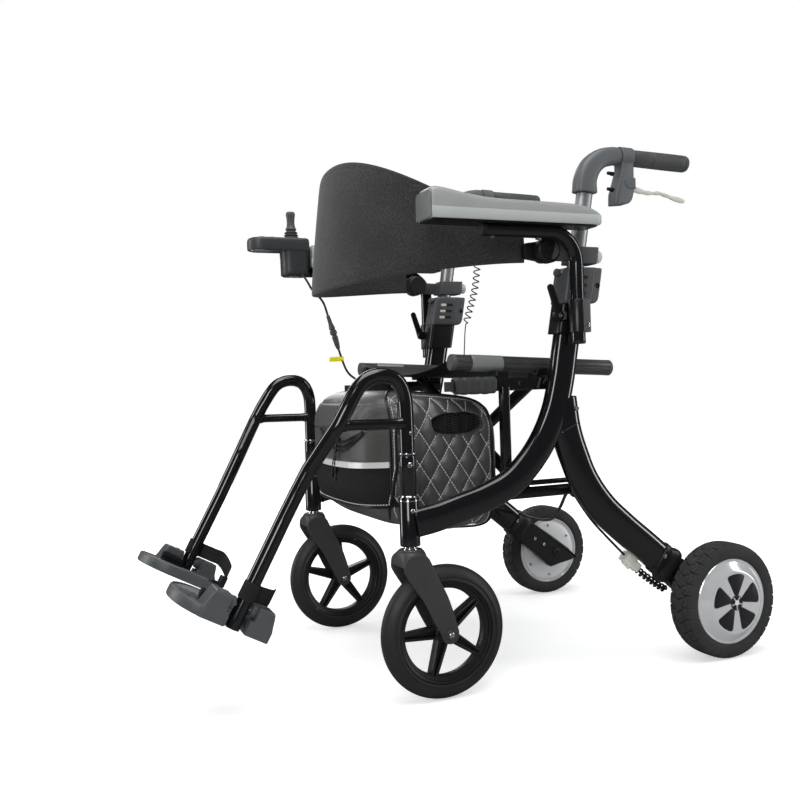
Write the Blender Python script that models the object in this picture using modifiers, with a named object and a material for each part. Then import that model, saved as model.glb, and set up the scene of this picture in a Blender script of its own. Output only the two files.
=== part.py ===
"""A powered all-terrain rollator that folds from side to side and doubles as a transport chair.

Lengths are in metres. +Z is up, -Y is the front and +X is the passenger's left.
While it is drawn, y is measured from the axle of the front casters and z from the ground.
At the end the whole object moves so that the origin lies under the middle of its box.
The left side is modelled, and the right side is its mirror image.
"""

import math

import bmesh
import bpy
from mathutils import Matrix, Vector

# Clearances between pieces
GAP = 0.0003
SLIDE_GAP = 0.0004
TURN_GAP = 0.0005

# How far joined shapes run into each other, and how far a cutter passes what it cuts
OVERLAP = 0.001
OVERCUT = 0.02

# Sides of round bars
COARSE_SIDES = 12
SIDES = 16
FINE_SIDES = 24

# Places across the width, from the middle plane
POST_X = 0.227
FRAME_X = 0.233
RAIL_X = 0.193
ARMREST_X = 0.270
DRIVE_X = 0.2729

# Front casters
WHEEL_STEPS = 24
CASTER_RADIUS = 0.100
CASTER_WIDTH = 0.033
CASTER_TYRE_DEPTH = 0.024
TYRE_CROWN_SHARE = 0.5
TYRE_SEAT_SHARE = 0.8
CASTER_RIM_DEPTH = 0.011
CASTER_RIM_WIDTH = 0.027
CASTER_HUB_RADIUS = 0.016
CASTER_TRAIL = 0.049
SPOKES = 5
SPOKE_WIDTH = 0.010
SPOKE_DEPTH = 0.012
AXLE_RADIUS = 0.005
AXLE_HEAD_RADIUS = 0.008
AXLE_HEAD_HEIGHT = 0.007
FORK_SIDE_GAP = 0.0055
FORK_TOP_GAP = 0.0045
FORK_LEG_THICKNESS = 0.005
FORK_LEG_WIDTH = 0.036
FORK_TIP_RADIUS = 0.014
FORK_TIP_ARC = (205, 385)
YOKE_HEIGHT = 0.008
CROWN_RADIUS = 0.0205
CROWN_HEIGHT = 0.0135
STEM_RING_RADIUS = 0.011
STEM_RING_HEIGHT = 0.0062
STEM_RADIUS = 0.006
STEM_LENGTH = 0.022

# Drive wheels, each with its motor in the hub
DRIVE_RADIUS = 0.0951
DRIVE_WIDTH = 0.046
DRIVE_TYRE_DEPTH = 0.0248
DRIVE_Y = 0.4962
HUB_WIDTH = 0.042
HUB_CAP_RADIUS = 0.026
HUB_FLAT_RADIUS = 0.052
HUB_DISH_DEPTH = 0.008
HUB_CAP_HEIGHT = 0.003
HUB_CAP_SLOPE = 0.004
HUB_LIP_WIDTH = 0.004
AXLE_STUB_RADIUS = 0.006
AXLE_STUB_LENGTH = 0.030
MOTOR_EAR_RADIUS = 0.030
BRACKET_WIDTH = 0.022
BOOT_WALL = 0.0035
BOOT_COVER = 0.032
BOOT_REACH = 0.012
BOOT_EDGE = 0.004
EAR_ROOT_SHARE = 0.8

# Side frame: the front arm and the upright are one bent oval beam, and the leg is another
LEAN = math.radians(10.5)
BEAM_HALF_WIDTH = 0.014
ARM_HALF_DEPTH = 0.0215
LEG_HALF_WIDTH = 0.0136
LEG_HALF_DEPTH = 0.0255
BEAM_ROUNDNESS = 2.8
DRAWN_POST_BASE = 0.2325
POST_RADIUS = 0.015
POST_HEIGHT = 0.0725
PEG_RADIUS = 0.010
PEG_LENGTH = 0.040
UPRIGHT_Y = 0.231
UPRIGHT_Z = 0.546
UPRIGHT_TOP = 0.600
UPRIGHT_START = 0.510
ARM_ROOT_REACH = 0.004
ARM_ROOT_Z = 0.266
UPRIGHT_BORE_FLOOR = 0.420
ARM_PATH = [(-0.010, 0.2715), (0.027, 0.281), (0.070, 0.2925), (0.117, 0.312), (0.152, 0.340),
            (0.182, 0.378), (0.203, 0.420), (0.2165, 0.468)]
LEG_PATH = [(0.2165, 0.440), (0.223, 0.392), (0.236, 0.350), (0.256, 0.305), (0.288, 0.262),
            (0.330, 0.224), (0.370, 0.192), (0.405, 0.163)]

# Crossed bars under the seat
RAIL_Z = 0.290
LOWER_RAIL_RADIUS = 0.009
LOWER_RAIL_FRONT = 0.1115
LOWER_RAIL_REAR = 0.2585
RAIL_PIN_RADIUS = 0.004
LUG_THICKNESS = 0.008
LUG_INNER_REACH = 0.015
LUG_BELOW = 0.015
LUG_ABOVE = 0.019
LUG_END_GAP = 0.0035
CROSS_RADIUS = 0.010
CROSS_END_DROP = 0.004
CROSS_A_Y = 0.172
CROSS_B_Y = 0.204
CROSS_BOLT_RADIUS = 0.004
CROSS_WASHER_RADIUS = 0.009
CROSS_BOLT_HEAD = 0.004

# Seat
SEAT_RAIL_RADIUS = 0.013
SEAT_RAIL_FRONT = (0.043, 0.501)
SEAT_RAIL_REAR = (0.339, 0.486)
SEAT_RAIL_EDGE = 0.001
SLING_SAG = 0.022
SLING_THICKNESS = 0.003
SLING_END_MARGIN = 0.006
SLING_RISE = 0.006
SLING_STEPS = 12
REST_BAR_X = 0.2145
REST_BAR_WIDTH = 0.012
REST_BAR_LOW = 0.4545
REST_BAR_HEIGHT = 0.020
REST_BAR_FRONT = 0.035
REST_BAR_EDGE = 0.002
REST_JOINT_FRONT = 0.016
REST_JOINT_REAR = 0.010
REST_POST_Y = 0.121
REST_POST_WIDTH = 0.014
REST_POST_LOW = 0.335
SADDLE_LENGTH = 0.022
SADDLE_INNER_X = 0.186

# Storage bag under the seat: y, half width, bottom and top of each section
BAG_SECTIONS = [(-0.082, 0.085, 0.300, 0.405), (-0.072, 0.125, 0.275, 0.440), (-0.050, 0.150, 0.258, 0.458),
                (-0.010, 0.169, 0.244, 0.460), (0.040, 0.170, 0.236, 0.456), (0.090, 0.169, 0.240, 0.450),
                (0.122, 0.164, 0.252, 0.444), (0.138, 0.156, 0.272, 0.430)]
BAG_SQUARENESS = 5.0
BAG_SIDES = 16

# Handles
TUBE_HALF_WIDTH = 0.011
TUBE_HALF_DEPTH = 0.0135
TUBE_BOTTOM = 0.440
TUBE_TOP = 0.763
RIGHT_HANDLE_RAISE = 0.030
ELBOW_HALF_WIDTH = 0.0148
ELBOW_HALF_DEPTH = 0.019
ELBOW_END_RADIUS = 0.014
ELBOW_SEAM = 0.003
ELBOW_ROUNDNESS = 2.2
ELBOW_BAR_LAP = 0.010
GRIP_BAR_RADIUS = 0.010
GRIP_RADIUS = 0.0135
GRIP_Z = 0.827
GRIP_START = 0.3645
GRIP_END = 0.478
GRIP_DROP = 0.003
GRIP_END_WALL = 0.008
GRIP_EDGE = 0.002

# The elbow's bends: y, height over the grip's axis, half width, half depth
ELBOW_BENDS = [(0.2735, -0.041, 0.0148, 0.0175), (0.2840, -0.020, 0.0145, 0.0165),
               (0.3030, -0.006, 0.0142, 0.0150), (0.3240, -0.0005, 0.0140, 0.0142)]

# Brakes: the lever's line is measured from its pivot
BRAKE_RING_RADIUS = 0.016
BRAKE_FRONT = 0.3385
BRAKE_REAR = 0.3625
BRAKE_BLOCK_HALF_WIDTH = 0.0115
BRAKE_BLOCK_BOTTOM = 0.748
BRAKE_BLOCK_LEAN = 0.014
BRAKE_BLOCK_THROAT = 0.021
BRAKE_BLOCK_NOSE = 0.020
BRAKE_BLOCK_HEEL = 0.003
BRAKE_BLOCK_EDGE = 0.002
BRAKE_SLOT_FLOOR = 0.006
BRAKE_SLOT_CLEARANCE = 0.002
BRAKE_SLOT_HALF_WIDTH = 0.0048
BRAKE_SLOT_LOW = 0.7735
BRAKE_SLOT_HIGH = 0.7975
BRAKE_PIN_RADIUS = 0.0025
LEVER_PIVOT_Y = 0.352
LEVER_PIVOT_Z = 0.783
LEVER_EYE_RADIUS = 0.007
LEVER_THICKNESS = 0.008
LEVER_DEPTH = 0.010
LEVER_LINE = [(0.0, 0.0), (0.018, -0.007), (0.045, -0.0115), (0.070, -0.011), (0.095, -0.017),
              (0.121, -0.022)]

# Clamp housing on the upright, with the backrest collar above it
HOUSING_LOW = 0.5875
HOUSING_HIGH = 0.644
HOUSING_HALF_WIDTH = 0.0222
HOUSING_HALF_DEPTH = 0.026
HOUSING_REAR_EAR = 0.016
HOUSING_EDGE = 0.004
COLLAR_LOW = 0.650
COLLAR_HIGH = 0.677
COLLAR_WALL = 0.0045
COLLAR_REAR_WALL = 0.014
COLLAR_KNOB_RADIUS = 0.010
COLLAR_KNOB_LENGTH = 0.014
COLLAR_KNOB_LAP = 0.004
COLLAR_EDGE = 0.002
COLLAR_ARM_INSET = 0.003
COLLAR_ARM_LAP = 0.010

# Backrest
PIVOT_Y = 0.189
PIVOT_Z = 0.669
PIVOT_DISC_RADIUS = 0.020
PIVOT_DISC_THICKNESS = 0.016
PIVOT_DISC_OFFSET = 0.0075
PIVOT_PIN_RADIUS = 0.004
BACK_ARM_THICKNESS = 0.013
BACK_ARM_EYE_RADIUS = 0.018
BACK_ARM_REACH = 0.024
TONGUE_SHARE = 0.8
BAND_HALF_WIDTH = 0.2275
BAND_FRONT = -0.100
BAND_THICKNESS = 0.006
BAND_LOW = 0.627
BAND_HIGH = 0.835
BAND_END_LOW = 0.652
BAND_END_HIGH = 0.700
BAND_LEAN = 0.025
BAND_SQUARENESS = 2.2
BAND_STEPS = 20
BAND_TOP_CURVE = 1.1
BAND_FOOT_CURVE = 1.3

# Armrests
ARM_TUBE_RADIUS = 0.011
ARM_TUBE_Z = 0.694
ARM_TUBE_FRONT = 0.063
ARM_TUBE_Y = 0.2265
ARM_TUBE_LOW = 0.525
ARM_BEND_RADIUS = 0.047
BRACKET_LOW = 0.541
BRACKET_WALL = 0.0042
SLEEVE_LOW = 0.540
SLEEVE_HIGH = 0.592
SLEEVE_WALL = 0.0025
SLEEVE_EDGE = 0.003
CLAMP_PIVOT_Y = 0.2035
CLAMP_PIVOT_Z = 0.568
CLAMP_PIN_RADIUS = 0.003
CLAMP_THICKNESS = 0.005
CLAMP_EYE_RADIUS = 0.008
CLAMP_LENGTH = 0.048
CLAMP_LEAN = math.radians(-19.3)
CLAMP_ROOT_SHARE = 0.9
CLAMP_TIP_HALF = 0.0045
CLAMP_TIP_POINT = 0.003
PAD_WIDTH = 0.050
PAD_EDGE = 0.005
PAD_TOP = [(-0.026, 0.745), (-0.018, 0.747), (0.026, 0.740), (0.104, 0.736), (0.203, 0.736),
           (0.237, 0.732), (0.257, 0.721), (0.261, 0.714)]
PAD_FRONT = -0.030
PAD_REAR = 0.260
PAD_BOTTOM_FRONT = 0.697
PAD_BOTTOM_REAR = 0.703

# Footrest hangers
FERRULE_RADIUS = 0.0125
FERRULE_TOP = 0.366
HANGER_RADIUS = 0.011
HANGER_LAP = 0.010
HANGER_TURN = [(0.0, 0.425), (-0.002, 0.455), (-0.014, 0.477), (-0.0395, 0.4845), (-0.064, 0.476),
               (-0.082, 0.455)]
HANGER_KNEE = (0.229, -0.1558, 0.4141)
HANGER_BEND = [(0.206, -0.194, 0.352), (0.1986, -0.232, 0.283)]
HANGER_FOOT = (0.1986, -0.311, 0.140)
CROSSBAR_Z = 0.4125
CROSSBAR_RADIUS = 0.008

# Footplates, in their own axes: inward from the tube, towards the toe, up the tube
PLATE_TILT = math.radians(2.5)
PLATE_TOE = 0.092
PLATE_TOE_CURVE = 0.050
PLATE_HEEL = 0.053
PLATE_INNER = 0.115
PLATE_OUTER = 0.014
PLATE_THICKNESS = 0.0165
PLATE_EDGE = 0.003
PLATE_HEEL_OUTER = (0.008, 0.012)
PLATE_HEEL_INNER = 0.020
PLATE_TOE_STEPS = 10
PLATE_BLOCK_HEIGHT = 0.042
PLATE_BLOCK_WIDTH = 0.040
PLATE_BLOCK_LENGTH = 0.043
PLATE_BLOCK_EDGE = 0.004
PLATE_SLOT_HALF = 0.013
PLATE_SLOT_CLEARANCE = 0.0015
PLATE_PIN_RADIUS = 0.0035
PLATE_PIN_HEIGHT = 0.033
PLATE_PIN_LAP = 0.008
STRAP_WIDTH = 0.024
STRAP_THICKNESS = 0.002
STRAP_ROUTE = [(0.000, -0.0125, 0.0560), (0.012, -0.034, 0.0565), (0.037, -0.046, 0.0560),
               (0.075, -0.055, 0.042), (0.105, -0.046, 0.030)]

# Joystick on the right armrest
JOYSTICK_FRONT = -0.150
JOYSTICK_HALF_WIDTH = 0.0255
JOYSTICK_TOP = 0.760
PADDLE_THICKNESS = 0.025
PADDLE_REAR = -0.060
BODY_FRONT = -0.083
BODY_REAR = -0.032
BODY_HALF_WIDTH = 0.022
BODY_BOTTOM = 0.688
BODY_EDGE = 0.005
HEAD_INSET = 0.002
HEAD_RISE = 0.010
HEAD_LAP = 0.010
HEAD_EDGE = 0.004
JOYSTICK_ROD_RADIUS = 0.008
JOYSTICK_ROD_FRONT = -0.040
STICK_Y = -0.062
BOOT_BASE_RADIUS = 0.0145
BOOT_TOP_RADIUS = 0.010
BOOT_HEIGHT = 0.017
STICK_RADIUS = 0.0085
STICK_NECK_RADIUS = 0.0068
STICK_EDGE = 0.002
STICK_HEIGHT = 0.036

# Cables, each a route chosen by hand, with a point every few radii
CABLE_POINT_RADII = 5
CABLE_RADIUS = 0.003
CURLY_RADIUS = 0.007
JOYSTICK_CABLE = [(-0.2440, -0.046, 0.686), (-0.240, -0.032, 0.658), (-0.238, -0.019, 0.644),
                  (-0.237, -0.010, 0.630), (-0.236, -0.001, 0.600), (-0.235, 0.008, 0.570),
                  (-0.233, 0.016, 0.540), (-0.231, 0.030, 0.500), (-0.228, 0.048, 0.482)]
CURLY_CABLE = [(-0.214, 0.326, 0.776), (-0.214, 0.324, 0.740), (-0.214, 0.319, 0.705),
               (-0.214, 0.313, 0.660), (-0.214, 0.298, 0.612), (-0.216, 0.290, 0.590)]
LEFT_MOTOR_CABLE = [(0.2115, 0.244, 0.300), (0.2115, 0.252, 0.274), (0.212, 0.277, 0.241),
                    (0.213, 0.305, 0.218), (0.213, 0.327, 0.200), (0.213, 0.343, 0.178),
                    (0.212, 0.366, 0.152), (0.211, 0.386, 0.135)]
RIGHT_MOTOR_CABLE = [(-0.2085, 0.398, 0.190), (-0.160, 0.394, 0.188), (-0.060, 0.360, 0.198),
                     (0.030, 0.325, 0.215), (0.100, 0.296, 0.245), (0.150, 0.275, 0.274),
                     (0.1765, 0.266, 0.286)]

# Colours and finishes
BLACK_PAINT = ((0.012, 0.012, 0.014), 0.25, 0.3)
SATIN_BLACK = ((0.020, 0.020, 0.022), 0.45, 0.0)
DARK_PLASTIC = ((0.060, 0.062, 0.066), 0.45, 0.0)
GREY_PLASTIC = ((0.130, 0.135, 0.140), 0.50, 0.0)
PALE_PLASTIC = ((0.620, 0.600, 0.540), 0.40, 0.0)
GREY_METAL = ((0.200, 0.205, 0.215), 0.35, 0.8)
ALUMINIUM = ((0.560, 0.570, 0.580), 0.25, 1.0)
RUBBER = ((0.018, 0.018, 0.018), 0.85, 0.0)
FABRIC = ((0.022, 0.022, 0.024), 0.80, 0.0)

COLLECTION = bpy.data.collections.new("all_terrain_rollator")
CUTTERS = bpy.data.collections.new("cutters")


def clear_scene():
    for obj in list(bpy.data.objects):
        bpy.data.objects.remove(obj, do_unlink=True)
    for collection in (COLLECTION, CUTTERS):
        bpy.context.scene.collection.children.link(collection)


# Basic shapes


def mesh_object(name, bm):
    mesh = bpy.data.meshes.new(name)
    bmesh.ops.recalc_face_normals(bm, faces=bm.faces)
    bm.to_mesh(mesh)
    bm.free()
    obj = bpy.data.objects.new(name, mesh)
    COLLECTION.objects.link(obj)
    return obj


def evaluated_mesh(obj):
    """The object's mesh with its modifiers, in world coordinates and with its caps welded."""
    bpy.context.view_layer.update()
    graph = bpy.context.evaluated_depsgraph_get()
    mesh = bpy.data.meshes.new_from_object(obj.evaluated_get(graph), depsgraph=graph)
    mesh.transform(obj.matrix_world)
    bm = bmesh.new()
    bm.from_mesh(mesh)
    bmesh.ops.remove_doubles(bm, verts=bm.verts, dist=1e-6)
    bmesh.ops.recalc_face_normals(bm, faces=bm.faces)
    bm.to_mesh(mesh)
    bm.free()
    return mesh


def settled(obj):
    """Replaces a curve, or an object with modifiers, by its plain mesh."""
    name = obj.name
    mesh = evaluated_mesh(obj)
    bpy.data.objects.remove(obj, do_unlink=True)
    plain = bpy.data.objects.new(name, mesh)
    COLLECTION.objects.link(plain)
    return plain


def box(name, low, high, soft=0.0):
    bm = bmesh.new()
    bmesh.ops.create_cube(bm, size=1.0)
    size = Vector(high) - Vector(low)
    bmesh.ops.scale(bm, vec=size, verts=bm.verts)
    bmesh.ops.translate(bm, vec=(Vector(low) + Vector(high)) / 2, verts=bm.verts)
    obj = mesh_object(name, bm)
    return softened(obj, soft) if soft else obj


def softened(obj, width, segments=2):
    bevel = obj.modifiers.new("round edges", "BEVEL")
    bevel.width = width
    bevel.segments = segments
    bevel.limit_method = "ANGLE"
    bevel.angle_limit = math.radians(40)
    return settled(obj)


def rod(name, start, end, radius, sides=SIDES, end_radius=None):
    """A cylinder, or a cone, from one point to another."""
    start, end = Vector(start), Vector(end)
    along = end - start
    bm = bmesh.new()
    bmesh.ops.create_cone(bm, cap_ends=True, segments=sides, radius1=radius,
                          radius2=radius if end_radius is None else end_radius, depth=along.length)
    turn = along.to_track_quat("Z", "Y").to_matrix().to_4x4()
    bmesh.ops.transform(bm, matrix=Matrix.Translation((start + end) / 2) @ turn, verts=bm.verts)
    return mesh_object(name, bm)


def rod_across(name, x_low, x_high, y, z, radius, sides=SIDES):
    return rod(name, (x_low, y, z), (x_high, y, z), radius, sides)


def rod_along(name, x, y_low, y_high, z, radius, sides=SIDES):
    return rod(name, (x, y_low, z), (x, y_high, z), radius, sides)


def rod_up(name, x, y, z_low, z_high, radius, sides=SIDES):
    return rod(name, (x, y, z_low), (x, y, z_high), radius, sides)


def turned(name, profile, centre, closed, steps):
    """Turns a profile of (radius, height) pairs about an upright axis, then lays that axis along X."""
    bm = bmesh.new()
    points = [bm.verts.new((radius, 0.0, height)) for radius, height in profile]
    ends = points[1:] + points[:1] if closed else points[1:]
    for near, far in zip(points, ends):
        bm.edges.new((near, far))
    mesh = bpy.data.meshes.new(name)
    bm.to_mesh(mesh)
    bm.free()
    obj = bpy.data.objects.new(name, mesh)
    COLLECTION.objects.link(obj)
    screw = obj.modifiers.new("turn", "SCREW")
    screw.steps = steps
    screw.render_steps = steps
    screw.use_merge_vertices = True
    screw.merge_threshold = 1e-5
    screw.use_smooth_shade = True
    obj.matrix_world = Matrix.Translation(centre) @ Matrix.Rotation(math.radians(90), 4, "Y")
    return settled(obj)


def tube(name, points, radius, resolution=3):
    """A round tube along the points, as a bevelled curve."""
    curve = bpy.data.curves.new(name, "CURVE")
    curve.dimensions = "3D"
    curve.bevel_depth = radius
    curve.bevel_resolution = resolution
    curve.use_fill_caps = True
    spline = curve.splines.new("POLY")
    spline.points.add(len(points) - 1)
    for point, place in zip(spline.points, points):
        point.co = (*place, 1.0)
    obj = bpy.data.objects.new(name, curve)
    COLLECTION.objects.link(obj)
    return settled(obj)


def slab(name, outline, low, high):
    """A flat outline of (y, z) points, as thick as from low to high across the width."""
    curve = bpy.data.curves.new(name, "CURVE")
    curve.dimensions = "2D"
    curve.fill_mode = "BOTH"
    curve.extrude = (high - low) / 2
    spline = curve.splines.new("POLY")
    spline.points.add(len(outline) - 1)
    for point, (y, z) in zip(spline.points, outline):
        point.co = (y, z, 0.0, 1.0)
    spline.use_cyclic_u = True
    obj = bpy.data.objects.new(name, curve)
    COLLECTION.objects.link(obj)
    sideways = Matrix(((0, 0, 1, 0), (1, 0, 0, 0), (0, 1, 0, 0), (0, 0, 0, 1)))
    obj.matrix_world = Matrix.Translation(((low + high) / 2, 0, 0)) @ sideways
    return settled(obj)


def upright_slab(name, outline, low, high):
    """A flat outline of (x, y) points, as thick as from low to high upwards."""
    plate = slab(name, outline, low, high)
    plate.data.transform(Matrix(((0, 1, 0, 0), (0, 0, 1, 0), (1, 0, 0, 0), (0, 0, 0, 1))))
    return plate


def loft(name, rings):
    """A closed solid through rings that all have as many points, with flat ends."""
    bm = bmesh.new()
    loops = [[bm.verts.new(point) for point in ring] for ring in rings]
    for near, far in zip(loops, loops[1:]):
        for i in range(len(near)):
            j = (i + 1) % len(near)
            bm.faces.new((near[i], near[j], far[j], far[i]))
    bm.faces.new(loops[0])
    bm.faces.new(loops[-1])
    return mesh_object(name, bm)


# Points that follow a rule


def smooth(points, parts):
    """Points on a Catmull-Rom curve through the given ones, with this many parts to each span."""
    points = [Vector(point) for point in points]
    ends = [2 * points[0] - points[1]] + points + [2 * points[-1] - points[-2]]
    found = []
    for a, b, c, d in zip(ends, ends[1:], ends[2:], ends[3:]):
        for i in range(parts):
            t = i / parts
            square_term = (2 * a - 5 * b + 4 * c - d) * t**2
            cubic_term = (3 * b - a - 3 * c + d) * t**3
            found.append((2 * b + (c - a) * t + square_term + cubic_term) / 2)
    return found + [points[-1]]


def evenly(points, step):
    """Points of a smooth curve, about one step apart."""
    fine = smooth(points, 12)
    found = [fine[0]]
    for point in fine[1:-1]:
        if (point - found[-1]).length >= step and (point - fine[-1]).length > step / 2:
            found.append(point)
    return found + [fine[-1]]


def arc(y, z, radius, start, end, parts):
    """(y, z) points of an arc, in degrees from +Y towards +Z."""
    angles = [math.radians(start + (end - start) * i / parts) for i in range(parts + 1)]
    return [(y + radius * math.cos(a), z + radius * math.sin(a)) for a in angles]


def oval(half_width, half_depth, roundness=2.0, sides=COARSE_SIDES):
    """Points of an oval: a circle stretched both ways, and squarer as the roundness goes up."""
    found = []
    for i in range(sides):
        angle = 2 * math.pi * (i + 0.5) / sides
        across, along = math.cos(angle), math.sin(angle)
        power = 2 / roundness
        found.append((half_width * math.copysign(abs(across) ** power, across),
                      half_depth * math.copysign(abs(along) ** power, along)))
    return found


def beam(name, stations, x, roundness=2.0, sides=COARSE_SIDES):
    """A bent oval beam in an upright plane, through (y, z, half width, half depth) stations."""
    rings = []
    for i, (y, z, half_width, half_depth) in enumerate(stations):
        before = stations[max(i - 1, 0)]
        after = stations[min(i + 1, len(stations) - 1)]
        along = Vector((after[0] - before[0], after[1] - before[1])).normalized()
        rings.append([(x + across, y - along.y * deep, z + along.x * deep)
                      for across, deep in oval(half_width, half_depth, roundness, sides)])
    return loft(name, rings)


def on_lean(z):
    """How far back the middle of the upright is at this height."""
    return UPRIGHT_Y + (z - UPRIGHT_Z) * math.tan(LEAN)


def leaning_bar(name, low, high, half_width, half_depth, roundness=2.0, sides=COARSE_SIDES):
    """A straight oval bar on the line of the upright, with ends square to it."""
    stations = [(on_lean(z), z, half_width, half_depth) for z in (low, high)]
    return beam(name, stations, FRAME_X, roundness, sides)


# Joining, cutting and placing


def combine(target, operation, others):
    for other in others:
        change = target.modifiers.new(operation.lower(), "BOOLEAN")
        change.operation = operation
        change.solver = "EXACT"
        change.object = other
        COLLECTION.objects.unlink(other)
        CUTTERS.objects.link(other)
        other.hide_render = True
        other.display_type = "WIRE"
    return target


def join(target, *others):
    return combine(target, "UNION", others)


def cut(target, *others):
    return combine(target, "DIFFERENCE", others)


def finish(obj, look, joint=(0.0, 0.0, 0.0)):
    """Gives a piece its material, smooth shading and an origin on its joint."""
    colour, roughness, metallic = look
    material = bpy.data.materials.new(obj.name)
    material.use_nodes = True
    shader = material.node_tree.nodes["Principled BSDF"]
    shader.inputs["Base Color"].default_value = (*colour, 1.0)
    shader.inputs["Roughness"].default_value = roughness
    shader.inputs["Metallic"].default_value = metallic
    obj.data.materials.append(material)
    obj.data.shade_smooth()
    obj.data.set_sharp_from_angle(angle=math.radians(35))
    obj.data.transform(Matrix.Translation(-Vector(joint)))
    obj.location = joint
    return obj


def mirrored(obj, lift=(0.0, 0.0, 0.0)):
    """The right-hand piece: a mirror image of the left-hand one, moved by lift."""
    mesh = evaluated_mesh(obj)
    name = obj.name.replace("left_", "right_")
    joint = Vector((-obj.location.x, obj.location.y, obj.location.z))
    mesh.transform(Matrix.Diagonal((-1.0, 1.0, 1.0, 1.0)))
    mesh.flip_normals()
    mesh.transform(Matrix.Translation(-joint))
    mesh.name = name
    twin = bpy.data.objects.new(name, mesh)
    COLLECTION.objects.link(twin)
    material = obj.data.materials[0].copy()
    material.name = name
    mesh.materials.clear()
    mesh.materials.append(material)
    twin.location = joint + Vector(lift)
    return twin


def moved(piece, step):
    """Moves a piece together with the hidden objects that shape it."""
    for obj in [piece] + [modifier.object for modifier in piece.modifiers]:
        obj.location += Vector(step)


def centre_over_origin(pieces):
    """Moves everything so that the middle of the length is at y = 0."""
    bpy.context.view_layer.update()
    places = [(piece.matrix_world @ vertex.co).y for piece in pieces for vertex in piece.data.vertices]
    middle = (min(places) + max(places)) / 2
    for piece in pieces:
        moved(piece, (0.0, -middle, 0.0))
    print("y = 0 lies", round(middle * 1000, 3), "mm behind the casters' axle")


# Wheels

YOKE_LOW = 2 * CASTER_RADIUS + FORK_TOP_GAP
CROWN_LOW = YOKE_LOW + YOKE_HEIGHT
CROWN_TOP = CROWN_LOW + CROWN_HEIGHT
POST_BASE = CROWN_TOP + STEM_RING_HEIGHT + GAP
LIFT = POST_BASE - DRAWN_POST_BASE
POST_Y = -CASTER_TRAIL
CASTER_RIM_RADIUS = CASTER_RADIUS - CASTER_TYRE_DEPTH
FORK_INNER = CASTER_WIDTH / 2 + FORK_SIDE_GAP
DRIVE_RIM_RADIUS = DRIVE_RADIUS - DRIVE_TYRE_DEPTH


def tyre(name, radius, width, depth, centre, look):
    """A crowned ring, open where the rim fills it."""
    shoulder = radius - depth / 3
    seat = radius - depth
    half = width / 2
    upper = [(seat, half * TYRE_SEAT_SHARE), (shoulder, half), (radius, half * TYRE_CROWN_SHARE)]
    profile = upper + [(place, -height) for place, height in reversed(upper)]
    return finish(turned(name, profile, centre, True, WHEEL_STEPS), look, centre)


def caster_rim(name, centre):
    outer = CASTER_RIM_RADIUS - GAP
    inner = outer - CASTER_RIM_DEPTH
    half = CASTER_RIM_WIDTH / 2
    x, y, z = centre
    profile = [(inner, half), (outer, half), (outer, -half), (inner, -half)]
    rim = turned(name, profile, centre, True, WHEEL_STEPS)
    hub_half = FORK_INNER - FORK_SIDE_GAP / 2
    join(rim, rod_across("hub", x - hub_half, x + hub_half, y, z, CASTER_HUB_RADIUS))
    deep, wide = SPOKE_DEPTH / 2, SPOKE_WIDTH / 2
    for i in range(SPOKES):
        spoke = box("spoke", (-deep, -wide, 0), (deep, wide, inner + 3 * OVERLAP))
        spoke.data.transform(Matrix.Translation(centre) @ Matrix.Rotation(2 * math.pi * i / SPOKES, 4, "X"))
        join(rim, spoke)
    cut(rim, rod_across("axle hole", x - 2 * hub_half, x + 2 * hub_half, y, z, AXLE_RADIUS + TURN_GAP))
    return finish(rim, SATIN_BLACK, centre)


def caster_fork(name, centre):
    """Yoke, crown and stem, two legs and the axle bolt between them."""
    x, y, z = centre
    half_leg = FORK_LEG_WIDTH / 2
    outer = FORK_INNER + FORK_LEG_THICKNESS
    rear, front = POST_Y + half_leg, POST_Y - half_leg
    fork = box(name, (x - outer, front, YOKE_LOW), (x + outer, rear, CROWN_LOW + GAP))
    join(fork,
         rod_up("crown", x, POST_Y, CROWN_LOW, CROWN_TOP, CROWN_RADIUS),
         rod_up("stem ring", x, POST_Y, CROWN_TOP - GAP, POST_BASE - GAP, STEM_RING_RADIUS),
         rod_up("stem", x, POST_Y, CROWN_TOP - GAP, POST_BASE + STEM_LENGTH, STEM_RADIUS, COARSE_SIDES))
    outline = [(rear, CROWN_LOW), (front, CROWN_LOW), (front, YOKE_LOW)]
    outline += arc(y, z, FORK_TIP_RADIUS, *FORK_TIP_ARC, 8)
    for side in (-1, 1):
        inner_face = x + side * FORK_INNER
        outer_face = x + side * (outer - GAP)
        head = x + side * (outer + AXLE_HEAD_HEIGHT)
        join(fork, slab("leg", outline, *sorted((inner_face, outer_face))))
        join(fork, rod_across("bolt head", inner_face, head, y, z, AXLE_HEAD_RADIUS, COARSE_SIDES))
    join(fork, rod_across("axle", x - outer, x + outer, y, z, AXLE_RADIUS, COARSE_SIDES))
    return finish(fork, BLACK_PAINT, (x, POST_Y, CROWN_TOP))


def drive_hub(name, centre):
    """The rim and hub motor in one, with a dished outer face and a blind bore for the axle stub."""
    outer = DRIVE_RIM_RADIUS - GAP
    half = HUB_WIDTH / 2
    dish = half - HUB_DISH_DEPTH
    bore = AXLE_STUB_RADIUS + TURN_GAP
    cap = dish + HUB_CAP_HEIGHT
    bore_end = AXLE_STUB_LENGTH + GAP - half
    face = [(0, cap), (HUB_CAP_RADIUS, cap), (HUB_CAP_RADIUS + HUB_CAP_SLOPE, dish), (HUB_FLAT_RADIUS, dish)]
    wall = [(outer - HUB_LIP_WIDTH, half), (outer, half), (outer, -half)]
    profile = face + wall + [(bore, -half), (bore, bore_end), (0, bore_end)]
    return finish(turned(name, profile, centre, False, WHEEL_STEPS), ALUMINIUM, centre)


# Side frame


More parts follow.
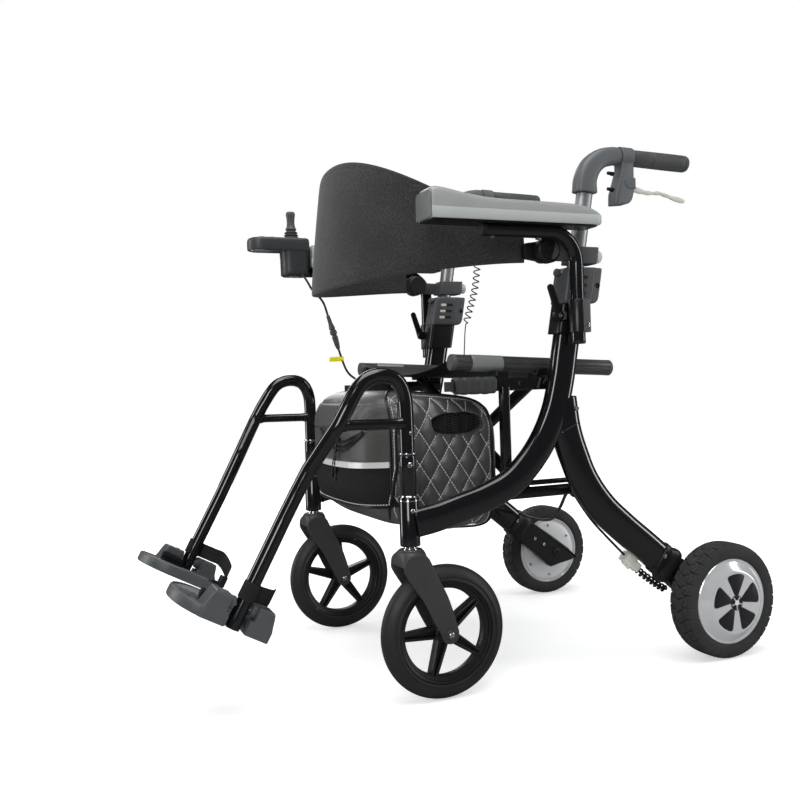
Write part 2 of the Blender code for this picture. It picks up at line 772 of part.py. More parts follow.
def frame_stations():
    """The front arm, rising into the straight upright."""
    path = [(POST_Y + ARM_ROOT_REACH, ARM_ROOT_Z)] + ARM_PATH
    path += [(on_lean(z), z) for z in (UPRIGHT_START, UPRIGHT_Z, UPRIGHT_TOP)]
    return [(point.x, point.y, BEAM_HALF_WIDTH, ARM_HALF_DEPTH) for point in smooth_flat(path, 1)]


def smooth_flat(points, parts):
    return smooth([(y, z, 0.0) for y, z in points], parts)


def leg_stations(grow=0.0):
    """The rear leg, from inside the upright down to the motor bracket."""
    points = smooth_flat(LEG_PATH, 1)
    return [(point.x, point.y, LEG_HALF_WIDTH + grow, LEG_HALF_DEPTH + grow) for point in points]


def side_frame(name):
    frame = beam(name, frame_stations(), FRAME_X, BEAM_ROUNDNESS)
    post_base, post_top = DRAWN_POST_BASE, DRAWN_POST_BASE + POST_HEIGHT
    join(frame, beam("leg", leg_stations(), FRAME_X, BEAM_ROUNDNESS))
    join(frame, rod_up("post", POST_X, POST_Y, post_base, post_top, POST_RADIUS))
    for y in (LOWER_RAIL_FRONT - LUG_END_GAP - LUG_THICKNESS, LOWER_RAIL_REAR + LUG_END_GAP):
        join(frame, box("lug", (RAIL_X - LUG_INNER_REACH, y, RAIL_Z - LUG_BELOW),
                        (FRAME_X, y + LUG_THICKNESS, RAIL_Z + LUG_ABOVE)))
    add_seat_rest(frame)
    peg_floor = post_top - PEG_LENGTH - SLIDE_GAP
    stem_end = post_base + STEM_LENGTH + SLIDE_GAP
    pin_reach = LUG_END_GAP + LUG_THICKNESS + OVERCUT
    cut(frame,
        tube_way("tube bore", UPRIGHT_BORE_FLOOR, UPRIGHT_TOP + OVERCUT),
        rod_up("peg bore", POST_X, POST_Y, peg_floor, post_top + OVERCUT, PEG_RADIUS + SLIDE_GAP),
        rod_up("stem bore", POST_X, POST_Y, post_base - OVERCUT, stem_end, STEM_RADIUS + TURN_GAP),
        rod_along("pin hole", RAIL_X, LOWER_RAIL_FRONT - pin_reach, LOWER_RAIL_REAR + pin_reach, RAIL_Z,
                  RAIL_PIN_RADIUS + TURN_GAP, COARSE_SIDES))
    return finish(frame, BLACK_PAINT)


def seat_rail_height(y):
    """Height of the middle of the seat rail at this y."""
    (front_y, front_z), (rear_y, rear_z) = SEAT_RAIL_FRONT, SEAT_RAIL_REAR
    return front_z + (rear_z - front_z) * (y - front_y) / (rear_y - front_y)


def add_seat_rest(frame):
    """A post on the arm with a bar to the upright, and the saddle that the open seat rail sits on."""
    half = REST_BAR_WIDTH / 2
    low, high = REST_BAR_LOW, REST_BAR_LOW + REST_BAR_HEIGHT
    post_half = REST_POST_WIDTH / 2
    saddle_half = SADDLE_LENGTH / 2
    saddle_top = seat_rail_height(REST_POST_Y + saddle_half) - SEAT_RAIL_RADIUS - GAP
    meets = on_lean(low)
    bar_end = meets + REST_JOINT_REAR
    join(frame,
         box("rest bar", (REST_BAR_X - half, REST_BAR_FRONT, low), (REST_BAR_X + half, bar_end, high),
             REST_BAR_EDGE),
         box("rest end", (REST_BAR_X, meets - REST_JOINT_FRONT, low + OVERLAP),
             (FRAME_X, bar_end - OVERLAP, high - OVERLAP)),
         box("rest post", (REST_BAR_X - half / 3, REST_POST_Y - post_half, REST_POST_LOW),
             (FRAME_X - half / 2, REST_POST_Y + post_half, low + half)),
         box("saddle", (SADDLE_INNER_X, REST_POST_Y - saddle_half, high - half),
             (REST_BAR_X + half - OVERLAP, REST_POST_Y + saddle_half, saddle_top)))


def motor_bracket(name):
    """A boot over the leg's end, and the flat ear that holds the motor's axle stub."""
    *_, before, end = leg_stations()
    along = Vector((end[0] - before[0], end[1] - before[1])).normalized()
    square = Vector((-along.y, along.x))
    leg_end = Vector(end[:2])
    axle_z = DRIVE_RADIUS - LIFT
    axle = Vector((DRIVE_Y, axle_z))
    deep = LEG_HALF_DEPTH + BOOT_WALL
    sides = ((-BOOT_COVER, deep), (-BOOT_COVER, -deep), (BOOT_REACH, -deep), (BOOT_REACH, deep))
    corners = [leg_end + along * reach + square * side for reach, side in sides]
    wide = LEG_HALF_WIDTH + BOOT_WALL
    bracket = softened(slab(name, corners, FRAME_X - wide, FRAME_X + wide), BOOT_EDGE)
    way = (axle - leg_end).normalized()
    across = Vector((-way.y, way.x)) * MOTOR_EAR_RADIUS
    root = leg_end + along * BOOT_REACH / 2
    facing = math.degrees(math.atan2(way.y, way.x))
    ear = [tuple(root + across * EAR_ROOT_SHARE), tuple(root - across * EAR_ROOT_SHARE)]
    ear += arc(axle.x, axle.y, MOTOR_EAR_RADIUS, facing - 90, facing + 90, 10)
    half = BRACKET_WIDTH / 2
    join(bracket, slab("ear", ear, FRAME_X - half, FRAME_X + half))
    stub_end = DRIVE_X - HUB_WIDTH / 2 + AXLE_STUB_LENGTH
    join(bracket, rod_across("axle stub", FRAME_X, stub_end, axle.x, axle.y, AXLE_STUB_RADIUS, COARSE_SIDES))
    pocket_end = (*(leg_end + along * GAP), LEG_HALF_WIDTH + GAP, LEG_HALF_DEPTH + GAP)
    cut(bracket, beam("leg pocket", leg_stations(GAP) + [pocket_end], FRAME_X, BEAM_ROUNDNESS))
    return finish(bracket, SATIN_BLACK)


# Handles


def clamp_housing(name):
    """A block round the upright's top, with a deep pocket below and the handle tube's way through."""
    block = leaning_block(name, HOUSING_LOW, HOUSING_HIGH, HOUSING_HALF_WIDTH, HOUSING_HALF_DEPTH,
                          HOUSING_REAR_EAR)
    housing = softened(block, HOUSING_EDGE)
    cut(housing,
        upright_way("pocket", HOUSING_LOW - OVERCUT, UPRIGHT_TOP + GAP),
        tube_way("way", HOUSING_LOW - OVERCUT, HOUSING_HIGH + OVERCUT))
    return finish(housing, DARK_PLASTIC)


def upright_way(name, low, high):
    """A cutter that leaves room for the upright."""
    return leaning_bar(name, low, high, BEAM_HALF_WIDTH + GAP, ARM_HALF_DEPTH + GAP, BEAM_ROUNDNESS)


def leaning_block(name, low, high, half_width, half_depth, back=0.0):
    """A block that follows the upright's lean, with level ends, and reaches further back by back."""
    front, rear = -half_depth, half_depth + back
    outline = [(on_lean(z) + side, z) for z, side in ((low, front), (high, front), (high, rear), (low, rear))]
    return slab(name, outline, FRAME_X - half_width, FRAME_X + half_width)


def tube_way(name, low, high):
    """A cutter that leaves room for the handle's tube to slide."""
    half_width, half_depth = TUBE_HALF_WIDTH + SLIDE_GAP, TUBE_HALF_DEPTH + SLIDE_GAP
    return leaning_bar(name, low, high, half_width, half_depth, sides=SIDES)


def handle_tube(name):
    bar = leaning_bar(name, TUBE_BOTTOM, TUBE_TOP, TUBE_HALF_WIDTH, TUBE_HALF_DEPTH, sides=SIDES)
    return finish(bar, GREY_METAL)


def handle_elbow(name):
    """The shroud that turns the upright tube into the level grip, with the bar that the grip sits on."""
    low = TUBE_TOP + ELBOW_SEAM
    path = [(on_lean(low), low, ELBOW_HALF_WIDTH, ELBOW_HALF_DEPTH)]
    path += [(y, GRIP_Z + rise, half_width, half_depth) for y, rise, half_width, half_depth in ELBOW_BENDS]
    path.append((BRAKE_FRONT - ELBOW_SEAM, GRIP_Z, ELBOW_END_RADIUS, ELBOW_END_RADIUS))
    flat = smooth([station[:3] for station in path], 2)
    depths = smooth([(station[3], 0.0, 0.0) for station in path], 2)
    stations = [(point.x, point.y, point.z, depth.x) for point, depth in zip(flat, depths)]
    elbow = beam(name, stations, FRAME_X, ELBOW_ROUNDNESS)
    bar_start = (FRAME_X, BRAKE_FRONT - ELBOW_BAR_LAP, GRIP_Z)
    join(elbow, rod("bar", bar_start, grip_point(GRIP_END - GRIP_END_WALL), GRIP_BAR_RADIUS))
    return finish(elbow, DARK_PLASTIC)


def grip_point(y):
    """A point on the middle of the grip, which drops a little to the rear."""
    share = (y - BRAKE_FRONT) / (GRIP_END - BRAKE_FRONT)
    return (FRAME_X, y, GRIP_Z - GRIP_DROP * share)


def grip(name):
    body = softened(rod(name, grip_point(GRIP_START), grip_point(GRIP_END), GRIP_RADIUS), GRIP_EDGE, 1)
    bore_end = grip_point(GRIP_END - GRIP_END_WALL + GAP)
    cut(body, rod("bore", grip_point(GRIP_START - OVERCUT), bore_end, GRIP_BAR_RADIUS + GAP))
    return finish(body, RUBBER)


def brake_housing(name):
    """A ring round the grip bar and a block below it, slotted from the rear for the lever, with its pin."""
    ring = rod(name, grip_point(BRAKE_FRONT), grip_point(BRAKE_REAR), BRAKE_RING_RADIUS, FINE_SIDES)
    half = BRAKE_BLOCK_HALF_WIDTH
    bottom = BRAKE_BLOCK_BOTTOM
    front_low, rear = BRAKE_FRONT - BRAKE_BLOCK_LEAN, BRAKE_REAR - OVERLAP
    block = [(BRAKE_FRONT, GRIP_Z), (BRAKE_FRONT, GRIP_Z - BRAKE_BLOCK_THROAT),
             (front_low, bottom + BRAKE_BLOCK_NOSE), (front_low, bottom),
             (BRAKE_REAR - BRAKE_BLOCK_LEAN, bottom + BRAKE_BLOCK_HEEL),
             (rear, BRAKE_SLOT_LOW - BRAKE_SLOT_FLOOR), (rear, GRIP_Z)]
    join(ring, softened(slab("block", block, FRAME_X - half, FRAME_X + half), BRAKE_BLOCK_EDGE, 1))
    slot_front = LEVER_PIVOT_Y - LEVER_EYE_RADIUS - BRAKE_SLOT_CLEARANCE
    slot = box("slot", (FRAME_X - BRAKE_SLOT_HALF_WIDTH, slot_front, BRAKE_SLOT_LOW),
               (FRAME_X + BRAKE_SLOT_HALF_WIDTH, BRAKE_REAR + OVERCUT, BRAKE_SLOT_HIGH))
    bore_start, bore_end = grip_point(BRAKE_FRONT - OVERCUT), grip_point(BRAKE_REAR + OVERCUT)
    cut(ring, slot, rod("bore", bore_start, bore_end, GRIP_BAR_RADIUS + GAP))
    pin_reach = half - OVERLAP
    join(ring, rod_across("pin", FRAME_X - pin_reach, FRAME_X + pin_reach, LEVER_PIVOT_Y, LEVER_PIVOT_Z,
                          BRAKE_PIN_RADIUS, COARSE_SIDES))
    return finish(ring, DARK_PLASTIC)


def brake_lever(name):
    """A wavy bar from an eye on the pin, back under the grip."""
    line = smooth_flat([(LEVER_PIVOT_Y + y, LEVER_PIVOT_Z + z) for y, z in LEVER_LINE], 2)
    half = LEVER_DEPTH / 2
    outline = [(p.x, p.y + half) for p in line] + [(line[-1].x + half, line[-1].y)]
    outline += [(p.x, p.y - half) for p in reversed(line)]
    low, high = FRAME_X - LEVER_THICKNESS / 2, FRAME_X + LEVER_THICKNESS / 2
    lever = slab(name, outline, low, high)
    join(lever, rod_across("eye", low + GAP / 2, high - GAP / 2, LEVER_PIVOT_Y, LEVER_PIVOT_Z,
                           LEVER_EYE_RADIUS))
    cut(lever, rod_across("hole", low - OVERCUT, high + OVERCUT, LEVER_PIVOT_Y, LEVER_PIVOT_Z,
                          BRAKE_PIN_RADIUS + TURN_GAP, COARSE_SIDES))
    return finish(lever, PALE_PLASTIC, (FRAME_X, LEVER_PIVOT_Y, LEVER_PIVOT_Z))


# Backrest

DISC_OUTER_X = FRAME_X + PIVOT_DISC_THICKNESS + PIVOT_DISC_OFFSET
DISC_INNER_X = DISC_OUTER_X - PIVOT_DISC_THICKNESS
BACK_ARM_OUTER_X = DISC_INNER_X - TURN_GAP
BACK_ARM_INNER_X = BACK_ARM_OUTER_X - BACK_ARM_THICKNESS


def backrest_collar(name):
    """A block that clamps above the housing, round the handle tube, with the pivot disc in front of it."""
    half_width = TUBE_HALF_WIDTH + SLIDE_GAP + COLLAR_WALL
    half_depth = TUBE_HALF_DEPTH + SLIDE_GAP + COLLAR_WALL
    block = leaning_block(name, COLLAR_LOW, COLLAR_HIGH, half_width, half_depth, COLLAR_REAR_WALL)
    collar = softened(block, COLLAR_EDGE, 1)
    middle = (COLLAR_LOW + COLLAR_HIGH) / 2
    front, rear = on_lean(middle) - half_depth, on_lean(middle) + half_depth + COLLAR_REAR_WALL
    join(collar,
         box("arm", (DISC_INNER_X + OVERLAP / 2, PIVOT_Y, COLLAR_LOW + COLLAR_ARM_INSET),
             (DISC_OUTER_X - OVERLAP / 2, front + COLLAR_ARM_LAP, COLLAR_HIGH - COLLAR_ARM_INSET)),
         rod_across("disc", DISC_INNER_X, DISC_OUTER_X, PIVOT_Y, PIVOT_Z, PIVOT_DISC_RADIUS, FINE_SIDES),
         rod_across("pin", BACK_ARM_INNER_X, DISC_INNER_X + OVERLAP, PIVOT_Y, PIVOT_Z, PIVOT_PIN_RADIUS,
                    COARSE_SIDES),
         rod_along("knob", FRAME_X, rear - COLLAR_KNOB_LAP, rear + COLLAR_KNOB_LENGTH, middle,
                   COLLAR_KNOB_RADIUS))
    cut(collar, tube_way("way", COLLAR_LOW - OVERCUT, COLLAR_HIGH + OVERCUT))
    return finish(collar, GREY_PLASTIC)


def backrest_arm(name):
    """The turning eye inside the disc, with the tongue that carries the band's end."""
    inner, outer = BACK_ARM_INNER_X, BACK_ARM_OUTER_X
    arm = rod_across(name, inner, outer, PIVOT_Y, PIVOT_Z, BACK_ARM_EYE_RADIUS, FINE_SIDES)
    tongue_half = BACK_ARM_EYE_RADIUS * TONGUE_SHARE
    join(arm, box("tongue", (inner + OVERLAP, PIVOT_Y - BACK_ARM_REACH, PIVOT_Z - tongue_half),
                  (outer - OVERLAP, PIVOT_Y, PIVOT_Z + tongue_half)))
    cut(arm, rod_across("hole", inner - OVERCUT, outer + OVERCUT, PIVOT_Y, PIVOT_Z,
                        PIVOT_PIN_RADIUS + TURN_GAP, COARSE_SIDES))
    return finish(arm, BLACK_PAINT, (FRAME_X, PIVOT_Y, PIVOT_Z))


def backrest_band(name):
    """A padded band, bowed forward between the two arms and tallest in the middle."""
    start = PIVOT_Y - BACK_ARM_REACH - GAP
    reach = start - BAND_FRONT
    rings = []
    for i in range(BAND_STEPS + 1):
        angle = math.pi * i / BAND_STEPS
        swell = max(math.sin(angle), 0.0)
        across = math.copysign(abs(math.cos(angle)) ** (2 / BAND_SQUARENESS), math.cos(angle))
        forward = swell ** (2 / BAND_SQUARENESS)
        tall = swell ** BAND_TOP_CURVE
        low = BAND_END_LOW + (BAND_LOW - BAND_END_LOW) * swell ** BAND_FOOT_CURVE
        high = BAND_END_HIGH + (BAND_HIGH - BAND_END_HIGH) * tall
        back = BAND_LEAN * (high - low) / (BAND_HIGH - BAND_LOW) * tall
        outer_x, outer_y = BAND_HALF_WIDTH * across, start - reach * forward
        inner_x = (BAND_HALF_WIDTH - BAND_THICKNESS) * across
        inner_y = start - (reach - BAND_THICKNESS) * forward
        rings.append([(outer_x, outer_y, low), (outer_x, outer_y + back, high),
                      (inner_x, inner_y + back, high), (inner_x, inner_y, low)])
    return finish(loft(name, rings), FABRIC, (0.0, PIVOT_Y, PIVOT_Z))


# Armrests

SLEEVE_HALF = ARM_TUBE_RADIUS + SLIDE_GAP + SLEEVE_WALL


def armrest_tube(name):
    """A tube that rises from the sleeve and bends forward under the pad."""
    rise = arc(ARM_TUBE_Y - ARM_BEND_RADIUS, ARM_TUBE_Z - ARM_BEND_RADIUS, ARM_BEND_RADIUS, 0, 90, 7)
    route = [(ARM_TUBE_Y, ARM_TUBE_LOW)] + rise + [(ARM_TUBE_FRONT, ARM_TUBE_Z)]
    return finish(tube(name, [(ARMREST_X, y, z) for y, z in route], ARM_TUBE_RADIUS, 4), GREY_METAL)


def armrest_pad(name):
    """A long pad with a groove in its underside for the tube."""
    half = PAD_WIDTH / 2
    outline = [(PAD_REAR, PAD_BOTTOM_REAR), (PAD_FRONT, PAD_BOTTOM_FRONT)] + PAD_TOP
    pad = softened(slab(name, outline, ARMREST_X - half, ARMREST_X + half), PAD_EDGE)
    cut(pad, rod_along("groove", ARMREST_X, PAD_FRONT - OVERCUT, PAD_REAR + OVERCUT, ARM_TUBE_Z,
                       ARM_TUBE_RADIUS + TURN_GAP))
    return finish(pad, DARK_PLASTIC)


def armrest_bracket(name):
    """A block round the upright, with a sleeve beside it for the armrest tube."""
    half_width = BEAM_HALF_WIDTH + GAP + BRACKET_WALL
    half_depth = ARM_HALF_DEPTH + GAP + BRACKET_WALL
    bracket = leaning_block(name, BRACKET_LOW, HOUSING_LOW - GAP, half_width, half_depth)
    side = FRAME_X + half_width
    eye = CLAMP_EYE_RADIUS
    block = box("sleeve", (side - 2 * OVERLAP, ARM_TUBE_Y - SLEEVE_HALF, SLEEVE_LOW),
                (ARMREST_X + SLEEVE_HALF, ARM_TUBE_Y + SLEEVE_HALF, HOUSING_LOW - OVERLAP))
    pin_end = side + TURN_GAP + CLAMP_THICKNESS
    join(bracket,
         softened(block, SLEEVE_EDGE),
         rod_up("collar", ARMREST_X, ARM_TUBE_Y, SLEEVE_LOW + 2 * OVERLAP, SLEEVE_HIGH, SLEEVE_HALF - GAP,
                FINE_SIDES),
         box("boss", (FRAME_X - half_width / 2, CLAMP_PIVOT_Y - eye, CLAMP_PIVOT_Z - eye),
             (side - OVERLAP, ARM_TUBE_Y, CLAMP_PIVOT_Z + eye)),
         rod_across("clamp pin", side - 3 * OVERLAP, pin_end, CLAMP_PIVOT_Y, CLAMP_PIVOT_Z, CLAMP_PIN_RADIUS,
                    COARSE_SIDES))
    cut(bracket,
        upright_way("upright way", BRACKET_LOW - OVERCUT, HOUSING_LOW + OVERCUT),
        rod_up("bore", ARMREST_X, ARM_TUBE_Y, SLEEVE_LOW - OVERCUT, SLEEVE_HIGH + OVERCUT,
               ARM_TUBE_RADIUS + SLIDE_GAP))
    return finish(bracket, GREY_PLASTIC)


def armrest_lever(name):
    """The cam lever that clamps the armrest tube."""
    low = FRAME_X + BEAM_HALF_WIDTH + GAP + BRACKET_WALL + TURN_GAP
    high = low + CLAMP_THICKNESS
    y, z = CLAMP_PIVOT_Y, CLAMP_PIVOT_Z
    lean = Vector((math.sin(CLAMP_LEAN), math.cos(CLAMP_LEAN)))
    side = Vector((lean.y, -lean.x))
    root_half = CLAMP_EYE_RADIUS * CLAMP_ROOT_SHARE
    places = ((0, root_half), (CLAMP_LENGTH, CLAMP_TIP_HALF), (CLAMP_LENGTH + CLAMP_TIP_POINT, 0),
              (CLAMP_LENGTH, -CLAMP_TIP_HALF), (0, -root_half))
    outline = [tuple(Vector((y, z)) + lean * reach + side * out) for reach, out in places]
    lever = slab(name, outline, low, high)
    join(lever, rod_across("eye", low + GAP / 2, high - GAP / 2, y, z, CLAMP_EYE_RADIUS))
    cut(lever, rod_across("hole", low - OVERCUT, high + OVERCUT, y, z, CLAMP_PIN_RADIUS + TURN_GAP,
                          COARSE_SIDES))
    return finish(lever, SATIN_BLACK, (low, y, z))


# Footrests


def footrest_hanger(name):
    """A peg in the front post, a loop over the top and a straight tube down to the footplate."""
    post_top = DRAWN_POST_BASE + POST_HEIGHT
    loop = [(POST_X, POST_Y + y, z) for y, z in HANGER_TURN] + [HANGER_KNEE] + HANGER_BEND
    route = [(POST_X, POST_Y, FERRULE_TOP - HANGER_LAP)] + smooth(loop, 2) + [HANGER_FOOT]
    hanger = tube(name, route, HANGER_RADIUS)
    peg_top = FERRULE_TOP - 2 * HANGER_LAP
    join(hanger,
         rod_up("peg", POST_X, POST_Y, post_top - PEG_LENGTH, peg_top, PEG_RADIUS),
         rod_up("ferrule", POST_X, POST_Y, post_top + GAP, FERRULE_TOP, FERRULE_RADIUS),
         rod("crossbar", (POST_X, POST_Y, CROSSBAR_Z), HANGER_KNEE, CROSSBAR_RADIUS, COARSE_SIDES))
    foot, _, toe, along = plate_axes()
    pin_middle = foot + along * PLATE_PIN_HEIGHT
    reach = toe * (HANGER_RADIUS + OVERCUT)
    cut(hanger, rod("pin hole", pin_middle - reach, pin_middle + reach, PLATE_PIN_RADIUS + TURN_GAP,
                    COARSE_SIDES))
    return finish(hanger, BLACK_PAINT, (POST_X, POST_Y, post_top))


def plate_axes():
    """The tube's foot, and the directions inward, towards the toe and up the tube."""
    foot = Vector(HANGER_FOOT)
    along = (Vector(HANGER_BEND[-1]) - foot).normalized()
    toe = Vector((0.0, -along.z, along.y)).normalized()
    tilt = Matrix.Rotation(-PLATE_TILT, 3, toe)
    return foot, tilt @ toe.cross(along), toe, tilt @ along


def plate_matrix():
    foot, inward, toe, along = plate_axes()
    matrix = Matrix.Translation(foot)
    for row in range(3):
        matrix[row][0], matrix[row][1], matrix[row][2] = inward[row], toe[row], along[row]
    return matrix


def plate_outline():
    """The plate from above: an elliptical toe, a chamfered outer heel and a larger one at the inner side."""
    half = (PLATE_INNER + PLATE_OUTER) / 2
    middle = PLATE_INNER - half
    curve_start = PLATE_TOE - PLATE_TOE_CURVE
    angles = [math.pi * i / PLATE_TOE_STEPS for i in range(PLATE_TOE_STEPS + 1)]
    outline = [(middle + half * math.cos(a), curve_start + PLATE_TOE_CURVE * math.sin(a)) for a in angles]
    in_x, in_y = PLATE_HEEL_OUTER
    outline += [(-PLATE_OUTER, -PLATE_HEEL + in_y), (-PLATE_OUTER + in_x, -PLATE_HEEL)]
    outline += [(PLATE_INNER - PLATE_HEEL_INNER, -PLATE_HEEL), (PLATE_INNER, -PLATE_HEEL + PLATE_HEEL_INNER)]
    return outline


def footplate(name):
    """The plate with two raised blocks, and the hinge pin through the tube between them."""
    pieces = [softened(upright_slab(name, plate_outline(), 0, PLATE_THICKNESS), PLATE_EDGE, 1)]
    toe_block = (PLATE_SLOT_HALF, PLATE_SLOT_HALF + PLATE_BLOCK_LENGTH)
    heel_block = (-PLATE_HEEL + 2 * OVERLAP, -PLATE_SLOT_HALF)
    for start, end in (toe_block, heel_block):
        pieces.append(box("block", (-PLATE_OUTER + OVERLAP, start, PLATE_THICKNESS / 2),
                          (PLATE_BLOCK_WIDTH - PLATE_OUTER, end, PLATE_BLOCK_HEIGHT), PLATE_BLOCK_EDGE))
    reach = PLATE_SLOT_HALF + PLATE_PIN_LAP
    pieces.append(rod_along("pin", 0, -reach, reach, PLATE_PIN_HEIGHT, PLATE_PIN_RADIUS, COARSE_SIDES))
    slot = box("slot", (-PLATE_OUTER - OVERCUT, -PLATE_SLOT_HALF, -OVERCUT),
               (HANGER_RADIUS + PLATE_SLOT_CLEARANCE, PLATE_SLOT_HALF, PLATE_THICKNESS + OVERCUT))
    for piece in pieces + [slot]:
        piece.data.transform(plate_matrix())
    plate = pieces[0]
    cut(plate, slot)
    join(plate, *pieces[1:])
    return finish(plate, GREY_PLASTIC, plate_matrix() @ Vector((0, 0, PLATE_PIN_HEIGHT)))


def heel_strap(name):
    """A webbing strap from the back of the tube round to the plate's inner corner."""
    line = smooth(STRAP_ROUTE, 3)
    to_plate = plate_matrix()
    tall = Vector((0, 0, STRAP_WIDTH / 2))
    rings = []
    for i, point in enumerate(line):
        run = line[min(i + 1, len(line) - 1)] - line[max(i - 1, 0)]
        face = Vector((-run.y, run.x, 0.0)).normalized() * STRAP_THICKNESS / 2
        corners = (point + face + tall, point - face + tall, point - face - tall, point + face - tall)
        rings.append([to_plate @ corner for corner in corners])
    return finish(loft(name, rings), FABRIC)


# Crossed bars and seat


def seat_rail_point(x, y):
    return Vector((x, y, seat_rail_height(y)))


def cross_bar(name, side, y):
    """A lower rail on one side, joined to a bar that rises to the seat rail on the other side."""
    low_x, high_x = side * RAIL_X, -side * RAIL_X
    rail = rod_along(name, low_x, LOWER_RAIL_FRONT, LOWER_RAIL_REAR, RAIL_Z, LOWER_RAIL_RADIUS)
    reach = LUG_END_GAP + LUG_THICKNESS + OVERLAP
    join(rail,
         rod("bar", (low_x, y, RAIL_Z), (high_x, y, CROSS_END_Z), CROSS_RADIUS),
         rod_along("pins", low_x, LOWER_RAIL_FRONT - reach, LOWER_RAIL_REAR + reach, RAIL_Z, RAIL_PIN_RADIUS,
                   COARSE_SIDES))
    way_half = CROSS_RADIUS + OVERCUT
    way_start, way_end = seat_rail_point(high_x, y - way_half), seat_rail_point(high_x, y + way_half)
    cut(rail, rod("saddle", way_start, way_end, SEAT_RAIL_RADIUS + GAP, FINE_SIDES))
    return rail


CROSS_END_Z = seat_rail_height((CROSS_A_Y + CROSS_B_Y) / 2) - CROSS_END_DROP
CROSS_CENTRE_Z = (RAIL_Z + CROSS_END_Z) / 2


def cross_bar_a():
    """The front bar, with the washer and bolt that the two bars turn on where they pass."""
    bar = cross_bar("cross_bar_a", 1, CROSS_A_Y)
    z = CROSS_CENTRE_Z
    washer_end = CROSS_B_Y - CROSS_RADIUS - GAP
    head = CROSS_B_Y + CROSS_RADIUS + TURN_GAP
    join(bar,
         rod_along("washer", 0, CROSS_A_Y, washer_end, z, CROSS_WASHER_RADIUS),
         rod_along("bolt", 0, CROSS_A_Y, head + OVERLAP, z, CROSS_BOLT_RADIUS, COARSE_SIDES),
         rod_along("bolt head", 0, head, head + CROSS_BOLT_HEAD, z, CROSS_WASHER_RADIUS, COARSE_SIDES))
    return finish(bar, BLACK_PAINT, (RAIL_X, CROSS_A_Y, RAIL_Z))


def cross_bar_b():
    bar = cross_bar("cross_bar_b", -1, CROSS_B_Y)
    reach = CROSS_RADIUS + OVERCUT
    cut(bar, rod_along("bolt hole", 0, CROSS_B_Y - reach, CROSS_B_Y + reach, CROSS_CENTRE_Z,
                       CROSS_BOLT_RADIUS + TURN_GAP, COARSE_SIDES))
    return finish(bar, BLACK_PAINT, (0.0, CROSS_B_Y, CROSS_CENTRE_Z))


def seat_rail(name):
    front = seat_rail_point(RAIL_X, SEAT_RAIL_FRONT[0])
    rear = seat_rail_point(RAIL_X, SEAT_RAIL_REAR[0])
    rail = rod(name, front, rear, SEAT_RAIL_RADIUS, FINE_SIDES)
    return finish(softened(rail, SEAT_RAIL_EDGE, 1), SATIN_BLACK, front)


def seat_sling():
    """A sagging sheet between the seat rails, sloping as they do."""
    front, rear = SEAT_RAIL_FRONT[0] + SLING_END_MARGIN, SEAT_RAIL_REAR[0] - SLING_END_MARGIN
    edge = RAIL_X - SEAT_RAIL_RADIUS - 3 * GAP
    half = SLING_THICKNESS / 2
    rings = []
    for i in range(SLING_STEPS + 1):
        across = -1 + 2 * i / SLING_STEPS
        rise = SLING_RISE - SLING_SAG * (1 - across**2)
        corners = ((front, half), (rear, half), (rear, -half), (front, -half))
        rings.append([(edge * across, y, seat_rail_height(y) + rise + side) for y, side in corners])
    return finish(loft("seat_sling", rings), FABRIC)


def storage_bag():
    """A soft bag under the seat, rounded in every section."""
    sections = smooth([(y, half, low) for y, half, low, _ in BAG_SECTIONS], 1)
    tops = [top for *_, top in BAG_SECTIONS]
    rings = []
    for section, top in zip(sections, tops):
        y, half, low = section
        middle, tall = (low + top) / 2, (top - low) / 2
        rings.append([(across, y, middle + up) for across, up in oval(half, tall, BAG_SQUARENESS, BAG_SIDES)])
    return finish(loft("storage_bag", rings), FABRIC)


# Joystick, on the front of the right armrest


def joystick_box():
    """The control box: a rod into the armrest tube, a body and a flat paddle with a rounded front."""
    x = -ARMREST_X
    half = JOYSTICK_HALF_WIDTH
    paddle_low = JOYSTICK_TOP - PADDLE_THICKNESS
    nose_y = JOYSTICK_FRONT + half
    head_half = half - HEAD_INSET
    paddle = box("joystick_box", (x - half, nose_y, paddle_low), (x + half, PADDLE_REAR, JOYSTICK_TOP))
    body = box("body", (x - BODY_HALF_WIDTH, BODY_FRONT, BODY_BOTTOM),
               (x + BODY_HALF_WIDTH, BODY_REAR, JOYSTICK_TOP - 2 * OVERLAP))
    head = box("head", (x - head_half, PADDLE_REAR - HEAD_LAP, ARM_TUBE_Z + HEAD_RISE),
               (x + head_half, PAD_FRONT - OVERLAP, JOYSTICK_TOP - OVERLAP))
    join(paddle,
         rod_up("nose", x, nose_y, paddle_low + GAP, JOYSTICK_TOP - GAP, half, FINE_SIDES),
         softened(body, BODY_EDGE),
         softened(head, HEAD_EDGE),
         rod_along("rod", x, JOYSTICK_ROD_FRONT, ARM_TUBE_FRONT - GAP, ARM_TUBE_Z, JOYSTICK_ROD_RADIUS))
    return finish(paddle, SATIN_BLACK, (x, STICK_Y, JOYSTICK_TOP))


def joystick_boot():
    """The bellows that tilt fore and aft."""
    x = -ARMREST_X
    low, high = (x, STICK_Y, JOYSTICK_TOP + TURN_GAP), (x, STICK_Y, JOYSTICK_TOP + BOOT_HEIGHT)
    boot = rod("joystick_boot", low, high, BOOT_BASE_RADIUS, FINE_SIDES, BOOT_TOP_RADIUS)
    return finish(boot, RUBBER, (x, STICK_Y, JOYSTICK_TOP))


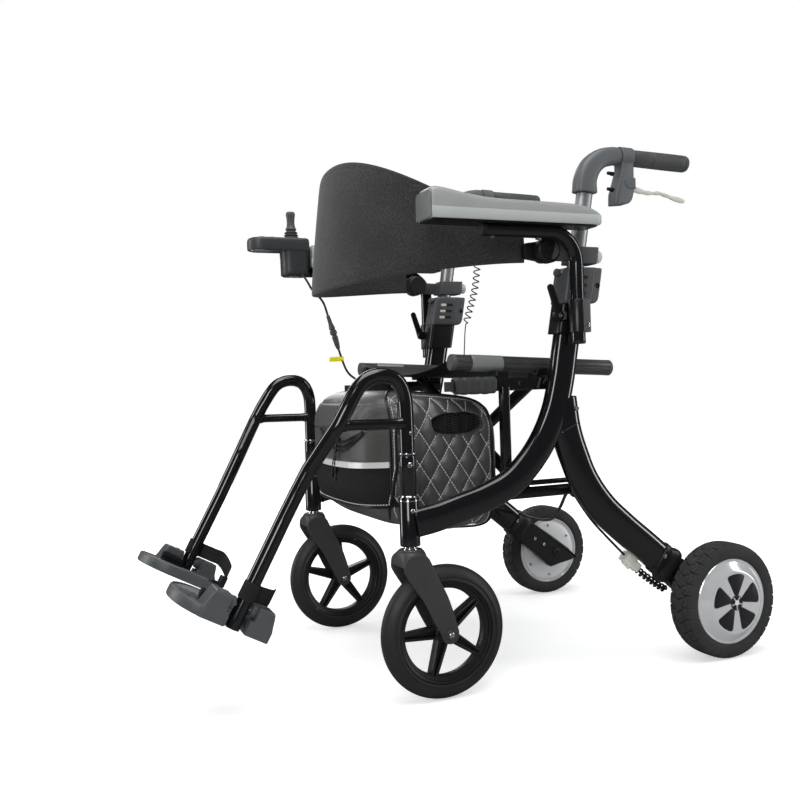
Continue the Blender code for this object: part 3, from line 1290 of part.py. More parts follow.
def joystick_stick():
    x = -ARMREST_X
    low = JOYSTICK_TOP + BOOT_HEIGHT + TURN_GAP
    stick = rod("joystick_stick", (x, STICK_Y, low), (x, STICK_Y, low + STICK_HEIGHT), STICK_NECK_RADIUS,
                end_radius=STICK_RADIUS)
    return finish(softened(stick, STICK_EDGE, 1), SATIN_BLACK, (x, STICK_Y, JOYSTICK_TOP))


# Cables


def cable(name, route, radius):
    return finish(tube(name, evenly(route, CABLE_POINT_RADII * radius), radius, 2), RUBBER)


def main():
    clear_scene()
    caster_centre = (POST_X, 0.0, CASTER_RADIUS)
    drive_centre = (DRIVE_X, DRIVE_Y, DRIVE_RADIUS)
    on_ground = [
        tyre("left_caster_tyre", CASTER_RADIUS, CASTER_WIDTH, CASTER_TYRE_DEPTH, caster_centre, RUBBER),
        caster_rim("left_caster_rim", caster_centre),
        caster_fork("left_caster_fork", caster_centre),
        tyre("left_drive_tyre", DRIVE_RADIUS, DRIVE_WIDTH, DRIVE_TYRE_DEPTH, drive_centre, RUBBER),
        drive_hub("left_drive_hub", drive_centre),
    ]
    on_frame = [
        side_frame("left_side_frame"),
        motor_bracket("left_motor_bracket"),
        clamp_housing("left_clamp_housing"),
        backrest_collar("left_backrest_collar"),
        backrest_arm("left_backrest_arm"),
        armrest_tube("left_armrest_tube"),
        armrest_pad("left_armrest_pad"),
        armrest_bracket("left_armrest_bracket"),
        armrest_lever("left_armrest_lever"),
        footrest_hanger("left_footrest_hanger"),
        footplate("left_footplate"),
        heel_strap("left_heel_strap"),
        seat_rail("left_seat_rail"),
    ]
    handles = [
        handle_tube("left_handle_tube"),
        handle_elbow("left_handle_elbow"),
        grip("left_grip"),
        brake_housing("left_brake_housing"),
        brake_lever("left_brake_lever"),
    ]
    raised = (0.0, RIGHT_HANDLE_RAISE * math.sin(LEAN), RIGHT_HANDLE_RAISE * math.cos(LEAN))
    on_ground += [mirrored(piece) for piece in on_ground]
    on_frame += [mirrored(piece) for piece in on_frame]
    on_frame += handles + [mirrored(piece, raised) for piece in handles]
    on_frame += [
        backrest_band("backrest_band"),
        cross_bar_a(),
        cross_bar_b(),
        seat_sling(),
        storage_bag(),
        joystick_box(),
        joystick_boot(),
        joystick_stick(),
        cable("joystick_cable", JOYSTICK_CABLE, CABLE_RADIUS),
        cable("curly_cable", CURLY_CABLE, CURLY_RADIUS),
        cable("left_motor_cable", LEFT_MOTOR_CABLE, CABLE_RADIUS),
        cable("right_motor_cable", RIGHT_MOTOR_CABLE, CABLE_RADIUS),
    ]
    for piece in on_frame:
        moved(piece, (0.0, 0.0, LIFT))
    centre_over_origin(on_ground + on_frame)


main()
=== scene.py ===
# %% [markdown]
# # Dressing a powered all-terrain rollator
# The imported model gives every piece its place, its joints and a plain solid. This script loads it, keeps that
# frame as it is, and builds the surfaces that a viewer sees around it. It is written as a lesson, so each
# step first says what the piece is on the real object and why it is made this way.

# %% Load the frame
import math

import bpy
import numpy as np
from mathutils import Matrix, Vector


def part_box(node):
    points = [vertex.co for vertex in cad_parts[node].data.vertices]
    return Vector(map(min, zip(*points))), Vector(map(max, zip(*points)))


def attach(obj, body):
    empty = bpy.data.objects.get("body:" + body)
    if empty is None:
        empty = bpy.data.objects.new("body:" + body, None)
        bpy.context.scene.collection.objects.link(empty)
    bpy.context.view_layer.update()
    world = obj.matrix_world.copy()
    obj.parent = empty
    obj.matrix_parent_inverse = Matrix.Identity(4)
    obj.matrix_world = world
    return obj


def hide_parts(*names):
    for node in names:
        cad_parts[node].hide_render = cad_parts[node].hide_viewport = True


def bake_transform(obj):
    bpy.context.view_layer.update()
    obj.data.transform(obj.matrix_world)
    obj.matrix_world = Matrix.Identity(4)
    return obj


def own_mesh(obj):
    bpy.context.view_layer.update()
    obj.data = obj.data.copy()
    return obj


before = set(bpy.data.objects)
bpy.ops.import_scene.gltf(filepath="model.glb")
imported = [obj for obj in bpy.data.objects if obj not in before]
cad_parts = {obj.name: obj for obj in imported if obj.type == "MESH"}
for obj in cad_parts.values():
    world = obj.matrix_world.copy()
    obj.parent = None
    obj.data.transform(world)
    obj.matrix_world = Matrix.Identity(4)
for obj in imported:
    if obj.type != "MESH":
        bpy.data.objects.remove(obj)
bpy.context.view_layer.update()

# %% [markdown]
# ## Where things are
# The maker's drawing measures y from the axle of the front casters and z from the ground.
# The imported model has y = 0 under the middle of the object instead, so one shift joins the two.
# Reading that shift from the casters keeps every piece in place when the model's length changes.
# The right-hand pieces are mirror images, and the right handle is set 30 mm higher than the left one.

# %% Main places and sizes
caster_low, caster_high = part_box("left_caster_rim")
AXLE_Y = (caster_low.y + caster_high.y) / 2
LEAN = math.radians(10.5)
LEAN_Y, LEAN_Z = 0.231, 0.546
RIGHT_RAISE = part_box("right_grip")[1].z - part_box("left_grip")[1].z
POST_X, FRAME_X, RAIL_X, ARMREST_X, DRIVE_X = 0.227, 0.233, 0.193, 0.27, 0.2729
CASTER_RADIUS, DRIVE_RADIUS = 0.1, 0.0951
DRIVE_Y = 0.4962
POST_Y = -0.049
print("axle at", round(AXLE_Y, 4), "right handle higher by", round(RIGHT_RAISE, 4))


def on_lean(z):
    """How far back the upright's middle is at height z: a straight line that leans back by LEAN."""
    return LEAN_Y + (z - LEAN_Z) * math.tan(LEAN)


# %% [markdown]
# ## Skins over grids of points
# Almost every piece here is a grid: rings of points, one after another, joined by quads.
# A grid is one array, so a shape is a formula on whole arrays and needs no loop over its points.
# The signed volume says whether the faces look outwards, and they are all turned round if they don't.

# %% Grids into shapes
def quads(rows, columns, loop):
    """Corner numbers of the quads of a grid whose columns close on themselves, and its rows too if loop."""
    row, column = np.meshgrid(np.arange(rows if loop else rows - 1), np.arange(columns), indexing="ij")
    below, beside = (row + 1) % rows, (column + 1) % columns
    corners = [row * columns + column, row * columns + beside, below * columns + beside, below * columns
               + column]
    return np.stack(corners, axis=-1).reshape(-1, 4)


def skin(rings, loop=False):
    """A closed shape over rings of points: an array (ring, point, xyz). Open ends get one flat face each."""
    rings = np.asarray(rings, float)
    rows, columns, _ = rings.shape
    points = rings.reshape(-1, 3)
    faces = quads(rows, columns, loop).tolist()
    if not loop:
        faces.append(list(range(columns))[::-1])
        faces.append(list(range((rows - 1) * columns, rows * columns)))
    return outward(points, faces)


def outward(points, faces):
    """Turns every face round when the signed volume, a sum of a . (b x c) over triangles, is negative."""
    fans = [(face[0], face[i], face[i + 1]) for face in faces for i in range(1, len(face) - 1)]
    a, b, c = (points[index] for index in np.array(fans).T)
    if np.einsum("ij,ij->i", a, np.cross(b, c)).sum() < 0:
        faces = [face[::-1] for face in faces]
    return points, faces


def panel(front, back):
    """A closed thin shape between two grids of points of the same size, with walls round the edge."""
    rows, columns, _ = front.shape
    count = rows * columns
    row, column = np.meshgrid(np.arange(rows - 1), np.arange(columns - 1), indexing="ij")
    corner = (row * columns + column).ravel()
    faces = np.stack([corner, corner + columns, corner + columns + 1, corner + 1], axis=-1)
    number = np.arange(count).reshape(rows, columns)
    rim = np.concatenate([number[0], number[1:, -1], number[-1, -2::-1], number[-2:0:-1, 0]])
    walls = np.stack([rim, np.roll(rim, -1), np.roll(rim, -1) + count, rim + count], axis=1)
    points = np.vstack([front.reshape(-1, 3), back.reshape(-1, 3)])
    return outward(points, faces.tolist() + (faces[:, ::-1] + count).tolist() + walls.tolist())


def together(*shapes):
    """Several shapes as one: the points in one array, and the face numbers moved along."""
    points, faces, start = [], [], 0
    for some_points, some_faces in shapes:
        points.append(some_points)
        faces += [[start + i for i in face] for face in some_faces]
        start += len(some_points)
    return np.vstack(points), faces


def moved(shape, step):
    """The shape moved by step."""
    points, faces = shape
    return points + np.asarray(step, float), faces


def facing(shape, place, direction, up=(0, 0, 1)):
    """The shape with its own z turned to a direction and its origin put at place: points times rows of axes."""
    points, faces = shape
    z = np.asarray(direction, float) / np.linalg.norm(direction)
    x = np.cross(up, z)
    if np.linalg.norm(x) < 1e-6:
        x = np.cross((0, 1, 0), z)
    x /= np.linalg.norm(x)
    return points @ np.array([x, np.cross(z, x), z]) + np.asarray(place, float), faces


print("quads on a grid of 3 rings of 4 points:", len(quads(3, 4, False)))

# %% [markdown]
# ## Lines that shapes follow
# A bent tube is a ring carried along a smooth line, and a Catmull-Rom curve gives that line from a few
# points. Superellipses give the flat-sided ovals of bicycle tubes: the higher the power, the squarer the
# oval.

# %% Curves and rings
def smooth(points, parts=8):
    """A Catmull-Rom curve through the points, with the given number of steps from each point to the next."""
    points = np.asarray(points, float)
    ends = np.vstack([2 * points[0] - points[1], points, 2 * points[-1] - points[-2]])
    a, b, c, d = (ends[i:len(ends) - 3 + i, None] for i in range(4))
    t = (np.arange(parts) / parts)[None, :, None]
    curve = 0.5 * (2 * b + (c - a) * t + (2 * a - 5 * b + 4 * c - d) * t**2 + (3 * b - a - 3 * c + d) * t**3)
    return np.vstack([curve.reshape(-1, points.shape[1]), points[-1]])


def evenly(points, count):
    """The same line with its points at equal distances: each coordinate is read off at equal arc lengths."""
    points = np.asarray(points, float)
    run = np.concatenate([[0], np.cumsum(np.linalg.norm(np.diff(points, axis=0), axis=1))])
    at = np.linspace(0, run[-1], count)
    return np.stack([np.interp(at, run, column) for column in points.T], axis=1)


def oval(half_width, half_depth, power=2.0, sides=32):
    """A superellipse: cos and sin of the angle, each raised to 2 / power and given back its sign."""
    angle = 2 * np.pi * (np.arange(sides) + 0.5) / sides
    wave = np.stack([np.cos(angle), np.sin(angle)], axis=1)
    return np.sign(wave) * np.abs(wave) ** (2 / power) * (half_width, half_depth)


def frames(path, side):
    """Three directions at each point of a line: along it, across it (close to side) and square to both."""
    along = np.gradient(path, axis=0)
    along /= np.linalg.norm(along, axis=1)[:, None]
    side = np.broadcast_to(np.asarray(side, float), path.shape)
    across = side - along * np.einsum("ij,ij->i", side, along)[:, None]
    across /= np.linalg.norm(across, axis=1)[:, None]
    return along, across, np.cross(along, across)


def carried(path, profile, side=(1, 0, 0), scale=None):
    """A profile carried along a line: place + across * u + up * v, with u and v times the scale there."""
    path = np.asarray(path, float)
    _, across, up = frames(path, side)
    scale = np.ones(len(path)) if scale is None else np.asarray(scale, float)
    u, v = (scale[:, None] * profile[:, i][None, :] for i in range(2))
    return path[:, None] + across[:, None] * u[..., None] + up[:, None] * v[..., None]


def round_ends(path, radius):
    """A line with extra points at both ends, and the scale that closes it there as a quarter circle does."""
    path = np.asarray(path, float)
    angle = np.linspace(0, np.pi / 2, 5)[1:]
    start = (path[0] - path[1]) / np.linalg.norm(path[0] - path[1])
    end = (path[-1] - path[-2]) / np.linalg.norm(path[-1] - path[-2])
    inset = radius * (1 - np.cos(angle))[::-1, None]
    before = path[0] - start * radius + start * (radius * np.sin(angle))[::-1, None]
    after = path[-1] - end * radius + end * (radius * np.sin(angle))[:, None]
    middle = np.vstack([path[0] - start * radius, path[1:-1], path[-1] - end * radius])
    return np.vstack([before, middle, after]), np.concatenate([inset[:, 0], np.zeros(len(middle)),
                                                               inset[::-1, 0]])


def rod(path, radius, edge, sides, side=(1, 0, 0)):
    """A round bar along a line of many points, with its end edges rounded off."""
    path, inset = round_ends(path, edge)
    return skin(carried(path, oval(1, 1, sides=sides), side, radius - inset))


def tube(points, radius, sides=20, edge=0.0008, parts=8, side=(1, 0, 0)):
    """A round bar along a smooth line through a few points."""
    return rod(smooth(points, parts), radius, edge, sides, side)


print("points of a curve through three corners:", len(smooth([(0, 0), (1, 0), (1, 1)])))

# %% [markdown]
# A turned part is a profile carried round an axis, and a moulded block is an outline with rounded edges.
# A turned profile starts and ends at AXIS, a radius too small to see, so that its end faces close there.

# %% Turned and moulded shapes
AXIS = 1e-5


def turned(profile, steps=64, loop=False):
    """A profile of (radius, height) pairs carried round the z axis."""
    profile = np.asarray(profile, float)
    angle = 2 * np.pi * np.arange(steps) / steps
    radius, height = profile[:, 0, None], profile[:, 1, None]
    rings = np.stack([radius * np.cos(angle), radius * np.sin(angle), height + 0 * angle], axis=-1)
    return skin(rings, loop)


def solid(profile, steps=64):
    """A turned profile whose first and last heights are also carried in to the axis, as flat ends."""
    profile = np.asarray(profile, float)
    return turned([(AXIS, profile[0, 1]), *profile, (AXIS, profile[-1, 1])], steps)


def rounded(corners, radius, parts=5):
    """An outline with each corner replaced by a quadratic curve that starts and ends at radius from it."""
    corners = np.asarray(corners, float)
    radius = np.broadcast_to(np.asarray(radius, float), len(corners))[:, None]
    before, after = np.roll(corners, 1, axis=0) - corners, np.roll(corners, -1, axis=0) - corners
    start, end = (corners + radius * way / np.linalg.norm(way, axis=1)[:, None] for way in (before, after))
    t = np.linspace(0, 1, parts)[None, :, None]
    curve = (1 - t) ** 2 * start[:, None] + 2 * t * (1 - t) * corners[:, None] + t**2 * end[:, None]
    return curve.reshape(-1, 2)


def rectangle(x, y, corner, upwards=False, parts=5):
    """A rectangle with rounded corners over a pair x and a pair y, run along x first, or along y if upwards."""
    corners = [(x[0], y[0]), (x[1], y[0]), (x[1], y[1]), (x[0], y[1])]
    return rounded([corners[i] for i in (0, 3, 2, 1)] if upwards else corners, corner, parts)


def inset_outline(outline, distance):
    """The outline moved inwards: each point goes along the mean normal of its two sides."""
    ahead, behind = np.roll(outline, -1, axis=0), np.roll(outline, 1, axis=0)
    run = ahead - behind
    normal = np.stack([-run[:, 1], run[:, 0]], axis=1) / np.maximum(np.linalg.norm(run, axis=1), 1e-9)[:, None]
    area = np.sum(outline[:, 0] * ahead[:, 1] - ahead[:, 0] * outline[:, 1])
    return outline + normal * distance * np.sign(area)


def stacked(outline, levels):
    """Rings of one outline, each moved inwards by an inset and put at a height."""
    return skin([np.column_stack([inset_outline(outline, inset), np.full(len(outline), z)]) for inset,
                 z in levels])


def drawn_in(outline, middle, levels):
    """Rings of one outline, each drawn in to its middle by a share and put at a height."""
    return skin([np.column_stack([middle + (outline - middle) * (1 - share), np.full(len(outline), z)])
                 for share, z in levels])


def moulded(outline, low, high, edge, steps=4):
    """An outline as thick as from low to high along z, with both rims rounded to a quarter circle."""
    angle = np.linspace(0, np.pi / 2, steps + 1)
    inset = edge * (1 - np.sin(angle))
    height = low + edge * (1 - np.cos(angle))
    insets = np.concatenate([inset, inset[::-1]])
    heights = np.concatenate([height, low + high - height[::-1]])
    return stacked(outline, zip(insets, heights))


def across_block(outline, low, high, edge):
    """A moulded block from an outline of (y, z) points, as thick as from low to high along x."""
    points, faces = moulded(np.asarray(outline, float), low, high, edge)
    return outward(points[:, [2, 0, 1]], faces)


def arc(centre, radius, start, end, parts=8):
    """Points of an arc in a plane, in degrees anticlockwise from the first axis."""
    angle = np.radians(np.linspace(start, end, parts + 1))
    return np.asarray(centre) + radius * np.stack([np.cos(angle), np.sin(angle)], axis=1)


def button(radius, height, socket=0.5):
    """A screw head: a domed rim round a socket that goes down to half its height."""
    hole = radius * socket
    profile = [(AXIS, height * 0.35), (hole, height * 0.35), (hole * 1.05, height * 0.9),
               (radius * 0.75, height), (radius * 0.95, height * 0.7), (radius, height * 0.3),
               (radius, -height), (AXIS, -height)]
    return turned(profile, 20)


print("faces of a screw head:", len(button(0.004, 0.002)[1]))

# %% [markdown]
# ## Putting a piece on its body
# A piece becomes an object once: its drawn y is shifted to the frame, its mesh is filled, and it rides on a
# body. A pair is made from one left-hand shape, and the right-hand one is its mirror image with the faces
# turned round. The handle pieces on the right are also pushed up along the leaning tube.

# %% Shapes into pieces
made = []


def piece(name, shape, look, body, stands_for=(), sharp=35):
    """One finished object: points shifted to the frame, and edges sharp only above an angle in degrees."""
    points, faces = shape
    mesh = bpy.data.meshes.new(name)
    mesh.from_pydata((points + (0, AXLE_Y, 0)).tolist(), [], [list(face) for face in faces])
    mesh.materials.append(look)
    mesh.shade_smooth()
    mesh.set_sharp_from_angle(angle=math.radians(sharp))
    obj = bpy.data.objects.new(name, mesh)
    bpy.context.scene.collection.objects.link(obj)
    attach(obj, body)
    if stands_for:
        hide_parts(*stands_for)
    made.append(obj)
    return obj


RAISE = np.array([0.0, math.sin(LEAN), math.cos(LEAN)]) * RIGHT_RAISE


def mirrored(shape):
    """The mirror image across the middle plane: x changes its sign, and every face is turned round."""
    points, faces = shape
    return points * (-1, 1, 1), [list(face)[::-1] for face in faces]


def pair(name, shape, look, body, stands_for=(), raised=False, sharp=35):
    """The left-hand piece and its mirror image, each riding on the body of its own side."""
    left = piece("left_" + name, shape, look, "left_" + body, ["left_" + n for n in stands_for], sharp)
    twin = moved(mirrored(shape), RAISE if raised else (0, 0, 0))
    right = piece("right_" + name, twin, look, "right_" + body, ["right_" + n for n in stands_for], sharp)
    return left, right


print("shift of the right handle:", RAISE.round(4).tolist())

# %% [markdown]
# ## Finishes
# Every finish is a small node tree on the Principled shader, read from Object coordinates, so it stays put on
# a piece. A real surface is never one value all over: paint has a faint ripple, plastic a grain, rubber a
# bloom. One helper makes the tree's usual parts: noise that varies the colour, noise for the roughness, and
# fine bumps. Values that don't vary, such as a coat, are written straight on the shader's socket.

# %% Tools for node trees
def wired(tree, kind, inputs=None, **settings):
    """A new node with its settings, and its inputs set to values or linked from sockets."""
    node = tree.nodes.new(kind)
    for name, value in settings.items():
        setattr(node, name, value)
    for name, value in (inputs or {}).items():
        socket = node.inputs[name]
        if isinstance(value, bpy.types.NodeSocket):
            tree.links.new(value, socket)
        else:
            socket.default_value = value
    return node


def maths(tree, operation, *values):
    """The result of a Math node."""
    return wired(tree, "ShaderNodeMath", dict(enumerate(values)), operation=operation).outputs[0]


def spots(tree, scale, detail, stretch=(1, 1, 1)):
    """Noise on Object coordinates, with more detail or stretched along an axis."""
    where = tree.nodes.get("where") or wired(tree, "ShaderNodeTexCoord", name="where")
    mapped = wired(tree, "ShaderNodeMapping", {"Vector": where.outputs["Object"], "Scale": stretch})
    inputs = {"Vector": mapped.outputs["Vector"], "Scale": scale, "Detail": detail, "Roughness": 0.5}
    return wired(tree, "ShaderNodeTexNoise", inputs).outputs["Fac"]


def between(tree, value, low, high):
    """A value from 0 to 1 turned into one from low to high."""
    inputs = {"Value": value, "To Min": low, "To Max": high}
    return wired(tree, "ShaderNodeMapRange", inputs).outputs["Result"]


def mixed(tree, share, first, second):
    """A colour between two others."""
    node = wired(tree, "ShaderNodeMix", data_type="RGBA")
    for socket, value in zip((node.inputs[0], node.inputs[6], node.inputs[7]), (share, first, second)):
        if isinstance(value, bpy.types.NodeSocket):
            tree.links.new(value, socket)
        else:
            socket.default_value = value if isinstance(value, float) else (*value, 1.0)
    return node.outputs[2]


def bumped(tree, height, distance):
    """A normal from a height, joined to the shader."""
    inputs = {"Height": height, "Distance": distance, "Strength": 1.0}
    tree.links.new(wired(tree, "ShaderNodeBump", inputs).outputs["Normal"], shader_of(tree).inputs["Normal"])


def shader_of(tree):
    return tree.nodes["Principled BSDF"]


print("materials before the first finish:", len(bpy.data.materials))

# %% [markdown]
# Two makers use these tools: `finish` for plain values, and `grained` for the three noises that most pieces
# need.

# %% Makers of finishes
def finish(name, colour, roughness, metallic=0.0, **sockets):
    """A new material with plain values on its shader: a colour, a roughness, and any other sockets by name."""
    look = bpy.data.materials.new(name)
    look.use_nodes = True
    shader = shader_of(look.node_tree)
    shader.inputs["Base Color"].default_value = (*colour, 1.0)
    shader.inputs["Roughness"].default_value = roughness
    shader.inputs["Metallic"].default_value = metallic
    for socket, value in sockets.items():
        shader.inputs[socket.replace("_", " ")].default_value = value
    return look


def grained(name, colour, roughness, scale=400.0, depth=0.00015, vary=0.25, metallic=0.0, stretch=(1, 1, 1),
            **sockets):
    """A finish whose colour and roughness follow coarse noise, with bumps from fine noise."""
    look = finish(name, colour, roughness, metallic, **sockets)
    tree = look.node_tree
    clouds = spots(tree, 22.0, 4.0, stretch)
    light = tuple(min(c * (1 + vary), 1.0) for c in colour)
    dark = tuple(c * (1 - vary) for c in colour)
    tree.links.new(mixed(tree, clouds, dark, light), shader_of(tree).inputs["Base Color"])
    tree.links.new(between(tree, spots(tree, 40.0, 1.0, stretch), roughness * 0.8, roughness * 1.2),
                   shader_of(tree).inputs["Roughness"])
    bumped(tree, spots(tree, scale, 2.0, stretch), depth)
    return look


print("materials so far:", len(bpy.data.materials))

# %% [markdown]
# The frame is wet-looking black enamel: a dark base under a clear coat, with a ripple too faint to see as
# bumps. The moulded parts are nylon with a fine sand-blasted grain, in three greys that the photograph tells
# apart. Bare metal is scratched in one direction, which stretched noise gives, and zinc bolts are duller than
# chrome.

# %% Hard finishes
enamel = grained("black_enamel", (0.004, 0.004, 0.005), 0.14, 60.0, 0.000006, 0.2, Coat_Weight=0.7,
                 Coat_Roughness=0.04)
satin_black = grained("satin_black_enamel", (0.006, 0.006, 0.007), 0.3, 500.0, 0.00003, 0.25)
nylon_black = grained("black_nylon", (0.008, 0.008, 0.009), 0.38, 900.0, 0.00008, 0.3)
nylon_dark = grained("dark_grey_nylon", (0.064, 0.067, 0.07), 0.44, 900.0, 0.00008, 0.15)
nylon_mid = grained("grey_nylon", (0.105, 0.113, 0.118), 0.44, 900.0, 0.00008, 0.08)
nylon_grey = grained("slate_grey_nylon", (0.075, 0.08, 0.084), 0.46, 800.0, 0.00014, 0.12)
satin_grey = grained("grey_anodised_tube", (0.4, 0.405, 0.41), 0.4, 300.0, 0.00001, 0.08, 0.85, (1, 1, 0.06))
lever_ivory = grained("ivory_lever", (0.62, 0.6, 0.54), 0.38, 500.0, 0.00004, 0.04)
polished = grained("polished_aluminium", (0.88, 0.89, 0.9), 0.16, 200.0, 0.00001, 0.03, 0.55, (0.05, 1, 1))
cast_alloy = grained("cast_aluminium", (0.78, 0.79, 0.8), 0.36, 700.0, 0.00005, 0.06, 0.2)
zinc = grained("zinc_bolts", (0.62, 0.62, 0.6), 0.26, 600.0, 0.00003, 0.08, 1.0)
chrome = grained("chrome_rings", (0.8, 0.81, 0.83), 0.07, 120.0, 0.00001, 0.03, 1.0)
fork_coat = grained("fork_powder_coat", (0.036, 0.036, 0.037), 0.46, 900.0, 0.0001, 0.2)
# Black for the wheel's inlays and the clamp's screws, also used as painted shade in the handle's holes and the
# clamp's slots.
black_and_hole_shade = grained("black_parts_and_painted_hole_shade", (0.012, 0.011, 0.013), 0.3, 700.0, 0.00005, 0.2)
print("hard finishes:", len(bpy.data.materials))

# %% [markdown]
# Rubber is matte and slightly grey where it has bloomed, and the caster tyres are harder and shinier than the
# others. The cables are smooth PVC. The connector block is translucent nylon, so it gets a little subsurface
# light.

# %% Soft and rubbery finishes
tread_rubber = grained("tread_rubber", (0.031, 0.031, 0.032), 0.66, 700.0, 0.0002, 0.35, Specular_IOR_Level=0.3)
caster_rubber = grained("caster_rubber", (0.018, 0.018, 0.019), 0.46, 600.0, 0.00006, 0.3,
                        Specular_IOR_Level=0.4)
grip_rubber = grained("grip_rubber", (0.058, 0.06, 0.062), 0.5, 1200.0, 0.0002, 0.3)
cable_skin = grained("cable_pvc", (0.01, 0.01, 0.01), 0.4, 500.0, 0.00004, 0.25)
connector_nylon = grained("milky_connector", (0.72, 0.72, 0.66), 0.42, 400.0, 0.00005, 0.05,
                          Subsurface_Weight=0.2, Subsurface_Scale=0.002)
flag_yellow = grained("yellow_flag", (0.96, 0.88, 0.01), 0.45, 300.0, 0.00005, 0.08)
print("hard and soft finishes:", len(bpy.data.materials))

# %% [markdown]
# ## Drive wheels
# Each rear wheel holds a motor in its hub and has a solid tyre with block tread.
# The tyre is one grid, of angle by place across, whose radius is a crown less the grooves.
# A groove is a narrow dip in a distance: to straight lines across, and to two zigzags round the tyre.
# The tread is real depth rather than a bump, because it shows in the outline at the top of the wheel.

# %% Drive tyres
DRIVE_WIDTH = 0.046
DRIVE_SEAT = 0.0703
BLOCKS = 30


def dip(distance, width):
    """1 in the middle of a groove, falling smoothly to 0 at its width."""
    return np.clip(1 - np.abs(distance) / width, 0, 1) ** 0.6


def to_nearest(value, step):
    """The distance to the nearest multiple of step."""
    return (value + step / 2) % step - step / 2


def drive_tyre():
    """Radius = crown - shoulder fall - grooves, over the angle and the place across from -1 to 1."""
    angle = np.linspace(0, 2 * np.pi, 720, endpoint=False)[:, None]
    across = np.concatenate([np.linspace(-1, -0.5, 16), np.linspace(-0.45, 0.45, 26),
                             np.linspace(0.5, 1, 16)])[None]
    half = DRIVE_WIDTH / 2
    depth = DRIVE_RADIUS - DRIVE_SEAT
    fall = np.abs(across) ** 3.2
    radius = DRIVE_RADIUS - depth * 0.62 * fall ** 1.6 - 0.002 * across**2
    along = angle * BLOCKS / (2 * np.pi)
    zigzag = 0.07 * np.abs(to_nearest(along, 1.0)) * 4 - 0.07
    middle = dip(np.abs(across) - 0.3 - zigzag, 0.05)
    outer = dip(np.abs(across) - 0.62 - zigzag * 0.5, 0.04)
    bars = dip(to_nearest(along, 1.0), 0.06) * (np.abs(across) > 0.33)
    chevron = dip(to_nearest(along + 0.5 + 1.2 * np.abs(across), 1.0), 0.07) * (np.abs(across) < 0.3)
    groove = np.maximum.reduce([middle, outer, bars, chevron]) * np.clip((0.93 - np.abs(across)) / 0.06, 0, 1)
    radius = radius - 0.0034 * groove
    bulge = half * np.sign(across) * np.sin(np.abs(across) * np.pi / 2) ** 0.9
    tread = np.stack([radius * np.cos(angle), radius * np.sin(angle), bulge + 0 * angle], axis=-1)
    wall = np.array([(0.0775, 1.0), (0.0745, 0.985), (0.0725, 0.95), (DRIVE_SEAT, 0.88)])
    walls = [np.stack([r * np.cos(angle[:, 0]), r * np.sin(angle[:, 0]), np.full(720, half * w)], axis=-1)
             for r, w in np.vstack([wall, wall[::-1] * (1, -1)])]
    rings = np.concatenate([tread, np.stack(walls, axis=1)], axis=1)
    return skin(rings, loop=True)


WHEEL_CENTRE = (DRIVE_X, DRIVE_Y, DRIVE_RADIUS)
pair("drive_tread", facing(drive_tyre(), WHEEL_CENTRE, (1, 0, 0)), tread_rubber, "drive_wheel",
     ["drive_tyre"], sharp=50)
print("tyre faces:", len(made[-1].data.polygons))

# %% [markdown]
# The outer face is a bright dished rim with a flat centre, in which five black inlays leave five silver
# leaves. At the very middle a small silver star lies on a black disc. Turned profiles give the rim and the
# discs. The inlays are outlines in polar coordinates with rounded corners, raised by a fraction of a
# millimetre.

# %% Rims and inlays
RIM_FACE = DRIVE_WIDTH / 2 - 0.0025
FLAT_FACE = RIM_FACE + 0.0115


def fan_outline(inner, outer, half_inner, half_outer, middle, corner):
    """A rounded leaf between two radii, with a half width in degrees at each, about a middle angle."""
    corners = []
    for radius, half, count in ((inner, half_inner, 2), (outer, half_outer, 5)):
        angles = np.radians(middle + np.linspace(-half, half, count))
        if radius == outer:
            angles = angles[::-1]
        corners.append(radius * np.stack([np.cos(angles), np.sin(angles)], axis=1))
    radii = [corner * 0.4] * 2 + [corner] + [corner * 0.3] * 3 + [corner]
    return rounded(np.vstack(corners), radii, 4)


rim_profile = [(AXIS, FLAT_FACE), (0.0495, FLAT_FACE), (0.051, FLAT_FACE - 0.0003),
               (0.0525, FLAT_FACE - 0.0012), (0.06, RIM_FACE + 0.004), (0.065, RIM_FACE + 0.0006),
               (0.0668, RIM_FACE + 0.0004), (0.069, RIM_FACE + 0.001), (0.0699, RIM_FACE), (0.0699, -RIM_FACE),
               (0.068, -RIM_FACE), (0.066, -RIM_FACE + 0.0015), (AXIS, -RIM_FACE + 0.0015)]
pair("drive_rim", facing(turned(rim_profile, 128), WHEEL_CENTRE, (1, 0, 0)), polished, "drive_wheel",
     ["drive_hub"], sharp=25)

inlays = [moulded(fan_outline(0.0125, 0.0475, 17, 24, 90 + 72 * i, 0.006), FLAT_FACE - 0.0006,
                  FLAT_FACE + 0.0005, 0.0003, 2) for i in range(5)]
disc = solid([(0.012, FLAT_FACE + 0.0007), (0.0124, FLAT_FACE + 0.0003), (0.0124, FLAT_FACE - 0.0006)], 48)
pair("wheel_inlays", facing(together(disc, *inlays), WHEEL_CENTRE, (1, 0, 0)), black_and_hole_shade, "drive_wheel",
     sharp=30)

STAR = FLAT_FACE + 0.0008
star_arms = [moulded(fan_outline(0.002, 0.0112, 20, 5, 54 + 72 * i, 0.0006), STAR - 0.0002, STAR + 0.0008,
                     0.0002, 2) for i in range(5)]
star_boss = turned([(AXIS, STAR + 0.0016), (0.0034, STAR + 0.0014), (0.0044, STAR + 0.0006),
                    (0.0044, STAR - 0.0002), (AXIS, STAR - 0.0002)], 32)
pair("wheel_star", facing(together(star_boss, *star_arms), WHEEL_CENTRE, (1, 0, 0)), cast_alloy, "drive_wheel",
     sharp=30)
print("inlays:", len(inlays), "star arms:", len(star_arms))

# %% [markdown]
# The inner face is a plain aluminium cover, held by six small screws that sit in shallow pockets.

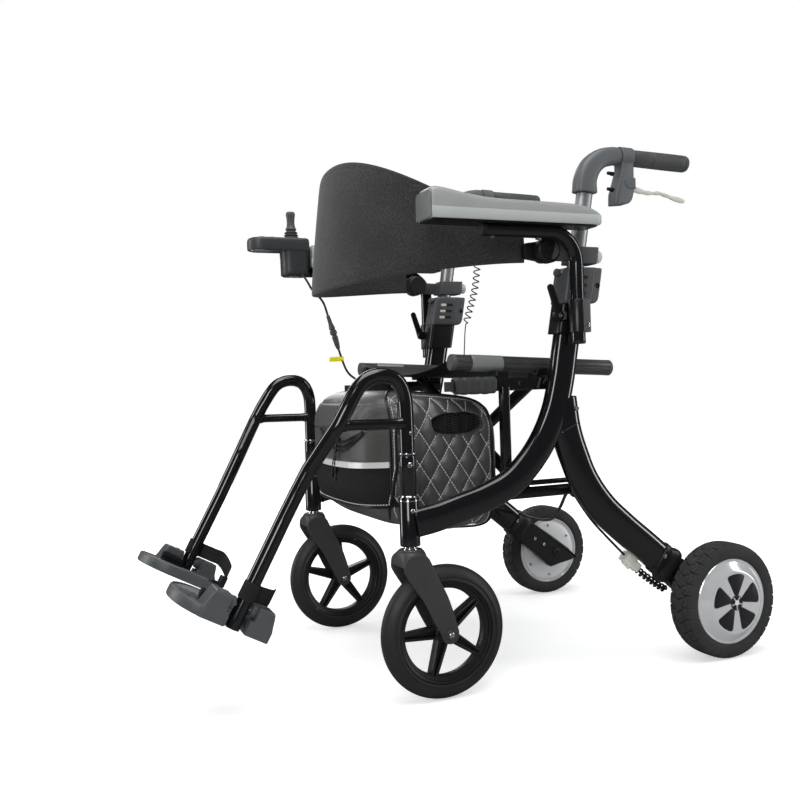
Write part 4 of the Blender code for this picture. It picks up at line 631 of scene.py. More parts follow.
# %% Inner covers
COVER = -RIM_FACE + 0.0015
cover = solid([(0.05, COVER - 0.0016), (0.057, COVER - 0.0012), (0.062, COVER - 0.0004),
               (0.0626, COVER + 0.0004), (0.0626, COVER + 0.0014)], 96)
pair("motor_cover", facing(cover, WHEEL_CENTRE, (1, 0, 0)), cast_alloy, "drive_wheel",
     sharp=30)
angles = np.radians(30 + 60 * np.arange(6))
cover_screws = [facing(button(0.0032, 0.001), (0.054 * math.cos(a), 0.054 * math.sin(a), COVER - 0.0012),
                       (0, 0, -1)) for a in angles]
pair("cover_screws", facing(together(*cover_screws), WHEEL_CENTRE, (1, 0, 0)), zinc, "drive_wheel")
print("drive wheels:", len(made), "pieces so far")

# %% [markdown]
# ## Front casters
# A caster has a smooth hard tyre with a step near its rim, and a black moulded wheel with five double spokes.
# The tyre and the rim's barrel are turned profiles. Each spoke is a pair of thin ribs that meet at the
# barrel, with a web between them, so a spoke is two beams that run from the hub's side to one point on the
# barrel.

# %% Caster tyres and rims
CASTER_CENTRE = (POST_X, 0.0, CASTER_RADIUS)
SPOKES = 5


def tyre_profile():
    """Half of the tyre from the crown to its seat, then the other half as its mirror image."""
    crown = arc((CASTER_RADIUS - 0.013, 0.0), 0.013, 0, 62, 8)
    side = np.array([(0.0905, 0.0138), (0.087, 0.0156), (0.0835, 0.0163), (0.0832, 0.015), (0.0815, 0.0148),
                     (0.0795, 0.0158), (0.0765, 0.015), (0.0761, 0.0132)])
    half = np.vstack([crown, side])
    return np.vstack([half[::-1], (half * (1, -1))[1:]])


pair("caster_tread", facing(turned(tyre_profile(), 144, loop=True), CASTER_CENTRE, (1, 0, 0)), caster_rubber,
     "caster_wheel", ["caster_tyre"], sharp=28)

barrel = [(0.0757, 0.0132), (0.0742, 0.0136), (0.0725, 0.0128), (0.0715, 0.0095), (0.066, 0.0075),
          (0.0652, 0.006), (0.0648, 0.0)]
barrel = np.vstack([barrel, (np.array(barrel) * (1, -1))[-2::-1]])
hub = [(0.006, 0.0205), (0.0105, 0.0205), (0.012, 0.019), (0.0135, 0.01), (0.016, 0.008), (0.016, -0.008),
       (0.0135, -0.01), (0.012, -0.019), (0.0105, -0.0205), (0.006, -0.0205)]


def double_spoke(angle):
    """Two ribs from both sides of the hub to nearly one point on the barrel, and a thin web between them."""
    tip = np.array([math.cos(angle), math.sin(angle), 0.0]) * 0.0665
    parts = []
    for side in (-1, 1):
        root_angle = angle + side * 0.6
        root = np.array([math.cos(root_angle), math.sin(root_angle), 0.0]) * 0.0125
        end = tip + np.array([-math.sin(angle), math.cos(angle), 0.0]) * side * 0.0034
        path = root + (end - root) * np.linspace(0, 1, 6)[:, None]
        parts.append(skin(carried(path, oval(0.0086, 0.0024, 5.0, 16), (0, 0, 1))))
    hub_side = [np.array([math.cos(angle + s), math.sin(angle + s)]) * 0.01 for s in (-0.6, 0.6)]
    barrel_side = [np.array([math.cos(angle + s), math.sin(angle + s)]) * 0.066 for s in (0.036, -0.036)]
    parts.append(moulded(rounded(hub_side + barrel_side, 0.0008, 3), -0.0022, 0.0022, 0.0004, 2))
    return together(*parts)


def spoked_wheel(first):
    """Barrel, hub and five double spokes, the first of them at an angle in degrees."""
    spokes = [double_spoke(math.radians(first + 360 * i / SPOKES)) for i in range(SPOKES)]
    wheel = together(turned(barrel, 120, loop=True), turned(hub, 48, loop=True), *spokes)
    return facing(wheel, CASTER_CENTRE, (1, 0, 0))


for side, wheel in (("left", spoked_wheel(108.5)), ("right", mirrored(spoked_wheel(91.5)))):
    piece(side + "_caster_spokes", wheel, nylon_black, side + "_caster_wheel",
          [side + "_caster_rim"], 30)
print("caster rim faces:", len(made[-1].data.polygons))

# %% [markdown]
# The fork is one moulding that swells from a round crown into two broad flat legs, with a concave front edge.
# Its leg is an outline in the side view, drawn as one smooth closed line from points read off the photograph.
# A bridge over the tyre joins the two legs, and above it the crown narrows to the ball race.

# %% Caster forks
FORK_INNER, FORK_OUTER = 0.0222, 0.027
CROWN_TOP = 0.226
leg_front = smooth([(-0.048, 0.2225), (-0.06, 0.221), (-0.068, 0.215), (-0.0702, 0.206), (-0.069, 0.196),
                    (-0.057, 0.176), (-0.0395, 0.15), (-0.027, 0.124), (-0.013, 0.098)], 4)
leg_rear = smooth([(0.0138, 0.104), (0.006, 0.132), (-0.003, 0.158), (-0.016, 0.184), (-0.0262, 0.206),
                   (-0.033, 0.218), (-0.04, 0.222)], 4)
leg_outline = np.vstack([leg_front, arc((0.0, CASTER_RADIUS), 0.0138, 200, 365, 10)[:-1], leg_rear])


def fork_body():
    """The crown's rings go from a round top to the rectangle over the tyre: the oval gets squarer."""
    heights = np.array([0.205, 0.2062, 0.212, 0.218, 0.2225, 0.225, CROWN_TOP])
    half_x = np.array([0.0262, 0.027, 0.0268, 0.0258, 0.0236, 0.0212, 0.0198])
    half_y = np.array([0.02, 0.0208, 0.0208, 0.0204, 0.02, 0.0192, 0.0182])
    middle = np.array([-0.0488, -0.0488, -0.0489, -0.049, -0.049, -0.049, -0.049])
    power = np.array([5.0, 5.0, 4.0, 3.0, 2.4, 2.1, 2.0])
    rings = [np.column_stack([oval(x, y, p, 48), np.full(48, z)]) + (0, m, 0)
             for x, y, p, z, m in zip(half_x, half_y, power, heights, middle)]
    return skin(rings)


legs = [across_block(leg_outline, side * FORK_INNER if side > 0 else -FORK_OUTER,
                     FORK_OUTER if side > 0 else -FORK_INNER, 0.0016) for side in (-1, 1)]
bridge = across_block(rounded([(-0.0688, 0.207), (-0.069, 0.2035), (-0.029, 0.2035), (-0.0285, 0.214),
                               (-0.0688, 0.214)], 0.001), -0.024, 0.024, 0.0005)
boss = turned([(0.0045, 0.002), (0.0072, 0.002), (0.008, 0.0012), (0.0084, -0.002), (0.0045, -0.002)], 32)
boss = facing(boss, (FORK_OUTER, 0.0, CASTER_RADIUS), (1, 0, 0))
fork = moved(together(fork_body(), *legs, bridge, boss, mirrored(boss)), (POST_X, 0, 0))
pair("fork_shell", fork, fork_coat, "caster_swivel", ["caster_fork"], sharp=35)

race = solid([(0.0085, 0.0062), (0.0092, 0.005), (0.0092, 0.0034), (0.0108, 0.003), (0.0112, 0.0012),
              (0.0112, -0.001)], 48)
pair("stem_ring", moved(race, (POST_X, POST_Y, CROWN_TOP)), chrome, "caster_swivel")
seal = turned([(0.01, 0.0016), (0.0172, 0.0016), (0.018, 0.0008), (0.018, -0.001), (0.01, -0.001)], 48,
              loop=True)
pair("stem_seal", moved(seal, (POST_X, POST_Y, CROWN_TOP)), grip_rubber, "caster_swivel")
nut = button(0.0046, 0.0022, 0.45)
axle_nuts = [facing(nut, (POST_X + side * (FORK_OUTER + 0.0016), 0.0, CASTER_RADIUS), (side, 0, 0))
             for side in (-1, 1)]
pair("axle_nuts", together(*axle_nuts), zinc, "caster_swivel")
print("wheels and forks:", len(made), "pieces")

# %% [markdown]
# ## Side frames
# A side frame is two bent oval beams welded together: the front arm that rises into the upright, and the rear
# leg. Each beam is a superellipse carried along a smooth line through the maker's points, so that its flat
# sides and rounded edges catch one long highlight, as the enamelled tube does in the photograph. Weld beads
# close the joints: a bead is a thin tube with a wavy radius, laid round the place where two tubes meet.

# %% Bent beams
BEAM_HALF_WIDTH, ARM_HALF_DEPTH = 0.014, 0.0215
LEG_HALF_WIDTH, LEG_HALF_DEPTH = 0.0136, 0.0255
UPRIGHT_TOP = 0.6
ARM_LINE = [(POST_Y + 0.004, 0.266), (-0.01, 0.2715), (0.027, 0.281), (0.07, 0.2925), (0.117, 0.312),
            (0.152, 0.34), (0.182, 0.378), (0.203, 0.42), (0.2165, 0.468), (on_lean(0.51), 0.51),
            (on_lean(0.546), 0.546), (on_lean(UPRIGHT_TOP), UPRIGHT_TOP)]
LEG_LINE = [(0.2165, 0.44), (0.223, 0.392), (0.236, 0.35), (0.256, 0.305), (0.288, 0.262), (0.33, 0.224),
            (0.37, 0.192), (0.405, 0.163)]


def in_plane(points, x):
    """Points (y, z) in the upright plane at x."""
    return np.array([(x, y, z) for y, z in points])


def beam(line, half_width, half_depth):
    """A bent oval beam with softly rounded ends."""
    path, inset = round_ends(smooth(in_plane(line, FRAME_X)), 0.0015)
    return skin(carried(path, oval(half_width, half_depth, 2.8, 48), (1, 0, 0), 1 - inset / half_width))


def bead(centre, axis, radius, thick=0.0013, squash=1.0, ripples=26, up=(0, 0, 1)):
    """A weld bead round a joint: a ring whose thickness ripples like laid-down droplets."""
    angle = np.linspace(0, 2 * np.pi, 96, endpoint=False)
    around = np.linspace(0, 2 * np.pi, 8, endpoint=False)
    size = thick * (1 + 0.22 * np.sin(angle * ripples))[:, None]
    out = radius + size * np.cos(around)
    rings = np.stack([out * np.cos(angle)[:, None], out * squash * np.sin(angle)[:, None],
                      size * np.sin(around)], axis=-1)
    return facing(skin(rings, loop=True), centre, axis, up)


def side_block(outline, low_y, high_y, edge):
    """A moulded block from an outline of (x, z) points, as thick as from low to high along y."""
    points, faces = moulded(np.asarray(outline, float), low_y, high_y, edge)
    return outward(points[:, [0, 2, 1]], faces)


POST_LOW, POST_TOP, POST_RADIUS = 0.2325, 0.305, 0.015
post = moved(turned([(0.0085, POST_LOW), (0.014, POST_LOW), (POST_RADIUS, POST_LOW + 0.001),
                     (POST_RADIUS, POST_TOP - 0.001), (0.0142, POST_TOP), (0.0106, POST_TOP),
                     (0.0106, POST_TOP - 0.039), (0.0066, POST_TOP - 0.041), (0.0066, POST_LOW)], 56,
                    loop=True), (POST_X, POST_Y, 0))
arm = beam(ARM_LINE, BEAM_HALF_WIDTH, ARM_HALF_DEPTH)
leg = beam(LEG_LINE, LEG_HALF_WIDTH, LEG_HALF_DEPTH)
LUG_PLACES = ((0.1, 0.108), (0.262, 0.27))
lug_outline = rectangle((0.178, FRAME_X), (0.275, 0.309), [0.013, 0.013, 0.001, 0.001], True)
lugs = [side_block(lug_outline, low, high, 0.001) for low, high in LUG_PLACES]
post_bead = bead((POST_X, POST_Y + 0.0145, 0.2675), (0, 0.97, 0.24), 0.0155, 0.0011, 1.35)
root_bead = bead((FRAME_X, 0.223, 0.393), (0, 0.42, -0.9), 0.0142, 0.0011, 1.8)

REST_X, REST_LOW, REST_HIGH = 0.2145, 0.4545, 0.4745
rest_bar = side_block(rectangle((REST_X - 0.006, REST_X + 0.006), (REST_LOW, REST_HIGH), 0.002, True), 0.035,
                      on_lean(REST_LOW) + 0.01, 0.0008)
rest_tie = side_block(rectangle((REST_X, FRAME_X), (REST_LOW + 0.001, REST_HIGH - 0.001), 0.001, True),
                      on_lean(REST_LOW) - 0.016, on_lean(REST_LOW) + 0.009, 0.0008)
rest_post = moulded(rectangle((0.2125, 0.227), (0.114, 0.128), 0.003), 0.33, 0.4605, 0.001)
saddle_shape = [(0.186, 0.485), (0.2195, 0.485), (0.2195, 0.4685), (0.186, 0.4685)]
saddle = side_block(rounded(saddle_shape, 0.002), 0.11, 0.132, 0.001)
frame_shape = together(arm, leg, post, *lugs, post_bead, root_bead, rest_bar, rest_tie, rest_post, saddle)
pair("frame_tube", frame_shape, enamel, "frame", ["side_frame"], sharp=40)
print("side frame faces:", len(made[-1].data.polygons))

# %% [markdown]
# Small fasteners tell the size of the frame: socket screws on the front post, bolts where the seat rest meets
# the upright, and a bright ring that seals the post's top. A screw is one profile, and `facing` turns it to
# its wall.

# %% Rings and screws on the frame
post_ring = turned([(0.0108, -0.001), (0.015, -0.001), (0.0153, -0.0004), (0.0149, 0.001), (0.0122, 0.0078),
                    (0.0115, 0.0084), (0.0108, 0.0084)], 56, loop=True)
post_ring = moved(post_ring, (POST_X, POST_Y, POST_TOP - 0.0052))
screw = button(0.0034, 0.0014, 0.45)
screw_places = [((POST_X + POST_RADIUS, POST_Y - 0.001, 0.285), (1, -0.1, 0)),
                ((FRAME_X + BEAM_HALF_WIDTH, 0.236, 0.423), (1, 0, 0)), ((REST_X - 0.006, 0.118, 0.4645),
                                                                         (-1, 0, 0))]
frame_screws = together(*[facing(screw, place, way) for place, way in screw_places])
pair("post_rings", post_ring, chrome, "frame")
pair("frame_screws", frame_screws, zinc, "frame")
nut_places = [((REST_X + 0.0062, y, 0.4645), (1, 0, 0)) for y in (0.15, 0.196)]
rest_nuts = together(*[facing(button(0.0048, 0.002, 0.5), place, way) for place, way in nut_places])
pair("rest_bolts", rest_nuts, satin_black, "frame")
print("screws and nuts on each side:", len(screw_places) + len(nut_places))

# %% [markdown]
# A roll of grey leatherette is sewn round the rest bar, so that the seat's rail lands softly when the frame
# opens. It is the bar's own section, grown by a few millimetres, with a slow wave along it where the cloth
# bunches.

# %% Rolls on the rest bars
run = np.linspace(0, 1, 60)
roll_path = np.column_stack([np.full(60, REST_X), 0.0365 + 0.0715 * run, 0.464 + 0.0003 * np.sin(run * 23)])
roll_size = 1 + 0.035 * np.sin(run * 31) * np.sin(run * 7) - 0.3 * np.clip(1 - np.minimum(run, 1 - run) / 0.035,
                                                                           0, 1) ** 2
roll = skin(carried(roll_path, oval(0.0098, 0.0132, 3.4, 48), (1, 0, 0), roll_size))
tab = side_block(rectangle((REST_X + 0.0015, REST_X + 0.004), (0.456, 0.471), 0.0008, True), 0.0195, 0.036,
                 0.0006)
roll_look = grained("grey_leatherette", (0.036, 0.037, 0.038), 0.44, 900.0, 0.00025, 0.25)
pair("rest_roll", together(roll, tab), roll_look, "frame", sharp=60)
print("stations of the roll:", len(roll_path))

# %% [markdown]
# The rear leg ends in a boot, a moulded nylon bell round the tube, and a flat steel ear carries the motor's
# axle. The bell is the leg's own oval scaled along the last part of its line: a lip, a waist and a rounded
# end. Its ear is an outline in the side view with the axle at its centre.

# %% Motor brackets
leg_path = smooth(in_plane(LEG_LINE, FRAME_X), 12)
END_WAY = (leg_path[-1] - leg_path[-2]) / np.linalg.norm(leg_path[-1] - leg_path[-2])
leg_end = leg_path[-1]


def bell():
    """The leg's oval along its last 14 mm and 26 mm beyond, scaled by a collar, a waist and a swelling end."""
    along = np.array([-0.014, -0.0135, -0.012, -0.003, -0.001, 0.003, 0.009, 0.015, 0.02, 0.024, 0.0257, 0.026])
    scale = np.array([0.96, 1.01, 1.03, 1.03, 0.97, 1.02, 1.14, 1.17, 1.12, 0.94, 0.76, 0.62])
    path = leg_end + END_WAY * along[:, None]
    rings = carried(path, oval(LEG_HALF_WIDTH + 0.0022, LEG_HALF_DEPTH + 0.0015, 3.0, 48), (1, 0, 0), scale)
    return skin(rings)


axle_place = np.array([FRAME_X, DRIVE_Y, DRIVE_RADIUS])
way = axle_place - leg_end
way /= np.linalg.norm(way)
square = np.array([0, -way[2], way[1]])
root = leg_end + END_WAY * 0.004
ear_plan = [(root - square * 0.0235)[1:], (0.483, 0.064), (0.506, 0.069), (0.533, 0.0735), (0.55, 0.079),
            (0.528, 0.101), (0.4828, 0.1345), (root + square * 0.0215)[1:]]
ear = across_block(rounded(np.array(ear_plan), 0.0022), FRAME_X - 0.0105, FRAME_X + 0.0105, 0.003)
stub = facing(solid([(0.01, -0.001), (0.01, 0.012), (0.0085, 0.0135), (0.0065, 0.014), (0.0065, 0.04)], 32),
              (FRAME_X + 0.002, DRIVE_Y, DRIVE_RADIUS), (1, 0, 0))
washer = facing(button(0.0085, 0.0022, 0.5), (FRAME_X - 0.0105, DRIVE_Y, DRIVE_RADIUS), (-1, 0, 0))
pair("motor_boot", together(bell(), ear, stub, washer), nylon_black, "frame", ["motor_bracket"],
     sharp=38)

boot_screws = [facing(button(0.0036, 0.0014, 0.5), leg_end - END_WAY * 0.0075
                      + np.array([side * 0.0158, 0, 0.004]), (side, 0, 0)) for side in (-1, 1)]
ear_screws = [facing(button(0.004, 0.0018, 0.5), (FRAME_X - 0.0105, y, z), (-1, 0, 0)) for y,
              z in ((DRIVE_Y - 0.03, DRIVE_RADIUS + 0.02), (DRIVE_Y - 0.052, DRIVE_RADIUS + 0.034))]
pair("boot_screws", together(*boot_screws, *ear_screws), zinc, "frame")
print("frames done:", len(made), "pieces")

# %% [markdown]
# ## Crossed bars
# Two bars cross under the seat. Each is welded to a lower rail that turns in the frame's lugs, and carries
# the seat rail of the other side at its top. A bar's end is flattened into a saddle, which the seat rail lies
# in.

# %% Crossed bars
RAIL_Z, LOWER_RAIL_FRONT, LOWER_RAIL_REAR = 0.29, 0.1115, 0.2585
SEAT_FRONT, SEAT_REAR = np.array([0.043, 0.501]), np.array([0.339, 0.486])


def seat_z(y):
    """Height of the seat rail's middle: a straight line from its front end to its rear end."""
    return np.interp(y, [SEAT_FRONT[0], SEAT_REAR[0]], [SEAT_FRONT[1], SEAT_REAR[1]])


def cross_bar(side, y):
    """A lower rail on one side and the bar that rises from it to the other side's seat rail."""
    rail = tube([(side * RAIL_X, LOWER_RAIL_FRONT, RAIL_Z), (side * RAIL_X, LOWER_RAIL_REAR, RAIL_Z)], 0.009,
                32, parts=4, side=(1, 0, 0))
    pins = tube([(side * RAIL_X, LOWER_RAIL_FRONT - 0.0125, RAIL_Z), (side * RAIL_X, LOWER_RAIL_REAR + 0.0125,
                                                                      RAIL_Z)], 0.0038, 20, 0.0005, 4)
    start, end = np.array([side * RAIL_X, y, RAIL_Z]), np.array([-side * RAIL_X, y, seat_z(0.188) - 0.0145])
    bar = tube([start, end], 0.01, 32, 0.002, 4, side=(0, 1, 0))
    upper = tube([(side * RAIL_X, LOWER_RAIL_FRONT + 0.02, RAIL_Z + 0.0155),
                  (side * RAIL_X, LOWER_RAIL_REAR - 0.004, RAIL_Z + 0.015)], 0.0042, 20, 0.0006, 4,
                 side=(1, 0, 0))
    along = (end - start) / np.linalg.norm(end - start)
    joint = bead(start + along * 0.0105, along, 0.0102, 0.001, 1.1, 18, up=(0, 1, 0))
    return together(rail, pins, bar, upper, joint)


BAR_A_Y, BAR_B_Y, BOLT_Y = 0.172, 0.204, 0.188
cross_a = cross_bar(1, BAR_A_Y)
centre = (0.0, BOLT_Y, (RAIL_Z + seat_z(BOLT_Y) - 0.004) / 2)
bolt = facing(solid([(0.0088, -0.016), (0.0088, 0.0057), (0.0036, 0.006), (0.0036, 0.0265), (0.0086, 0.0268),
                     (0.009, 0.0275), (0.0086, 0.0305), (0.0045, 0.0308), (0.004, 0.029)], 32), centre,
              (0, 1, 0))
piece("cross_bar_front", together(cross_a, bolt), satin_black, "cross_a", ["cross_bar_a"], 40)
piece("cross_bar_rear", cross_bar(-1, BAR_B_Y), satin_black, "cross_b", ["cross_bar_b"], 40)
for side, x, y, body in (("left", RAIL_X, BAR_B_Y, "cross_b"), ("right", -RAIL_X, BAR_A_Y, "cross_a")):
    low, high = seat_z(y) - 0.0175, seat_z(y) - 0.004
    plan = rectangle((x - 0.0135, x + 0.0135), (low, high), 0.004, True)
    piece(side + "_rail_clip", side_block(plan, y - 0.014, y + 0.014, 0.0015), satin_black, body)
print("crossed bars done:", len(made), "pieces")

# %% [markdown]
# ## Handles
# A handle is an oval tube that slides in the upright, a moulded shroud that bends it level, and a rubber
# grip. Pieces on the leaning tube are drawn along the lean, so one function gives the frame of that
# direction. The elbow is lofted: an oval changes its width, depth and squareness on the way from upright to
# level.

# %% Handle tubes
LEAN_UP = np.array([0.0, math.sin(LEAN), math.cos(LEAN)])
LEAN_BACK = np.array([0.0, math.cos(LEAN), -math.sin(LEAN)])
TUBE_TOP, GRIP_Z = 0.763, 0.827


def lean_line(heights):
    """Points on the middle line of the leaning tube at the given heights."""
    return np.array([(FRAME_X, on_lean(z), z) for z in heights])


def lean_block(outline, low, high, edge):
    """A block from an outline of (x, back) points round the tube's middle, standing along the lean."""
    points, faces = moulded(np.asarray(outline, float), low, high, edge)
    heights = points[:, 2]
    middle = np.stack([FRAME_X + 0 * heights, on_lean(heights), heights], axis=1)
    return outward(middle + points[:, :1] * (1, 0, 0) + points[:, 1:2] * (0, 1, 0), faces)


tube_path, tube_inset = round_ends(lean_line([0.44, 0.6, TUBE_TOP]), 0.0008)
handle_tube = skin(carried(tube_path, oval(0.011, 0.0135, 2.2, 48), (1, 0, 0), 1 - tube_inset / 0.011))
pair("handle_tube_skin", handle_tube, satin_grey, "handle", ["handle_tube"], raised=True)
print("stations of the handle tube:", len(tube_path))

# %% [markdown]
# The tube's rear side has a row of punched holes for the height clamp's spring pin. From the side they show
# as a dark strip, so they are made as shallow cups along the rear of the tube, coloured black as painted shade
# for the depth of the holes.

# %% Height holes
holes = []
for step in range(9):
    z = 0.655 + 0.012 * step
    cup = solid([(0.0026, -0.0004), (0.003, 0.0002), (0.0034, 0.0002), (0.0034, -0.0008)], 20)
    holes.append(facing(cup, lean_line([z])[0] + LEAN_BACK * 0.0135, LEAN_BACK, (1, 0, 0)))
# The cups' black is painted shade inside the holes.
pair("height_holes", together(*holes), black_and_hole_shade, "handle", raised=True)
print("height holes on each side:", len(holes))

# %% [markdown]
# The elbow is a loft through six measured stations of y, z, half width and half depth, joined by a smooth
# curve. Three short rings at each end draw it in, so that its rims look moulded and not cut.

# %% Elbows
elbow_stations = np.array([[on_lean(0.766), 0.766, 0.0148, 0.019], [0.2735, 0.786, 0.0148, 0.0178],
                           [0.284, 0.8065, 0.0146, 0.0168], [0.303, 0.821, 0.0144, 0.0155],
                           [0.324, 0.8265, 0.0141, 0.0146], [0.3355, GRIP_Z, 0.014, 0.0142]])


def elbow():
    """An oval carried round the bend: it is deep and flat-sided below and nearly round at the grip."""
    stations = smooth(elbow_stations, 8)
    path = in_plane(stations[:, :2], FRAME_X)
    _, across, up = frames(path, (1, 0, 0))
    power = np.linspace(3.4, 2.2, len(path))
    rings = []
    for place, side, out, station, squareness in zip(path, across, up, stations, power):
        shape = oval(station[2], station[3], squareness, 48)
        rings.append(place + side * shape[:, :1] + out * shape[:, 1:])
    lip = np.array([0.93, 0.985, 1.0])
    first = [path[0] + (rings[0] - path[0]) * s - LEAN_UP * d for s, d in zip(lip, (0.0012, 0.0008, 0.0))]
    end_way = (path[-1] - path[-2]) / np.linalg.norm(path[-1] - path[-2])
    last = [path[-1] + (rings[-1] - path[-1]) * s + end_way * d for s,
            d in zip(lip[::-1], (0.0, 0.0008, 0.0012))]
    return skin(np.array(first + rings[1:-1] + last))


pair("elbow_shroud", elbow(), nylon_mid, "handle", ["handle_elbow"], raised=True, sharp=45)


def grip_place(y):
    """The middle of the grip's bar at y, which drops 3 mm to the rear."""
    return np.array([FRAME_X, y, GRIP_Z - 0.003 * (y - 0.3385) / (0.478 - 0.3385)])


GRIP_WAY = grip_place(0.478) - grip_place(0.3645)
GRIP_LENGTH = float(np.linalg.norm(GRIP_WAY))
print("length of the grip:", round(GRIP_LENGTH, 4))

# %% [markdown]
# The grip is turned: a flange at the brake, two grooves mid-way, a swelling palm part and a domed end with a
# groove. Its rubber has a fine pattern of lengthwise ribs, which the radius of the turned shape carries as a
# small wave.

# %% Grips
along = [0.0, 0.0004, 0.0012, 0.03, 0.031, 0.0322, 0.0334, 0.0346, 0.0358, 0.037, 0.0382, 0.0394, 0.0404, 0.07,
         0.095, 0.1016, 0.1022, 0.1032, 0.1042, 0.1048, 0.1085, 0.111, 0.1126, 0.1134, GRIP_LENGTH]
radii = [0.0118, 0.013, 0.0134, 0.0136, 0.0136, 0.0126, 0.0126, 0.0136, 0.0137, 0.0137, 0.0127, 0.0127, 0.0137,
         0.0139, 0.0139, 0.0138, 0.0136, 0.0131, 0.0136, 0.0138, 0.0136, 0.0126, 0.0105, 0.007, AXIS]
grip_shape = facing(turned([(AXIS, 0.0)] + list(zip(radii, along)), 72), grip_place(0.3645), GRIP_WAY)
pair("grip_rubber", grip_shape, grip_rubber, "handle", ["grip"], raised=True, sharp=40)
print("largest radius of the grip:", max(radii))

# %% [markdown]
# The brake's housing clamps round the bar and hangs as a tall block below it. It is a moulded block from the
# side view, with a half-round boss that hides the lever's pin. Two barrel adjusters stick out in front of it.

# %% Brake housings
PIVOT_Y, PIVOT_Z = 0.352, 0.783
block_outline = rounded([(0.3385, 0.829), (0.3385, 0.805), (0.325, 0.766), (0.3243, 0.7475), (0.35, 0.75),
                         (0.3568, 0.756), (0.3615, 0.77), (0.3618, 0.829)],
                        [0.004, 0.004, 0.003, 0.002, 0.003, 0.003, 0.004, 0.004])
block = across_block(block_outline, FRAME_X - 0.0115, FRAME_X + 0.0115, 0.0022)
ring = facing(turned([(0.0103, 0.0), (0.0152, 0.0), (0.016, 0.001), (0.016, 0.0228), (0.0152, 0.0238),
                      (0.0103, 0.0238)], 56, loop=True), grip_place(0.3385), GRIP_WAY)
boss_outline = np.vstack([arc((PIVOT_Y, PIVOT_Z), 0.0088, 90, 270, 14),
                          [(0.3632, PIVOT_Z - 0.0088), (0.3632, PIVOT_Z + 0.0088)]])
boss = across_block(rounded(boss_outline, 0.0004, 2), FRAME_X - 0.0128, FRAME_X + 0.0128, 0.0009)
pair("brake_block", together(block, ring, boss), nylon_mid, "handle", ["brake_housing"],
     raised=True)
print("points of the housing's outline:", len(block_outline))

# %% [markdown]
# A brake cable leaves its housing through a barrel adjuster: a knurled nut and a thin ferrule, in one turned
# profile here. Two of them point forwards from each housing.

# %% Barrel adjusters
adjusters = []
for z, y in ((0.7985, 0.3255), (0.773, 0.3245)):
    barrel_shape = solid([(0.003, 0.0), (0.0034, 0.0004), (0.0034, 0.005), (0.0028, 0.0056), (0.0028, 0.011),
                          (0.0022, 0.0118)], 24)
    adjusters.append(facing(barrel_shape, (FRAME_X, y + 0.0035, z), (0, -1, 0.1)))
pair("barrel_adjusters", together(*adjusters), satin_black, "handle", raised=True)
print("adjusters on each side:", len(adjusters))

# %% [markdown]
# The lever is one wavy ivory bar with four finger scallops and a tip that turns down and widens like a leaf.

# %% Brake levers
LEVER_LINE = np.array([(0.0, 0.0), (0.018, -0.007), (0.045, -0.0115), (0.07, -0.011), (0.095, -0.017),
                       (0.121, -0.022)])


def lever():
    """An oval carried along the lever's line; it is highest at its pin, and a cosine adds the scallops."""
    line = smooth(LEVER_LINE + (PIVOT_Y, PIVOT_Z), 12)
    t = np.linspace(0, 1, len(line))
    height = 0.0062 - 0.0035 * np.clip(t * 2.2, 0, 1) + 0.0016 * np.exp(-((t - 0.9) / 0.09) ** 2)
    height = height + 0.0005 * np.cos(t * 46) * ((t > 0.25) & (t < 0.8))
    height = height * np.sqrt(np.clip((1.005 - t) / 0.03, 0.03, 1))
    width = 0.004 - 0.0008 * t
    width = width * np.sqrt(np.clip((1.005 - t) / 0.03, 0.03, 1))
    path = in_plane(line, FRAME_X)
    _, across, up = frames(path, (1, 0, 0))
    shape = oval(1, 1, 2.6, 24)
    rings = path[:, None] + across[:, None] * (width[:, None] * shape[:, 0])[..., None]
    return skin(rings + up[:, None] * (height[:, None] * shape[:, 1])[..., None])


pair("brake_lever_bar", lever(), lever_ivory, "brake", ["brake_lever"], raised=True, sharp=50)
print("reach of the lever:", float(LEVER_LINE[-1, 0]))

# %% [markdown]
# ## Height clamps
# The clamp's housing is a shell round the upright's top. Three slots run through its sides, and its rear ear
# holds the clamp screw. The block is lofted up the lean from a rounded plan. The slots are plugs set nearly
# flush, coloured black as painted shade inside them, each with a pale front half as painted light seen through,
# because a real hole would need a hollow shell.

# %% Clamp housings
HOUSING_LOW = 0.5875
housing_plan = rounded([(-0.0222, -0.0262), (0.0222, -0.0262), (0.0222, 0.025), (0.017, 0.03), (0.017, 0.0425),
                        (-0.017, 0.0425), (-0.017, 0.03), (-0.0222, 0.025)],
                       [0.009, 0.009, 0.003, 0.003, 0.006, 0.006, 0.003, 0.003])


def housing():
    """Rings up the lean: the plan shrinks at both ends, and its rear ear is cut away at the foot."""
    heights = np.array([0.0, 0.0006, 0.002, 0.005, 0.01, 0.015, 0.02, 0.03, 0.045, 0.052, 0.0548, 0.0562,
                        0.0565])
    inset = np.array([0.0022, 0.001, 0.0003, 0.0, 0.0, 0.0, 0.0, 0.0, 0.0, 0.0, 0.0004, 0.0013, 0.0025])
    rear = np.array([0.034, 0.0352, 0.037, 0.0392, 0.0412, 0.0422, 0.0425, 0.0425, 0.0425, 0.0424, 0.042, 0.041,
                     0.04])
    rings = []
    for height, shrink, limit in zip(heights, inset, rear):
        plan = inset_outline(housing_plan, shrink)
        back = np.minimum(plan[:, 1], limit - shrink)
        z = HOUSING_LOW + height
        rings.append(np.column_stack([FRAME_X + plan[:, 0], on_lean(z) + back, np.full(len(plan), z)]))
    return skin(rings)


SLOT_HEIGHTS = (0.603, 0.6155, 0.628)


def slot_shape(z, start, end, depth_low, depth_high):
    """A rounded slot's plug on the housing's side, from one place back of the lean to another."""
    y = on_lean(z)
    outline = rectangle((y + start, y + end), (z - 0.0026, z + 0.0026), 0.0025, parts=6)
    return across_block(outline, FRAME_X + depth_low, FRAME_X + depth_high, 0.0003)


